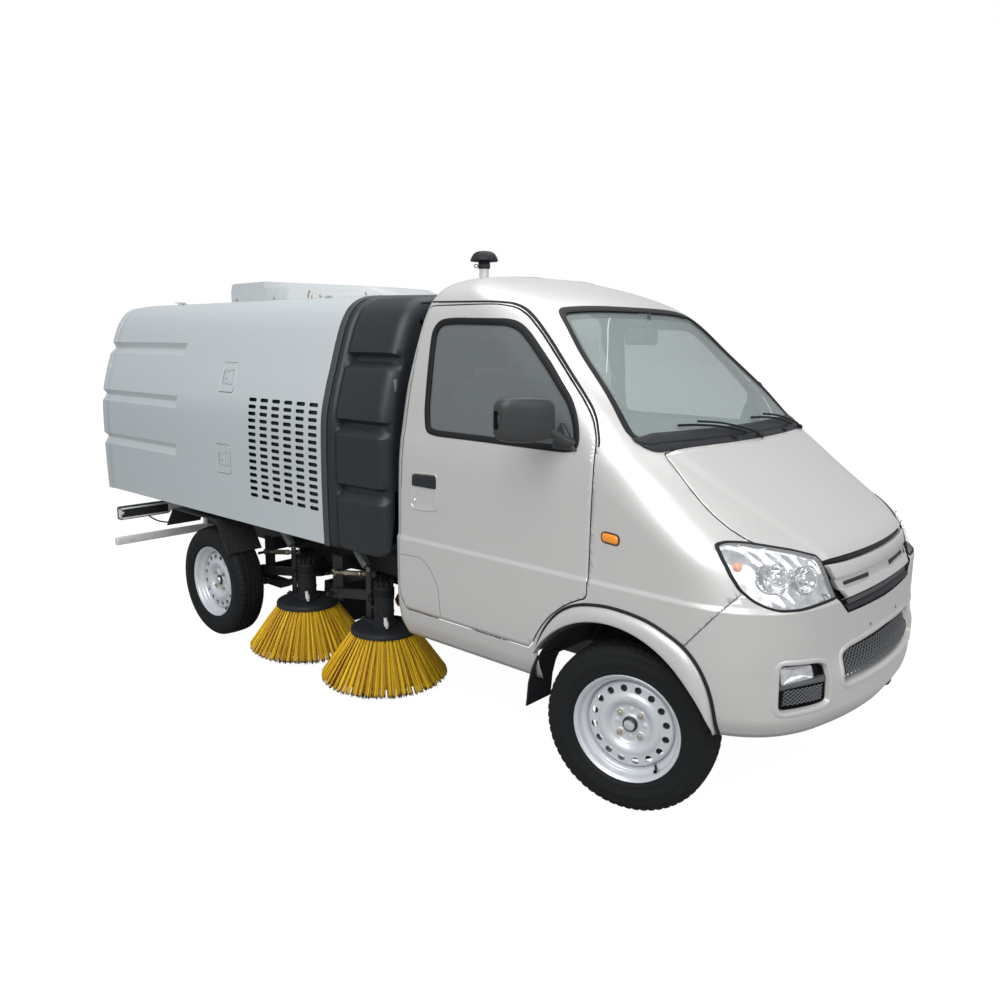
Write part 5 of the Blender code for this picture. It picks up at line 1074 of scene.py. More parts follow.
def makeCowl():
    # the panel under the windscreen, two wipers that bow outwards, and two washers
    y = np.linspace(-0.634, 0.634, 100)
    beyond = np.clip((np.abs(y) - 0.545) / 0.089, 0, 1)
    low = 1.2455 - 0.004 * beyond + 0.036 * beyond ** 5
    high = 1.3 - 0.012 * beyond
    rows = ((0.0, -0.004), (0.0, 0.003), (0.05, 0.0052), (0.3, 0.0052), (0.34, 0.0022), (0.42, 0.0022),
            (0.46, 0.0052), (0.72, 0.005), (0.95, 0.003), (1.0, 0.0012), (1.0, -0.006))
    grid = np.stack([panelPoints(np.stack([y, low + (high - low) * v], 1), np.full(len(y), o)) for v,
                     o in rows])
    mesh = cleaned(gridMesh("cowlPanel", grid), 1e-6, False)
    thickened(objectOf(mesh, "blackPlastic", sharp=35), 0.002, 0)
    parts = []
    for pivot, tip in (((0.03, 1.252), (-0.405, 1.322)), ((0.53, 1.247), (0.095, 1.322))):
        a, b = np.array(pivot), np.array(tip)
        flat = a + (b - a) * np.linspace(0, 1, 30)[:, None]
        flat[:, 1] += 0.012 * np.sin(np.linspace(0, math.pi, 30))
        out = np.interp(np.linspace(0, 1, 30), (0, 0.1, 0.5, 0.85, 1), (0.01, 0.022, 0.026, 0.02, 0.014))
        parts.append(tube("arm", panelPoints(flat[:24], out[:24]), 0.004, 10))
        blade = flat[6:] - (0, 0.006)
        parts.append(sweep("blade", panelPoints(blade, out[6:] - 0.0085),
                           np.array([(-0.003, -0.005), (0.003, -0.005), (0.0035, 0.003),
                                     (-0.0035, 0.003)])))
        hub = panelPoints(a[None], [0.003])[0]
        parts.append(lathe("hub", [(0.0, 0.016), (0.008, 0.0155), (0.012, 0.012), (0.014, 0.0)], hub,
                           (0.6, 0, 0.8), 24))
    for y, z in ((-0.155, 1.259), (0.3, 1.255)):
        base = panelPoints(np.array([[y, z]]), [0.004])[0]
        parts.append(roundedBox("washer", base - (0.01, 0.011, 0.004), base + (0.01, 0.011, 0.01), 0.004))
    objectOf(joinedMesh("wipers", parts), "sealRubber", sharp=40)


def makeCabin():
    # steering wheel as a ring with three spokes, and the inside mirror
    hub, axis = np.array((1.278, 0.34, 1.098)), np.array((-0.761246, 0.0, 0.648463))
    rim = lathe("rim", circle(0.0135, 16) + (0.172, 0), hub, axis, 96, True)
    side = np.array((0.0, 1.0, 0.0))
    up = unit(np.cross(axis, side))
    parts = [rim,
             lathe("boss", [(0.0, 0.01), (0.03, 0.009), (0.05, 0.004), (0.058, -0.006), (0.052, -0.022),
                            (0.0, -0.03)], hub, axis, 48)]
    for angle in (0.0, math.pi, -math.pi / 2):
        way = math.cos(angle) * side + math.sin(angle) * (up if up[2] > 0 else -up)
        path = np.array([hub + way * r - axis * d for r, d in ((0.035, 0.01), (0.09, 0.012), (0.14, 0.006),
                (0.168, 0.0))])
        parts.append(sweep("spoke", smoothPath(path, 8),
                           np.array([(-0.016, -0.004), (0.016, -0.004), (0.018, 0.0), (0.016, 0.005),
                                     (-0.016, 0.005), (-0.018, 0.0)]), upHint=axis))
    objectOf(joinedMesh("wheelRim", parts), "cabinDark", "steering_wheel", replaced=("steering_wheel",),
             sharp=40)
    outline = roundedOutline([(-0.115, -0.03), (0.115, -0.03), (0.105, 0.034), (-0.105, 0.034)], 0.02, 6)
    shell = []
    for share, back in ((0.9, 0.0), (1.0, 0.0), (1.02, 0.01), (0.92, 0.022), (0.55, 0.028), (0.1, 0.03)):
        shell.append(placed(1.135 + back, outline[:, 0] * share,
                            1.622 + outline[:, 1] * share + back * 0.2))
    body = gridMesh("body", np.stack(shell), False, True)
    stem = tube("stem", smoothPath([(1.162, 0, 1.64), (1.17, 0, 1.672), (1.172, 0, 1.718)], 8), 0.0065, 12)
    objectOf(joinedMesh("cabinMirror", [cleaned(body, 1e-6, False), stem]), "cabinDark")
    face = placed(1.1356, outline[:, 0] * 0.9, 1.622 + outline[:, 1] * 0.9)
    ring = np.arange(len(face))
    plate = meshFrom("cabinMirrorGlass", np.vstack([face, face.mean(0)]),
                     placed(ring, np.roll(ring, -1), len(face)))
    objectOf(plate, "chrome", sharp=0)


def cushion(name, low, high, along, pulled=0.1, channels=()):
    # a crowned closed form: sides pull in between the corners, and channels sink across the top
    low, high = np.array(low), np.array(high)
    middle, half = (low + high) / 2, (high - low) / 2
    steps = 30
    u = np.linspace(-1, 1, steps)
    faces, points, base = [], [], 0
    for axis in range(3):
        a, b = [k for k in range(3) if k != axis]
        for way in (-1, 1):
            p, q = np.meshgrid(u, u, indexing="ij")
            grid = np.zeros((steps, steps, 3))
            grid[..., a], grid[..., b], grid[..., axis] = p, q, way
            points.append(grid.reshape(-1, 3))
            faces.append(gridFaces(steps, steps) + base)
            base += steps * steps
    p = np.vstack(points)
    sphere = p / (np.sum(np.abs(p) ** 6, 1, keepdims=True) ** (1 / 6))
    others = [k for k in range(3) if k != along]
    flat = sphere[:, others]
    swell = (1 - flat[:, 0] ** 2) * (1 - flat[:, 1] ** 2)
    shape = sphere.copy()
    for k in others:
        j = [n for n in others if n != k][0]
        shape[:, k] *= 1 - pulled * 0.35 * (1 - np.abs(shape[:, j]) ** 3)
    rise = 0.82 + 0.18 * swell
    sink = np.zeros(len(p))
    for place, across in channels:
        sink += np.exp(-((sphere[:, across] - place) / 0.035) ** 2)
    edge = np.abs(np.maximum(np.abs(flat[:, 0]), np.abs(flat[:, 1])) - 0.86)
    sink += 0.6 * np.exp(-(edge / 0.02) ** 2)
    shape[:, along] *= rise - 0.045 * np.minimum(sink, 1.2)
    mesh = cleaned(meshFrom(name, middle + shape * half, np.vstack(faces)), 1e-5)
    return objectOf(mesh, "seatCloth", sharp=0)


def makeSeats():
    # each seat is a padded cushion, back and headrest on two posts
    for name, side in sides.items():
        y = side * 0.34
        seat = cushion(f"seatCushion.{name}", (0.6, y - 0.222, 0.822), (1.066, y + 0.222, 0.953), 2, 0.1,
                       ((-0.45, 1), (0.45, 1), (0.35, 0)))
        back = cushion(f"seatBack.{name}", (0.56, y - 0.218, 0.925), (0.685, y + 0.218, 1.468), 0, 0.1,
                       ((-0.45, 1), (0.45, 1), (0.25, 2), (-0.35, 2)))
        head = cushion(f"headrest.{name}", (0.545, y - 0.118, 1.492), (0.635, y + 0.118, 1.612), 0, 0.06)
        if name == "left":
            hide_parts("seats")
        posts = [tube("post", np.array([(0.59, y + dy, 1.44), (0.59, y + dy, 1.52)]), 0.006, 12)
                 for dy in (-0.06, 0.06)]
        objectOf(joinedMesh(f"headrestPosts.{name}", posts), "chrome")


makeGrille()
for name, side in sides.items():
    makeLamp(name, side)
    makeFog(name, side)
makeBumperMiddle()
makeCowl()
makeCabin()
makeSeats()
print("front done")


wheelPlaces = {
    "front_left": ((1.522004, 0.63395, 0.3), (-0.224951, 0.97437, 0.0)),
    "front_right": ((1.557996, -0.63395, 0.3), (0.224951, -0.97437, 0.0)),
    "rear_left": ((rearAxleX, 0.661, 0.3), (0.0, 1.0, 0.0)),
    "rear_right": ((rearAxleX, -0.661, 0.3), (0.0, -1.0, 0.0)),
}
tyre = {"radius": 0.2995, "bead": 0.1925, "pitches": 64, "perPitch": 6,
        "grooves": (-0.041, -0.0135, 0.0135, 0.041), "grooveHalf": 0.0032, "grooveDepth": 0.0065,
        "slotDepth": 0.003}
rimSize = {"lip": 0.192, "half": 0.07, "holes": 16, "holeAt": 0.131, "holeRadius": 0.0125,
           "nuts": 4, "nutAt": 0.052, "wall": 0.0035}


def atWheel(mesh, name):
    # local axes: x along the vehicle, y up, z outwards along the axle
    centre, axis = (Vector(v) for v in wheelPlaces[name])
    up = Vector((0, 0, 1))
    matrix = Matrix((up.cross(axis), up, axis)).transposed().to_4x4()
    matrix.translation = centre
    mesh.transform(matrix)
    return mesh


def tyreMesh():
    # section runs bead to bead; grooves and slots lower the radius, fine ribs raise the upper sidewall
    top = tyre["radius"]
    side = [(tyre["bead"], 0.06), (0.1945, 0.0695), (0.1985, 0.0735), (0.2035, 0.0755), (0.2045, 0.0775),
            (0.2085, 0.0775), (0.2095, 0.0768), (0.222, 0.0802), (0.236, 0.082), (0.2375, 0.0825),
            (0.2405, 0.0825), (0.242, 0.0818), (0.256, 0.0808), (0.2655, 0.0788), (0.2665, 0.0796),
            (0.2795, 0.0752), (0.2805, 0.0735), (0.287, 0.069), (0.2925, 0.0635), (0.2955, 0.059)]
    marks = [0.0535, 0.047]
    for place in tyre["grooves"][::-1]:
        marks += [place + tyre["grooveHalf"] + 0.0008, place + tyre["grooveHalf"],
                  place - tyre["grooveHalf"], place - tyre["grooveHalf"] - 0.0008]
    tread = [(top - 0.9 * a * a, a) for a in marks + [-marks[1], -marks[0]]]
    section = np.array(side + tread + [(r, -a) for r, a in side[::-1]])
    steps = tyre["pitches"] * tyre["perPitch"]
    turn = np.arange(steps)[:, None] * tau / steps
    r, a = section[:, 0][None], section[:, 1][None]
    crown = np.abs(a) < 0.0585
    inGroove = np.zeros_like(a, bool)
    for place in tyre["grooves"]:
        inGroove |= (np.abs(a - place) < tyre["grooveHalf"] + 0.0004) & (r > 0.29)
    phase = np.arange(steps)[:, None] % tyre["perPitch"]
    shoulder = (np.abs(a) > 0.0445) & (r > 0.2865)
    slot = np.where(shoulder, phase < 2, crown & (phase == (3 + np.round(np.abs(a) * 60).astype(int)) % 6))
    rib = (r > 0.266) & (r < 0.28) & (phase % 2 == 0)
    depth = np.where(crown & inGroove, tyre["grooveDepth"],
                     np.where(slot & (crown | shoulder), tyre["slotDepth"], 0.0))
    radius = r - depth
    across = a + np.where(rib, -0.0011, 0.0) * np.sign(a)
    return gridMesh("tyre", placed(radius * np.cos(turn), radius * np.sin(turn), across), True, False, True)


def turned(name, profile, steps=96, closed=False):
    return lathe(name, profile, (0, 0, 0), (0, 0, 1), steps, closed)


def discMesh():
    # an annulus of polar cells whose rings bend round each hole, dished by a profile of height over radius
    count, per = rimSize["holes"], 12
    at, hole = rimSize["holeAt"], rimSize["holeRadius"]
    profile = np.array([(0.0225, 0.021), (0.03, 0.021), (0.033, 0.017), (0.0385, 0.015), (0.064, 0.015),
                        (0.069, 0.017), (0.076, 0.0255), (0.086, 0.035), (0.096, 0.0385), (0.105, 0.037),
                        (0.113, 0.032), (0.118, 0.0295), (0.14, 0.027), (0.148, 0.025), (0.153, 0.02),
                        (0.1555, 0.01)])

    def height(radius):
        return np.interp(radius, profile[:, 0], profile[:, 1])

    steps = count * per
    turn = np.arange(steps) * tau / steps
    radii = np.concatenate([np.interp(np.linspace(0, 11, 34), np.arange(12), profile[:12, 0]), [0.1185]])
    outerRadii = np.array([0.1437, 0.148, 0.151, 0.153, 0.1545, 0.1555])
    meshes = []
    for name, r in (("in", radii[:, None]), ("out", outerRadii[:, None])):
        meshes.append(gridMesh(name, placed(r * np.cos(turn), r * np.sin(turn), height(r)), False, True))
    corner = np.arange(per + 1) / per * (tau / count) - tau / count / 2
    low, high = radii[-1], outerRadii[0]
    runs = ((low, corner), (np.linspace(low, high, per + 1), corner[-1]),
            (high, corner[::-1]), (np.linspace(high, low, per + 1), corner[0]))
    edge = np.concatenate([polar(*run)[:-1] for run in runs])
    angle = np.arctan2(edge[:, 1], edge[:, 0] - at)
    ring = polar(hole, angle) + (at, 0)
    shares = np.array([0.0, 0.1, 0.35, 0.7, 1.0])[:, None, None]
    cell = ring[None] * (1 - shares) + edge[None] * shares
    lift = height(np.hypot(cell[..., 0], cell[..., 1]))
    cell = np.dstack([cell, lift[..., None]])
    wall = cell[0] + (0, 0, -0.006)
    cell = np.concatenate([wall[None], cell])
    for number in range(count):
        made = gridMesh("cell", cell, False, True)
        made.transform(Matrix.Rotation((number + 0.5) * tau / count, 4, "Z"))
        meshes.append(made)
    return cleaned(joinedMesh("disc", meshes), 2e-5)


def rimMeshes():
    # the wheel in its own axes: barrel, disc, drum, nuts, cap and valve
    half, lip = rimSize["half"], rimSize["lip"]
    barrel = turned("barrel", [(0.1555, 0.008), (0.16, 0.02), (0.162, 0.03), (0.166, 0.0335),
                               (0.1735, 0.0345), (0.1765, 0.037), (0.1775, 0.056), (0.1795, 0.0605),
                               (0.183, 0.064), (0.187, 0.068), (0.19, 0.07), (0.1918, 0.069),
                               (0.192, 0.066), (0.1905, 0.064), (0.189, 0.064), (0.186, 0.061),
                               (0.185, -0.063), (lip, -0.065), (lip, -half), (0.187, -half),
                               (0.176, -0.056), (0.162, -0.03), (0.156, -0.01), (0.153, 0.006)], 128, True)
    disc = discMesh()
    parts, pads = [], []
    nuts = rimSize["nuts"]
    for (x, y), (padX, padY) in zip(spots(0, 0, rimSize["nutAt"], nuts), spots(0, 0, 0.05, nuts, 0)):
        parts.append(lathe("nut", [(0.0, 0.033), (0.006, 0.033), (0.0092, 0.0312), (0.01, 0.029),
                                   (0.01, 0.019)], (x, y, 0), steps=6))
        parts.append(lathe("stud", [(0.0, 0.0375), (0.0042, 0.0368), (0.0052, 0.035), (0.0052, 0.032)],
                           (x, y, 0), steps=16))
        pads.append(lathe("seat", [(0.0, 0.016), (0.0155, 0.0152), (0.014, 0.0185), (0.011, 0.0195),
                                   (0.0, 0.0195)], (x, y, 0), steps=24))
        pads.append(lathe("pad", [(0.0, 0.0175), (0.0085, 0.017), (0.0115, 0.0148)], (padX, padY, 0),
                          steps=20))
    cap = turned("cap", [(0.0, 0.0382), (0.012, 0.0378), (0.0172, 0.0362), (0.0195, 0.033), (0.02, 0.024)],
                 40)
    ring = turned("capRing", [(0.02, 0.029), (0.0225, 0.0296), (0.0262, 0.0275), (0.0275, 0.0215),
                              (0.0275, 0.018)], 40)
    angle = math.radians(-52)
    stem = np.array([(0.158, 0.028), (0.166, 0.036), (0.17, 0.046), (0.171, 0.056)])
    path = placed(stem[:, 0] * math.cos(angle), stem[:, 0] * math.sin(angle), stem[:, 1])
    valve = joinedMesh("valve", [tube("stem", smoothPath(path, 12), 0.0042, 12),
                                 tube("valveCap", path[2:] + (path[3] - path[2]) * 0.15, 0.0056, 12)])
    drum = turned("drum", [(0.0, 0.006), (0.118, 0.006), (0.134, 0.003), (0.14, -0.004), (0.1405, -0.03),
                           (0.134, -0.033), (0.134, -0.04), (0.0, -0.04)], 64)
    return {"barrel": barrel, "disc": joinedMesh("disc", [disc] + pads), "drum": drum,
            "nuts": joinedMesh("nuts", parts), "cap": cap, "capRing": ring, "valve": valve}


def makeWheels():
    # one set of meshes, copied to the four places
    made = {"tyre": tyreMesh(), **rimMeshes()}
    wear = {"tyre": "tyreRubber", "barrel": "rimSilver", "disc": "rimSilver", "drum": "castIron",
            "nuts": "zinc", "cap": "chrome", "capRing": "blackSteel", "valve": "sealRubber"}
    for name in wheelPlaces:
        for part, mesh in made.items():
            copy = mesh.copy()
            copy.name = f"{part}.{name}"
            replaced = (f"tyre_{name}",) if part == "tyre" else (f"rim_{name}",) if part == "barrel" else ()
            objectOf(atWheel(copy, name), wear[part], f"wheel_{name}", replaced=replaced,
                     sharp=55 if part in ("barrel", "disc") else 32)
    for mesh in made.values():
        bpy.data.meshes.remove(mesh)


makeWheels()
print("wheels done")


broomSize = {"y": 0.505, "frontX": 0.103, "pitch": 0.606, "coverTop": 0.281, "coverRadius": 0.158,
             "rootRadius": 0.14, "rootZ": 0.2625, "tipRadius": 0.299, "tipZ": 0.055, "tufts": 58,
             "perTuft": 32}


def bristleMesh(seed):
    # a bristle from root to tip bows outwards by a share t (1 - t); tufts sit on three rings, scattered
    chance = np.random.default_rng(seed)
    tufts, each = broomSize["tufts"], broomSize["perTuft"]
    ring = np.arange(tufts * 3) // tufts
    base = np.arange(tufts * 3) % tufts * tau / tufts + ring * 0.4 * tau / tufts
    ring = np.repeat(ring, each // 2)
    turn = np.repeat(base, each // 2) + chance.normal(0, 0.013, len(ring))
    spread = chance.uniform(-1, 1, (len(ring), 4))
    rootRadius = broomSize["rootRadius"] - 0.011 * ring + 0.0035 * spread[:, 0]
    tipRadius = np.minimum(broomSize["tipRadius"] - 0.02 * ring + 0.01 * spread[:, 1],
                           broomSize["tipRadius"])
    tipTurn = turn + np.repeat(chance.normal(0, 0.008, tufts * 3), each // 2) + 0.016 * spread[:, 2]
    tipZ = broomSize["tipZ"] - 0.01 * ring + 0.008 * spread[:, 3] - 0.016
    root = placed(rootRadius * np.cos(turn), rootRadius * np.sin(turn), broomSize["rootZ"])
    tip = placed(tipRadius * np.cos(tipTurn), tipRadius * np.sin(tipTurn), tipZ)
    t = np.array([0.0, 0.5, 1.0])[None, :, None]
    sag = placed(np.cos(turn), np.sin(turn), 0)[:, None] * 0.012
    line = root[:, None] * (1 - t) + tip[:, None] * t + sag * t * (1 - t)
    run = unit(tip - root)
    side = unit(np.cross(run, (0, 0, 1)))
    up = np.cross(side, run)
    corner = np.arange(3) * tau / 3
    width = 0.0015 * (1 + 0.25 * spread[:, :1, None, None])
    ringOf = (np.cos(corner)[None, None, :, None] * side[:, None, None] + np.sin(corner)[None, None, :,
            None] * up[:, None, None]) * width
    points = line[:, :, None] + ringOf
    count = len(line)
    quads = gridFaces(3, 3, False, True)
    faces = (quads[None] + np.arange(count)[:, None, None] * 9).reshape(-1, 4)
    ends = np.array([6, 7, 8, 8]) + np.arange(count)[:, None] * 9
    return meshFrom("bristles", points, np.vstack([faces, ends]))


def bristleMaterial(name, x, y):
    # yellow with orange-brown strands by a noise over the angle round the broom, and dark tips below a height
    made = newMaterial(name, (0.9, 0.62, 0.008), 0.5)
    slotOfLook[name] = "bristle_yellow"
    tree = made.node_tree
    place = addNode(tree, "SeparateXYZ", {0: addNode(tree, "TexCoord").outputs["Object"]}).outputs
    along = addNode(tree, "Math", {0: place["X"], 1: x}, operation="SUBTRACT")
    across = addNode(tree, "Math", {0: place["Y"], 1: y}, operation="SUBTRACT")
    angle = addNode(tree, "Math", {0: across.outputs[0], 1: along.outputs[0]}, operation="ARCTAN2")
    noise = addNode(tree, "TexNoise", {"Scale": 34.0, "Detail": 2.0, "W": angle.outputs[0]},
                    noise_dimensions="1D")
    strands = addRamp(tree, noise.outputs["Fac"], 0.38, (0.56, 0.24, 0.012), 0.55, (0.95, 0.66, 0.006))
    heights = {"From Min": broomSize["tipZ"] - 0.022, "From Max": broomSize["tipZ"] - 0.008}
    tips = addNode(tree, "MapRange", {"Value": place["Z"], **heights})
    mix = addNode(tree, "Mix", {"Factor": tips.outputs["Result"], "A": (0.1, 0.055, 0.02, 1), "B": strands},
                  data_type="RGBA")
    tree.links.new(mix.outputs["Result"], tree.nodes["Principled BSDF"].inputs["Base Color"])
    return made


def discCover(x, y):
    # the cover disc: a shallow cone with a rolled skirt
    top, r = broomSize["coverTop"], broomSize["coverRadius"]
    profile = [(0.0, top), (0.06, top - 0.0005), (0.115, top - 0.003), (r - 0.022, top - 0.005),
               (r - 0.01, top - 0.0075), (r - 0.003, top - 0.012), (r, top - 0.018), (r, top - 0.032),
               (r - 0.0045, top - 0.0325), (r - 0.005, top - 0.018), (r - 0.012, top - 0.012),
               (0.0, top - 0.009)]
    return lathe("cover", profile, (x, y, 0), steps=96)


def motorMesh(x, y):
    # a hydraulic motor: a flange with four bolts, a barrel, a ribbed cap, two ports and a cable
    top = broomSize["coverTop"]
    flange = [(0.0, 0.018), (0.054, 0.018), (0.06, 0.015), (0.061, 0.003), (0.061, -0.004)]
    parts = [lathe("flange", [(r, top + a - 0.004) for r, a in flange], (x, y, 0), steps=48)]
    body = [(0.0475, 0.012), (0.0475, 0.055), (0.0495, 0.057), (0.0495, 0.066), (0.0475, 0.068),
            (0.0475, 0.12), (0.05, 0.123), (0.05, 0.132), (0.047, 0.135), (0.047, 0.178), (0.044, 0.184),
            (0.0, 0.184)]
    parts.append(lathe("barrel", [(r, top + a) for r, a in body[::-1]], (x, y, 0), steps=48))
    for k in range(7):
        z = top + 0.14 + 0.0055 * k
        parts.append(lathe("fin", [(0.045, z + 0.0022), (0.0508, z + 0.0018), (0.0508, z),
                                   (0.045, z - 0.0004)], (x, y, 0), steps=40))
    for px, py in spots(x, y, 0.041, 10):
        parts.append(lathe("lug", [(0.0, 0.212), (0.0048, 0.211), (0.0056, 0.207), (0.0056, 0.176)],
                           (px, py, top), steps=10))
    parts.append(lathe("crown", [(0.0, 0.206), (0.026, 0.205), (0.031, 0.2), (0.032, 0.182)], (x, y, top),
                       steps=32))
    for px, py in spots(x, y, 0.052, 4):
        parts.append(lathe("bolt", [(0.0, 0.0205), (0.0058, 0.02), (0.007, 0.018), (0.007, 0.012)],
                           (px, py, top), steps=6))
    for way in (-1, 1):
        parts.append(lathe("port", [(0.0, 0.0535), (0.0075, 0.0535), (0.0085, 0.0515), (0.0085, 0.036)],
                           (x, y, top + 0.094 + 0.014 * way), (-0.55, 0.83 * way, 0.05), 14))
    cable = smoothPath([(x - 0.06, y - 0.02, top + 0.15), (x - 0.04, y - 0.062, top + 0.128),
                        (x + 0.004, y - 0.078, top + 0.104), (x + 0.046, y - 0.07, top + 0.082),
                        (x + 0.074, y - 0.062, top + 0.056)], 10)
    parts.append(tube("cable", cable, 0.0052, 10))
    return joinedMesh("motor", parts)


def turnbuckleMesh(start, end):
    # a rod in a sleeve, a hexagon nut on each side of it and an eye at each end
    start, end = np.asarray(start), np.asarray(end)
    axis = unit(end - start)
    length = np.linalg.norm(end - start)
    middle = (start + end) / 2
    rod = lathe("rod", [(0.0, -0.5 * length), (0.0062, -0.5 * length + 0.004), (0.0062, -0.065),
                        (0.0062, 0.065), (0.0062, 0.5 * length - 0.004), (0.0, 0.5 * length)], middle, axis,
                16)
    sleeve = lathe("sleeve", [(0.0, -0.066), (0.012, -0.065), (0.015, -0.061), (0.015, -0.05),
                              (0.0134, -0.047), (0.0134, 0.047), (0.015, 0.05), (0.015, 0.061),
                              (0.012, 0.065), (0.0, 0.066)], middle, axis, 20)
    parts = [rod, sleeve]
    for place in (-0.086, 0.086):
        parts.append(lathe("nut", [(0.0, -0.006), (0.01, -0.006), (0.0115, -0.004), (0.0115, 0.004),
                                   (0.01, 0.006), (0.0, 0.006)], middle + axis * place, axis, 6))
    for point in (start, end):
        parts.append(lathe("eye", [(0.0, -0.0125), (0.0085, -0.0125), (0.0105, -0.0105), (0.011, -0.0085),
                                   (0.0165, -0.008), (0.017, 0.0), (0.0165, 0.008), (0.011, 0.0085),
                                   (0.0105, 0.0105), (0.0085, 0.0125), (0.0, 0.0125)], point, (0, 1, 0),
                           28))
        inward = axis if point is start else -axis
        parts.append(lathe("neck", [(0.0, 0.012), (0.0105, 0.0125), (0.0095, 0.03), (0.0085, 0.046),
                                    (0.0, 0.047)], point, inward, 16))
    return joinedMesh("turnbuckle", parts)


def makeBrooms():
    # four brooms: strands, core and holder turn; cover, motor, post and cylinder ride the carrier
    for axle, x in (("front", broomSize["frontX"]), ("rear", broomSize["frontX"] - broomSize["pitch"])):
        for name, side in sides.items():
            tag, base, y = f"{axle}.{name}", f"broom_{axle}_{name}", side * broomSize["y"]
            brush, carrier, top = f"{base}_brush", f"{base}_carrier", broomSize["coverTop"]
            bristles = bristleMesh(11 + 5 * (axle == "rear") + 2 * (side > 0))
            bristles.transform(Matrix.Translation((x, y, 0)))
            bristles.name = f"bristles.{tag}"
            strands = bristleMaterial(f"bristleStrands.{tag}", x, y)
            objectOf(bristles, strands, brush, replaced=(brush,), sharp=0)
            # the core fills the bristle mass in the darker finish, painted shade between the strands
            core = lathe(f"bristleCore.{tag}", [(0.0, 0.245), (0.12, 0.25), (0.132, 0.248), (0.15, 0.23),
                    (0.196, 0.165), (0.236, 0.095), (0.262, 0.056), (0.246, 0.05), (0.15, 0.09),
                    (0.0, 0.12)], (x, y, 0), steps=72)
            objectOf(core, "bristleCore", brush, sharp=0)
            holder = lathe(f"bristleHolder.{tag}", [(0.0, 0.2665), (0.12, 0.2665), (0.146, 0.264),
                    (0.1475, 0.26), (0.146, 0.256), (0.104, 0.253), (0.1, 0.257), (0.0, 0.257)], (x, y, 0),
                           steps=72)
            objectOf(holder, "blackPlastic", brush)
            objectOf(discCover(x, y), "blackPlastic", carrier,
                     replaced=(carrier,)).name = f"broomCover.{tag}"
            motor = motorMesh(x, y)
            motor.name = f"broomMotor.{tag}"
            objectOf(motor, "blackPlastic", carrier, sharp=35)
            fx = x - 0.095
            near, far = sorted((y + side * 0.0065, y + side * 0.0155))
            steel = [roundedBox("post", (fx - 0.0195, near, top - 0.004), (fx + 0.0195, far, 0.546)),
                     roundedBox("foot", (fx - 0.04, y - 0.036, top - 0.003),
                                (fx + 0.06, y + 0.036, top + 0.0065)),
                     roundedBox("gusset", (fx - 0.016, min(y - side * 0.014, near), top),
                                (fx + 0.016, max(y - side * 0.014, far), top + 0.03), 0.004)]
            for pz, pin in ((0.395, 0.0098), (0.5, 0.0078)):
                steel.append(lathe("pin", [(0.0, -0.031), (pin, -0.03), (pin, 0.006), (0.0165, 0.0065),
                                           (0.0165, 0.0155), (0.0145, 0.0165), (0.0, 0.0165)], (fx, y, pz),
                                   (0, side, 0), 18))
            for dx, dy in ((-0.028, -0.024), (-0.028, 0.024), (0.047, -0.024), (0.047, 0.024)):
                steel.append(lathe("bolt", [(0.0, 0.0135), (0.0065, 0.013), (0.0078, 0.011),
                                            (0.0078, 0.005)], (fx + dx, y + dy, top), steps=6))
            objectOf(joinedMesh(f"broomPost.{tag}", steel), "blackSteel", carrier, sharp=35)
            strutY = y + side * 0.011
            foot, head = np.array((fx, strutY, 0.53)), np.array((fx - 0.085, strutY, 0.61))
            along = unit(head - foot)
            strut = [lathe("tube", [(0.0, 0.016), (0.02, 0.018), (0.022, 0.022), (0.022, 0.11),
                                    (0.02, 0.114), (0.0, 0.116)], foot, along, 28),
                     lathe("rodEye", [(0.0, -0.0065), (0.012, -0.0065), (0.0135, -0.0045), (0.0135, 0.0045),
                                      (0.012, 0.0065), (0.0, 0.0065)], foot, (0, 1, 0), 24)]
            objectOf(joinedMesh(f"liftCylinder.{tag}", strut), "cylinderGrey", carrier, sharp=35)
            rx, rz = fx - 0.2963, 0.3481
            link = turnbuckleMesh((rx, y - side * 0.015, rz + 0.105), (fx, y - side * 0.015, 0.5))
            link.name = f"turnbuckle.{tag}"
            objectOf(link, "zinc", f"{base}_link", replaced=(f"{base}_link",), sharp=35)
            plug = lathe(f"cablePlug.{tag}", [(0.0, -0.03), (0.006, -0.029), (0.0075, -0.02),
                    (0.011, -0.018), (0.011, 0.004), (0.0085, 0.006), (0.0085, 0.022), (0.0, 0.024)],
                         (x + 0.082, y - 0.06, top + 0.038), (-0.28, 0.02, 0.96), 20)
            objectOf(plug, "whiteSteel", carrier, sharp=35)
    print("brooms done")


makeBrooms()


boxPlaces = {"rear": -2.195, "doorFront": -2.14, "coverRear": -2.1345, "coverFront": 0.0, "front": 0.032,
             "floor": 0.69, "hinge": 0.4275, "wall": 0.0025}
boxSection = np.array(((0.765, 0.69), (0.772, 0.95), (0.768, 1.243), (0.742, 1.38), (0.709, 1.49),
                       (0.675, 1.6), (0.64, 1.69), (0.59, 1.758), (0.52, 1.795), (0.4275, 1.808),
                       (0.25, 1.8173), (0.0, 1.83)))
# each groove: top edge, front end; its upper face leans in and its lower face climbs out again
boxGrooves = ((1.585, -1.285), (1.302, -1.28), (1.04, -1.3))
grooveDepth, grooveHeight = 0.019, 0.066
tankGrooves = (1.557, 1.273, 0.99)
ventField = {"x": -0.58, "z": 0.852, "columns": 6, "rows": 15, "pitchX": 0.097, "pitchZ": 0.03335,
             "width": 0.0655, "height": 0.018}
latches = ((-0.803, 1.417), (-0.815, 1.005))


def denseSection():
    # the section's side as a Catmull-Rom curve, with straight runs over the roof
    side = smoothPath(boxSection[:10], 40)
    side[:, 0] = np.minimum(side[:, 0], 0.7722)
    return resampled(np.vstack([side, boxSection[10:]]), 0.004, closed=False)


sectionCurve = denseSection()


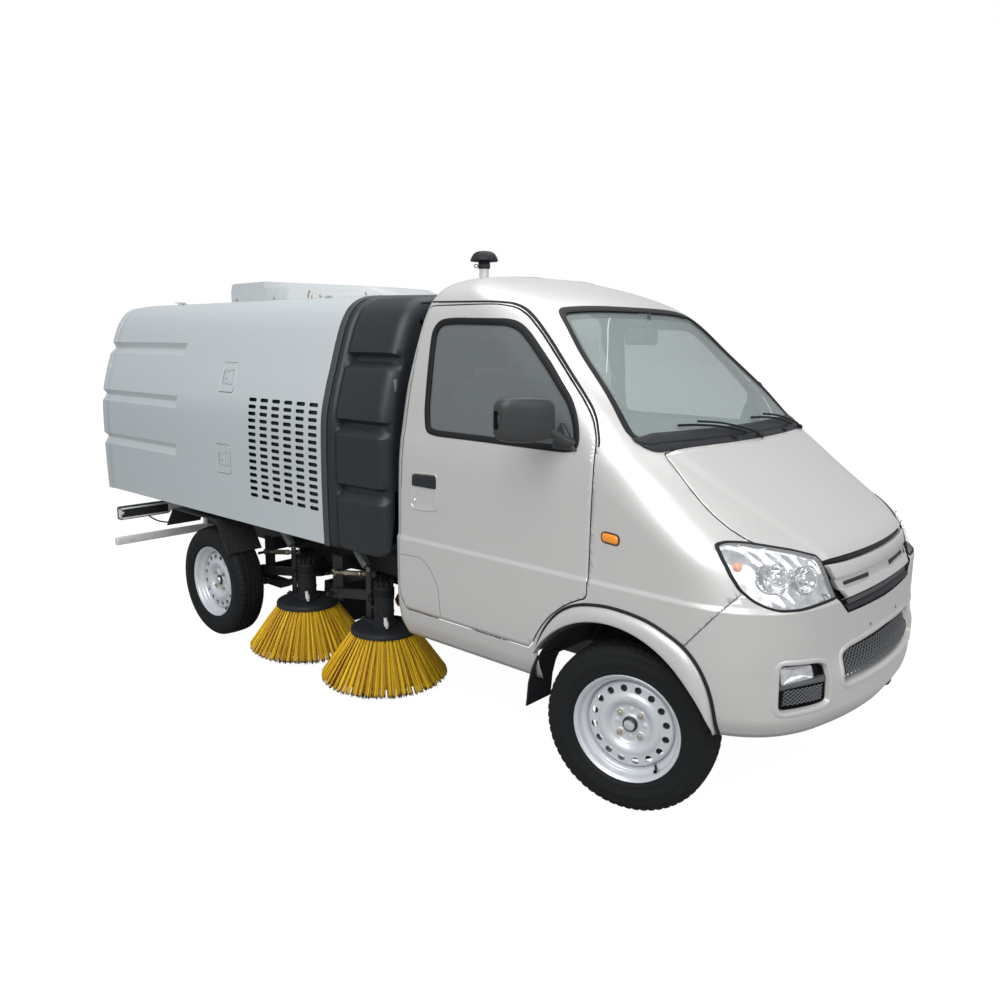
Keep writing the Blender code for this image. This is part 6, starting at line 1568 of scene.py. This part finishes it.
def boxY(z):
    # the box section's half width at a height
    return np.interp(z, sectionCurve[:, 1], sectionCurve[:, 0])


def sectionNormals(curve):
    run = unit(np.gradient(curve, axis=0))
    return np.stack([run[:, 1], -run[:, 0]], 1)


def grooveAt(x, z):
    # how far the surface lies inwards: a lean from the top edge, a short floor, a climb to the lower edge
    tall, ease = grooveHeight, 0.01
    depth = np.zeros(np.broadcast(x, z).shape)
    for top, end in boxGrooves:
        fall = top - z
        share = np.interp(fall, [0.0, 0.002, 0.35 * tall, 0.45 * tall, 0.95 * tall, tall],
                          [0.0, 0.15, 1.0, 1.0, 0.15, 0.0])
        share = np.where((fall < 0) | (fall > tall), 0.0, share)
        depth = np.maximum(depth, grooveDepth * share * np.clip((end - x) / ease, 0, 1))
    return depth


def rowsOf(z0, z1, places, tall, spacing):
    # even rows, closer where a groove turns
    marks = [np.linspace(z0, z1, int((z1 - z0) / spacing) + 2)]
    for top in places:
        marks.append(top - np.array([0.0, 0.0035, 0.15, 0.3, 0.45, 0.52, 0.6, 0.75, 0.9, 0.94, 1.0]) * (1,
                1, *[tall] * 9))
    rows = np.unique(np.concatenate(marks))
    return rows[(rows >= z0) & (rows <= z1)]


def sideSurface(name, xs, zs, side, inset=0.0):
    # y = section(z) less the groove's depth along the section's normal
    x, z = np.meshgrid(np.asarray(xs, float), np.asarray(zs, float))
    y = boxY(z)
    slope = np.gradient(sectionCurve[:, 0], sectionCurve[:, 1])
    lean = np.interp(z, sectionCurve[:, 1], slope)
    depth = (grooveAt(x, z) + inset) / np.sqrt(1 + np.minimum(lean ** 2, 9))
    grid = np.stack([x, side * (y - depth), z + lean * depth], -1)
    return gridMesh(name, grid, flip=side > 0)


def roundedSlot(width, height, count):
    # a slot with round ends, its points spread by angle like the cell's edge round it
    t = np.arange(count) * tau / count
    r = height / 2
    straight = width / 2 - r
    x, y = np.cos(t) * width / 2, np.sin(t) * r
    bow = np.sqrt(np.maximum(r * r - (np.abs(x) - straight) ** 2, 0))
    return np.stack([x, np.sign(y) * np.where(np.abs(x) > straight, bow, r)], 1)


def ventMesh(side):
    # each cell is a rectangle whose rings shrink onto a round-ended slot, then turn inwards as its wall
    f = ventField
    count = 24
    t = np.arange(count) * tau / count
    slot = roundedSlot(f["width"], f["height"], count)
    edge = np.stack([np.cos(t), np.sin(t)], 1)
    edge /= np.abs(edge).max(1, keepdims=True)
    edge = edge * (f["pitchX"] / 2, f["pitchZ"] / 2)
    shares = np.array([0.0, 0.12, 0.5, 1.0])[:, None, None]
    cell = slot[None] * (1 - shares) + edge[None] * shares
    cell = np.concatenate([slot[None], cell])
    depth = np.array([0.0015, 0.0, 0.0, 0.0, 0.0])
    i, j = np.meshgrid(np.arange(f["columns"]), np.arange(f["rows"]))
    centre = np.stack([f["x"] + f["width"] / 2 + f["pitchX"] * i.ravel(), f["z"] + f["pitchZ"] * j.ravel()],
                      1)
    flat = centre[:, None, None] + cell[None]
    y = boxY(flat[..., 1]) - depth[None, :, None]
    points = np.stack([flat[..., 0], side * y, flat[..., 1]], -1).reshape(-1, 3)
    one = gridFaces(len(cell), count, False, True)
    faces = (one[None] + np.arange(len(centre))[:, None, None] * len(cell) * count).reshape(-1, 4)
    return meshFrom("vents", points, faces if side > 0 else faces[:, ::-1])


def coverMesh(side):
    # the side panel round its vents, a lip below, a hem at the hinge and a return at each end
    f, p = ventField, boxPlaces
    x0 = f["x"] + f["width"] / 2 - f["pitchX"] / 2
    x1 = x0 + f["columns"] * f["pitchX"]
    z0 = f["z"] - f["pitchZ"] / 2
    z1 = z0 + f["rows"] * f["pitchZ"]
    rows = rowsOf(p["floor"] + 0.006, 1.8075, [g[0] for g in boxGrooves], grooveHeight, 0.02)
    ends = [g[1] for g in boxGrooves]
    left = np.unique(np.concatenate([np.linspace(p["coverRear"], x0, 30)]
                                    + [np.array([e, e - 0.003, e - 0.01]) for e in ends]))
    low, high = rows[rows < z0], rows[rows > z1]
    middle = np.linspace(x0, x1, 13)
    meshes = [sideSurface("left", left, rows, side), sideSurface("low", middle, np.append(low, z0), side),
              sideSurface("high", middle, np.append(z1, high), side),
              sideSurface("right", [x1, 0.5 * (x1 + p["coverFront"]), p["coverFront"] - 0.004], rows, side),
              ventMesh(side)]
    lip = np.array([(0.735, 0.6925), (0.752, 0.6925), (0.76, 0.6932), (0.764, 0.695), (0.76515, 0.696)])
    xs = np.linspace(p["coverRear"], p["coverFront"] - 0.004, 3)
    hem = np.array([(0.4275 + 0.003, 1.8075), (0.4285, 1.8065), (0.4278, 1.8)])
    for name, line in (("lip", lip), ("hem", hem)):
        meshes.append(gridMesh(name, placed(xs, side * line[:, :1], line[:, 1:]), flip=side > 0))
    for x, way in ((p["coverRear"], 1), (p["coverFront"] - 0.004, -1)):
        turn = [(0.0, 0.0), (-0.0012 * way, 0.0006), (-0.0022 * way * 0.6, 0.003), (-0.0014 * way, 0.018)]
        z, (dx, dn) = rows[:, None], np.array(turn).T[:, None]
        depth = grooveAt(np.full_like(z, x), z) + dn
        slope = np.interp(z, sectionCurve[:, 1], np.gradient(sectionCurve[:, 0], sectionCurve[:, 1]))
        scale = 1 / np.sqrt(1 + np.minimum(slope ** 2, 9))
        grid = placed(x + dx, side * (boxY(z) - depth * scale), z + slope * depth * scale)
        meshes.append(gridMesh("return", grid, flip=(side > 0) != (way > 0)))
    return cleaned(joinedMesh("cover", meshes), 3e-5, outward=False)


def stripAlong(name, x0, x1, lift, drop):
    # a strip across x that follows the whole section from one lower edge over the roof to the other
    curve = sectionCurve[sectionCurve[:, 1] >= boxPlaces["floor"]]
    normal = sectionNormals(curve)
    whole = np.vstack([curve * (-1, 1), curve[::-1][1:]])
    normals = np.vstack([normal * (-1, 1), normal[::-1][1:]])
    profile = np.array([(x0, -drop), (x0, 0.0), (x0 + 0.004, lift), (0.5 * (x0 + x1), lift + 0.001),
                        (x1 - 0.006, lift), (x1, -0.004), (x1, -drop)])
    grid = placed(profile[:, 0], whole[:, :1] + normals[:, :1] * profile[:, 1],
                  whole[:, 1:] + normals[:, 1:] * profile[:, 1])
    return cleaned(gridMesh(name, grid, False, True), 1e-5)


def latchMeshes(x, z, side):
    # a rounded plate with a raised rim, a paddle with a key barrel, and a dark patch of painted shade for the
    # opening beside it
    plate = roundedOutline([(-0.064, -0.073), (0.064, -0.073), (0.064, 0.073), (-0.064, 0.073)], 0.014, 5)
    hole = roundedOutline([(-0.047, -0.036), (0.046, -0.036), (0.046, 0.036), (-0.047, 0.036)], 0.004, 5)

    def laid(flat, out):
        flat = np.asarray(flat)
        depth = np.asarray(out)
        zz = z + flat[..., 1]
        slope = np.interp(zz, sectionCurve[:, 1], np.gradient(sectionCurve[:, 0], sectionCurve[:, 1]))
        scale = 1 / np.sqrt(1 + slope ** 2)
        return np.stack([x + flat[..., 0], side * (boxY(zz) + depth * scale), zz - slope * depth * scale],
                        -1)

    def rings(name, outlines, heights, closedCentre=False):
        grid = np.stack([laid(o, np.full(len(o), h)) for o, h in zip(outlines, heights)])
        points = grid.reshape(-1, 3)
        faces = gridFaces(len(outlines), len(outlines[0]), False, True)
        if closedCentre:
            ring = len(points) - len(outlines[0]) + np.arange(len(outlines[0]))
            points, faces = fanned(points, faces, ring, grid[-1].mean(0))
        return meshFrom(name, points, faces if side < 0 else faces[:, ::-1])

    inner = offsetOutline(plate, -0.006)
    rim = rings("rim", [plate, offsetOutline(plate, -0.0012), offsetOutline(plate, -0.0045), inner, hole,
                        hole], [0.0002, 0.0024, 0.0026, 0.0016, 0.0014, 0.0002])
    paddle = roundedOutline([(-0.046, -0.034), (0.02, -0.034), (0.02, 0.034), (-0.046, 0.034)], 0.003, 4)
    pad = rings("paddle", [paddle, offsetOutline(paddle, -0.001), offsetOutline(paddle, -0.004)],
                [0.0004, 0.003, 0.0036], True)
    normal = unit(laid(np.array([[0.0, 0.0]]), [0.01]) - laid(np.array([[0.0, 0.0]]), [0.0]))[0]
    key = lathe("key", [(0.0, 0.0034), (0.0028, 0.0034), (0.0032, 0.0048), (0.0068, 0.0045),
                        (0.0075, 0.003), (0.0075, 0.0)], laid(np.array([[-0.012, 0.0]]), [0.0018])[0],
                normal, 20)
    # the opening is a flat black patch of painted shade, joined below with the dark joint line round the
    # plate
    opening = roundedOutline([(0.018, -0.037), (0.048, -0.037), (0.048, 0.037), (0.018, 0.037)], 0.003, 5)
    line = rings("line", [offsetOutline(plate, 0.0022), offsetOutline(plate, 0.0018),
                          offsetOutline(plate, 0.0)], [-0.0004, 0.0006, 0.0006])
    dark = joinedMesh("well",
                      [rings("well", [opening, offsetOutline(opening, -0.002)], [0.001, 0.0018], True),
                       line])
    return joinedMesh("latchPlate", [rim, pad]), key, dark


def ductMesh():
    # a folded hood: upright sides behind, a hip that leans in towards the front, and a turned-out foot
    # x, foot half width, shoulder half width, shoulder height, crown height
    rows = [(-1.408, 0.318, 0.3, 1.885, 1.892), (-1.406, 0.326, 0.318, 1.9, 1.909),
            (-1.396, 0.33, 0.325, 1.912, 1.918), (-1.375, 0.33, 0.328, 1.918, 1.9205),
            (-1.064, 0.33, 0.328, 1.92, 1.9215), (-0.964, 0.33, 0.302, 1.9135, 1.915),
            (-0.864, 0.33, 0.28, 1.9075, 1.909), (-0.33, 0.33, 0.205, 1.8735, 1.875),
            (-0.3, 0.328, 0.195, 1.868, 1.87), (-0.205, 0.326, 0.18, 1.835, 1.842),
            (-0.159, 0.325, 0.17, 1.8215, 1.832)]
    grid = []
    for x, footHalf, top, topZ, crown in rows:
        base = np.interp(footHalf, [0.0, 0.25, 0.4275], [1.8305, 1.818, 1.8088])
        hip = footHalf - 0.0006 if x < -0.9 else top + 0.3 * (footHalf - top)
        half = [(footHalf, base + 0.0015), (footHalf, base + 0.004), (hip, base + 0.7 * (topZ - base)),
                (top, topZ - 0.0015), (top - 0.004, topZ), (0.5 * top, 0.5 * (topZ + crown)), (0.0, crown)]
        grid.append([(x, -y, z) for y, z in half] + [(x, y, z) for y, z in half[-2::-1]])
    grid = np.array(grid)
    points, faces = grid.reshape(-1, 3), gridFaces(len(grid), grid.shape[1])
    for row in (0, len(grid) - 1):
        ring = row * grid.shape[1] + np.arange(grid.shape[1])
        points, faces = fanned(points, faces, ring, grid[row].mean(0) * (1, 0, 1))
    return cleaned(meshFrom("ductHood", points, faces), 1e-5)


def boltHead(x, y, z, normal=(0, 0, 1), size=0.006):
    # a washer and a hexagon
    return joinedMesh("bolt",
                      [lathe("washer", [(0.0, 0.0012), (1.35 * size, 0.001), (1.4 * size, 0.0)], (x, y, z),
                             normal, 18), lathe("head", [(0.0, 0.0052), (0.82 * size, 0.0052),
            (size, 0.0042), (size, 0.0008)], (x, y, z), normal, 6)])


def makeTank():
    # the box section set in by a profile over x, and by each groove's depth along the normal
    x0, x1 = 0.038, 0.405
    profile = np.array([(x0, 0.3), (x0, 0.02), (x0 + 0.002, 0.007), (x0 + 0.006, 0.004),
                        (x0 + 0.026, 0.0036), (x0 + 0.032, 0.0065), (x0 + 0.037, 0.014),
                        (x0 + 0.043, 0.0165), (x0 + 0.048, 0.016), (x0 + 0.056, 0.012),
                        (x0 + 0.066, 0.0098), (x0 + 0.09, 0.0086), (x0 + 0.15, 0.0078), (x0 + 0.22, 0.0078),
                        (x0 + 0.28, 0.0088), (x0 + 0.31, 0.011), (x0 + 0.328, 0.016), (x0 + 0.342, 0.024),
                        (x0 + 0.352, 0.034), (x0 + 0.36, 0.046), (x0 + 0.365, 0.06), (x1, 0.08), (x1, 0.3)])
    bottom = np.array([(0.2, 0.6755), (0.5, 0.6755), (0.7, 0.6755), (0.728, 0.6765), (0.748, 0.683),
                       (0.76, 0.695), (0.7655, 0.712)])
    side = sectionCurve[sectionCurve[:, 1] > 0.722]
    marks = rowsOf(0.722, 1.79, tankGrooves, 0.074, 0.03)
    side = np.vstack([np.stack([boxY(marks), marks], 1), side[side[:, 1] > 1.79][::3], [[0.0, 1.83]]])
    curve = np.vstack([bottom, side])
    normal = sectionNormals(curve)
    normal[-1] = (0.0, 1.0)
    x, inset = profile[:, 0][None], profile[:, 1][None]
    z = curve[:, 1][:, None]
    depth = np.zeros((len(curve), len(profile)))
    for top in tankGrooves:
        fall = top - z
        share = np.interp(fall, [0.0, 0.004, 0.014, 0.03, 0.06, 0.068, 0.074],
                          [0.0, 0.25, 1.0, 0.92, 0.3, 0.1, 0.0])
        share = np.where((fall < 0) | (fall > 0.074), 0.0, share)
        depth = np.maximum(depth, 0.034 * share * np.clip((x - (x0 + 0.046)) / 0.01, 0,
                1) * np.clip((x1 + 0.002 - x) / 0.02, 0, 1))
    total = np.minimum(inset + depth, np.maximum(inset, 0.052))
    y = np.maximum(curve[:, :1] - total * np.abs(normal[:, :1]), 0.0)
    zz = curve[:, 1:] - total * normal[:, 1:]
    half = np.stack([np.broadcast_to(x, y.shape), y, zz], -1)
    whole = np.concatenate([half, half[-2::-1] * (1, -1, 1)])
    mesh = gridMesh("waterTankBands", whole, True, True)
    cleaned(mesh, 1e-5)
    objectOf(mesh, "tankPlastic", replaced=("water_tank",), sharp=45)
    catches = [roundedBox("catch", (x1 - 0.028, side * 0.68 - 0.008, 1.394),
                          (x1 - 0.004, side * 0.68 + 0.008, 1.446), 0.003) for side in sides.values()]
    objectOf(joinedMesh("tankCatches", catches), "cylinderGrey")


def rearDoorMesh():
    # a rounded edge carried down the section, its inner points drawn in to the middle
    p = boxPlaces
    rows = rowsOf(p["floor"] + 0.002, 1.829, [g[0] for g in boxGrooves], grooveHeight, 0.022)
    slope = np.interp(rows, sectionCurve[:, 1], np.gradient(sectionCurve[:, 0], sectionCurve[:, 1]))
    scale = 1 / np.sqrt(1 + np.minimum(slope ** 2, 9))
    edge = np.array([(p["doorFront"], 0.02), (p["doorFront"], 0.0012), (p["doorFront"] - 0.0012, 0.0),
                     (p["rear"] + 0.01, 0.0), (p["rear"] + 0.0062, 0.0008), (p["rear"] + 0.0028, 0.003),
                     (p["rear"] + 0.0008, 0.0066), (p["rear"], 0.011)])
    x, q = edge[:, 0][None], edge[:, 1][None]
    depth = grooveAt(-2.19, rows)[:, None]
    inward = (q + depth) * scale[:, None]
    line = np.stack([x + np.where(x < p["rear"] + 0.011, 0.7 * depth, 0.0),
                     np.maximum(boxY(rows)[:, None] - inward, 0.0),
                     rows[:, None] + slope[:, None] * inward], -1)
    shares = np.linspace(1.0, 0.0, 22)[1:]
    flat = line[:, -1:] * np.stack([shares ** 0, shares, shares ** 0], 1)
    half = np.concatenate([line, flat], 1)
    whole = np.concatenate([half, half[:, -2::-1] * (1, -1, 1)], 1)
    return cleaned(gridMesh("rearDoorSkin", whole), 2e-5)


def makeBox():
    # covers with latches and linings, rear door, front trim, duct, lifting eyes and intake
    p = boxPlaces
    for name, side in sides.items():
        body = f"side_cover_{name}"
        cover = coverMesh(side)
        cover.name = f"coverSkin.{name}"
        objectOf(cover, "boxPaint", body, replaced=(body,), sharp=28)
        # a black sheet behind the vents paints the shade inside the box
        backing = sideSurface(f"ventShadeBacking.{name}", [-0.61, -0.3, -0.01], np.linspace(0.8, 1.4, 12), side,
                              0.016)
        thickened(objectOf(backing, "blackPlastic", body, sharp=0), 0.004, 0)
        for number, (x, z) in enumerate(latches):
            plate, key, dark = latchMeshes(x, z, side)
            for mesh, part, look, sharp in ((plate, "latchPlate", "boxPaint", 30),
                                            (key, "latchKey", "chrome", 40),
                                            (dark, "latchShadeAndSeam", "sealRubber", 40)):
                mesh.name = f"{part}{number}.{name}"
                objectOf(mesh, look, body, sharp=sharp)
        # the lining wears the darker copy of the box paint, painted shade inside the cover
        inner = np.linspace(p["floor"] + 0.02, 1.79, 30)
        lining = sideSurface(f"coverLining.{name}",
                             np.linspace(p["coverRear"] + 0.01, p["coverFront"] - 0.01, 14), inner, side,
                             0.024)
        thickened(objectOf(lining, "boxInner", body, sharp=0), 0.002, 0)
    objectOf(rearDoorMesh(), "boxPaint", "rear_door", replaced=("rear_door",), sharp=28)
    bars = [(side * 0.7 - 0.03, side * 0.7 + 0.03, 0.72, 1.45) for side in sides.values()]
    bars += [(-0.7, 0.7, 0.7, 0.745), (-0.58, 0.58, 1.66, 1.715)]
    inside = [roundedBox("bar", (p["doorFront"] - 0.028, y0, z0), (p["doorFront"] - 0.002, y1, z1)) for y0,
              y1, z0, z1 in bars]
    objectOf(joinedMesh("rearDoorFrame", inside), "boxPaint", "rear_door")
    trim = stripAlong("boxFrontTrim", 0.0005, 0.0335, -0.0008, 0.03)
    objectOf(trim, "trimGrey", sharp=35)
    objectOf(ductMesh(), "ductPaint", replaced=("roof_duct",), sharp=22)
    fixings = []
    for side in sides.values():
        for x in (-1.342, -0.97, -0.56, -0.2):
            fixings.append(boltHead(x, side * 0.3305, 1.828, (0, side, 0), 0.0065))
    objectOf(joinedMesh("ductBolts", fixings), "zinc")
    for side in sides.values():
        foot = lathe("foot", [(0.0, 0.004), (0.011, 0.004), (0.012, 0.0)], (-0.56, side * 0.395, 1.8105),
                     steps=24)
        t = np.linspace(0, math.pi, 22)
        loop = placed(-0.56 - 0.016 * np.cos(t), side * 0.395, 1.8145 + 0.034 * np.sin(t))
        eye = joinedMesh(f"liftingEye{side}", [foot, tube("loop", loop, 0.0042, 12)])
        objectOf(eye, "zinc")
    x = 0.268
    pipe = lathe("intakePipe", [(0.0, 1.832), (0.0275, 1.832), (0.0275, 1.836), (0.0222, 1.8375),
                                (0.0222, 1.945), (0.0, 1.945)], (x, 0, 0), steps=48)
    objectOf(pipe, "whiteSteel", replaced=("air_intake",))
    cap = lathe("intakeCap", [(0.0, 1.94), (0.0268, 1.94), (0.0275, 1.943), (0.0275, 1.972),
                              (0.056, 1.9735), (0.064, 1.974), (0.066, 1.977), (0.0655, 1.98),
                              (0.063, 1.986), (0.0585, 1.996), (0.052, 2.006), (0.044, 2.013),
                              (0.033, 2.018), (0.018, 2.0203), (0.0, 2.0208)], (x, 0, 0), steps=72)
    objectOf(cap, "blackPlastic")
    band = lathe("band", [(0.0272, 1.946), (0.029, 1.9465), (0.029, 1.9585), (0.0272, 1.959)], (x, 0, 0),
                 steps=48)
    t = np.linspace(0, tau, 20)[:-1]
    forward = unit(np.array((-0.74, -0.68, 0.0)))
    loop = (x, 0, 1.9525) + (0.0375 + 0.0085 * np.cos(t))[:, None] * forward
    loop[:, 2] += 0.0075 * np.sin(t)
    objectOf(joinedMesh("intakeClamp", [band, tube("clampLoop", loop, 0.0022, 10, True)]), "blackSteel")
    print("box done")


def makeRearBars():
    # two bars, a framed lamp box on each side of the upper one, and its wire
    steel, lamps, lenses = [], [], []
    steel.append(roundedBox("lowBar", (-1.855, -0.9, 0.4), (-1.825, 0.9, 0.445), 0.006, 3))
    steel.append(roundedBox("highBar", (-1.854, -0.56, 0.56), (-1.826, 0.56, 0.61), 0.006, 3))
    for side in sides.values():
        for y, z in ((0.82, 0.4225), (0.56, 0.4225), (0.855, 0.59)):
            steel.append(lathe("hole", [(0.0, 0.0006), (0.0085, 0.0006), (0.01, 0.0)],
                               (-1.8252, side * y, z), (1, 0, 0), 20))
        low, high = sorted((side * 0.56, side * 0.866))
        lamps.append(roundedBox("lampBox", (-1.8785, low, 0.546), (-1.832, high, 0.62), 0.006, 3))
        for frameLow, frameHigh in (((low - 0.004, 0.552), (high + 0.004, 0.561)),
                                    ((low - 0.004, 0.609), (high + 0.004, 0.618)),
                                    ((low - 0.004, 0.552), (low + 0.007, 0.618)),
                                    ((high - 0.007, 0.552), (high + 0.004, 0.618))):
            steel.append(roundedBox("lampFrame", (-1.85, *frameLow), (-1.826, *frameHigh), 0.002, 2))
        rim = roundedOutline([(low + 0.006, 0.5455), (high - 0.006, 0.5455), (high - 0.006, 0.62),
                              (low + 0.006, 0.62)], 0.01, 4)
        path = np.column_stack([np.full(len(rim), -1.8785), rim])
        lamps.append(tube("lampRim", path, 0.0022, 8, True))
        for k, (share, colour) in enumerate(((0.0, "redLens"), (0.36, "redLens"), (0.7, "amber"))):
            near = side * (0.866 - 0.01 - share * 0.286)
            far = side * (0.866 - 0.01 - (share + 0.3) * 0.286)
            a, b = sorted((near, far))
            lenses.append((roundedBox("lens", (-1.8815, a, 0.55), (-1.877, b, 0.6155), 0.003, 2), colour, k,
                           side))
        steel.append(roundedBox("hanger", (-1.83, min(side * 0.26, side * 0.34), 0.44),
                                (-1.79, max(side * 0.26, side * 0.34), 0.6), 0.004))
    objectOf(joinedMesh("rearBars", steel), "whiteSteel", replaced=("rear_bumper",), sharp=30)
    objectOf(joinedMesh("rearLampBoxes", lamps), "blackPlastic", sharp=30)
    for mesh, colour, k, side in lenses:
        mesh.name = f"rearLens{k}.{'left' if side > 0 else 'right'}"
        objectOf(mesh, colour)
    wires = []
    for side in sides.values():
        path = smoothPath([(-1.843, side * 0.7, 0.56), (-1.825, side * 0.69, 0.545),
                           (-1.8, side * 0.64, 0.512), (-1.78, side * 0.56, 0.5),
                           (-1.772, side * 0.47, 0.52), (-1.785, side * 0.392, 0.548),
                           (-1.8, side * 0.336, 0.552)], 12)
        wires.append(tube("wire", path, 0.0045, 10))
    objectOf(joinedMesh("lampWires", wires), "sealRubber")
    print("rear bars done")


makeTank()
makeBox()
makeRearBars()


camera = {"place": (3.0218, -3.0338, 1.5996), "yaw": 132.59, "pitch": -9.979, "roll": 0.387,
          "lens": 30.36, "shiftX": 0.02284, "shiftY": -0.00953}


def makeCamera():
    # stands at one place and turns by yaw, pitch and roll
    data = bpy.data.cameras.new("camera")
    data.lens, data.sensor_width = camera["lens"], 36.0
    data.shift_x, data.shift_y = camera["shiftX"], camera["shiftY"]
    data.clip_end = 200.0
    made = bpy.data.objects.new("camera", data)
    bpy.context.scene.collection.objects.link(made)
    yaw, pitch, roll = (math.radians(camera[k]) for k in ("yaw", "pitch", "roll"))
    forward = Vector((math.cos(pitch) * math.cos(yaw), math.cos(pitch) * math.sin(yaw), math.sin(pitch)))
    right = Vector((math.sin(yaw), -math.cos(yaw), 0.0))
    up = right.cross(forward)
    rolledRight = math.cos(roll) * right + math.sin(roll) * up
    rolledUp = -math.sin(roll) * right + math.cos(roll) * up
    made.matrix_world = Matrix((
        (rolledRight.x, rolledUp.x, -forward.x, camera["place"][0]),
        (rolledRight.y, rolledUp.y, -forward.y, camera["place"][1]),
        (rolledRight.z, rolledUp.z, -forward.z, camera["place"][2]),
        (0, 0, 0, 1)))
    bpy.context.scene.camera = made


def makeStage():
    # a floor that keeps the shadow and glows to the camera and through glass, a pale world and three lamps
    floor = meshFrom("floor", [(-60, -60, 0), (60, -60, 0), (60, 60, 0), (-60, 60, 0)], [(0, 1, 2, 3)])
    material = newMaterial("floorWhite", (0.38, 0.38, 0.38), 0.9)
    tree = material.node_tree
    path = addNode(tree, "LightPath").outputs
    seen = addNode(tree, "Math", {0: path["Is Camera Ray"], 1: path["Is Transmission Ray"]},
                   operation="MAXIMUM")
    share = addNode(tree, "Math", {0: seen.outputs[0], 1: 0.8}, operation="MULTIPLY")
    glow = addNode(tree, "Emission", {"Strength": 1.22})
    plain = tree.nodes["Principled BSDF"]
    mix = addNode(tree, "MixShader", {"Fac": share.outputs[0], 1: plain.outputs[0], 2: glow.outputs[0]})
    tree.links.new(mix.outputs[0], tree.nodes["Material Output"].inputs["Surface"])
    objectOf(floor, material, "stage", sharp=0)

    world = bpy.data.worlds.new("studio")
    bpy.context.scene.world = world
    world.use_nodes = True
    tree = world.node_tree
    background = tree.nodes["Background"]
    background.inputs["Color"].default_value = (0.92, 0.95, 1.0, 1.0)
    background.inputs["Strength"].default_value = 0.55
    white = addNode(tree, "Background", {"Color": (1, 1, 1, 1)})
    path = addNode(tree, "LightPath").outputs
    mix = addNode(tree, "MixShader", {"Fac": path["Is Camera Ray"], 1: background.outputs[0],
                                      2: white.outputs[0]})
    tree.links.new(mix.outputs[0], tree.nodes["World Output"].inputs["Surface"])

    # name, place, target, width, power
    lamps = (("key", (3.0, -5.5, 6.0), (0, 0, 0.8), 6.0, 400),
             ("front", (7.5, -0.5, 4.0), (1, 0, 0.8), 5.0, 95),
             ("top", (0, 1.5, 7.5), (0, 0, 0.8), 7.0, 260))
    for name, place, target, size, power in lamps:
        data = bpy.data.lights.new(name, "AREA")
        data.shape, data.size, data.energy = "DISK", size, power
        made = bpy.data.objects.new(name, data)
        made.location = place
        made.rotation_euler = (Vector(target) - Vector(place)).to_track_quat("-Z", "Y").to_euler()
        bpy.context.scene.collection.objects.link(made)


makeCamera()
makeStage()
bpy.context.scene.view_settings.view_transform = "Standard"
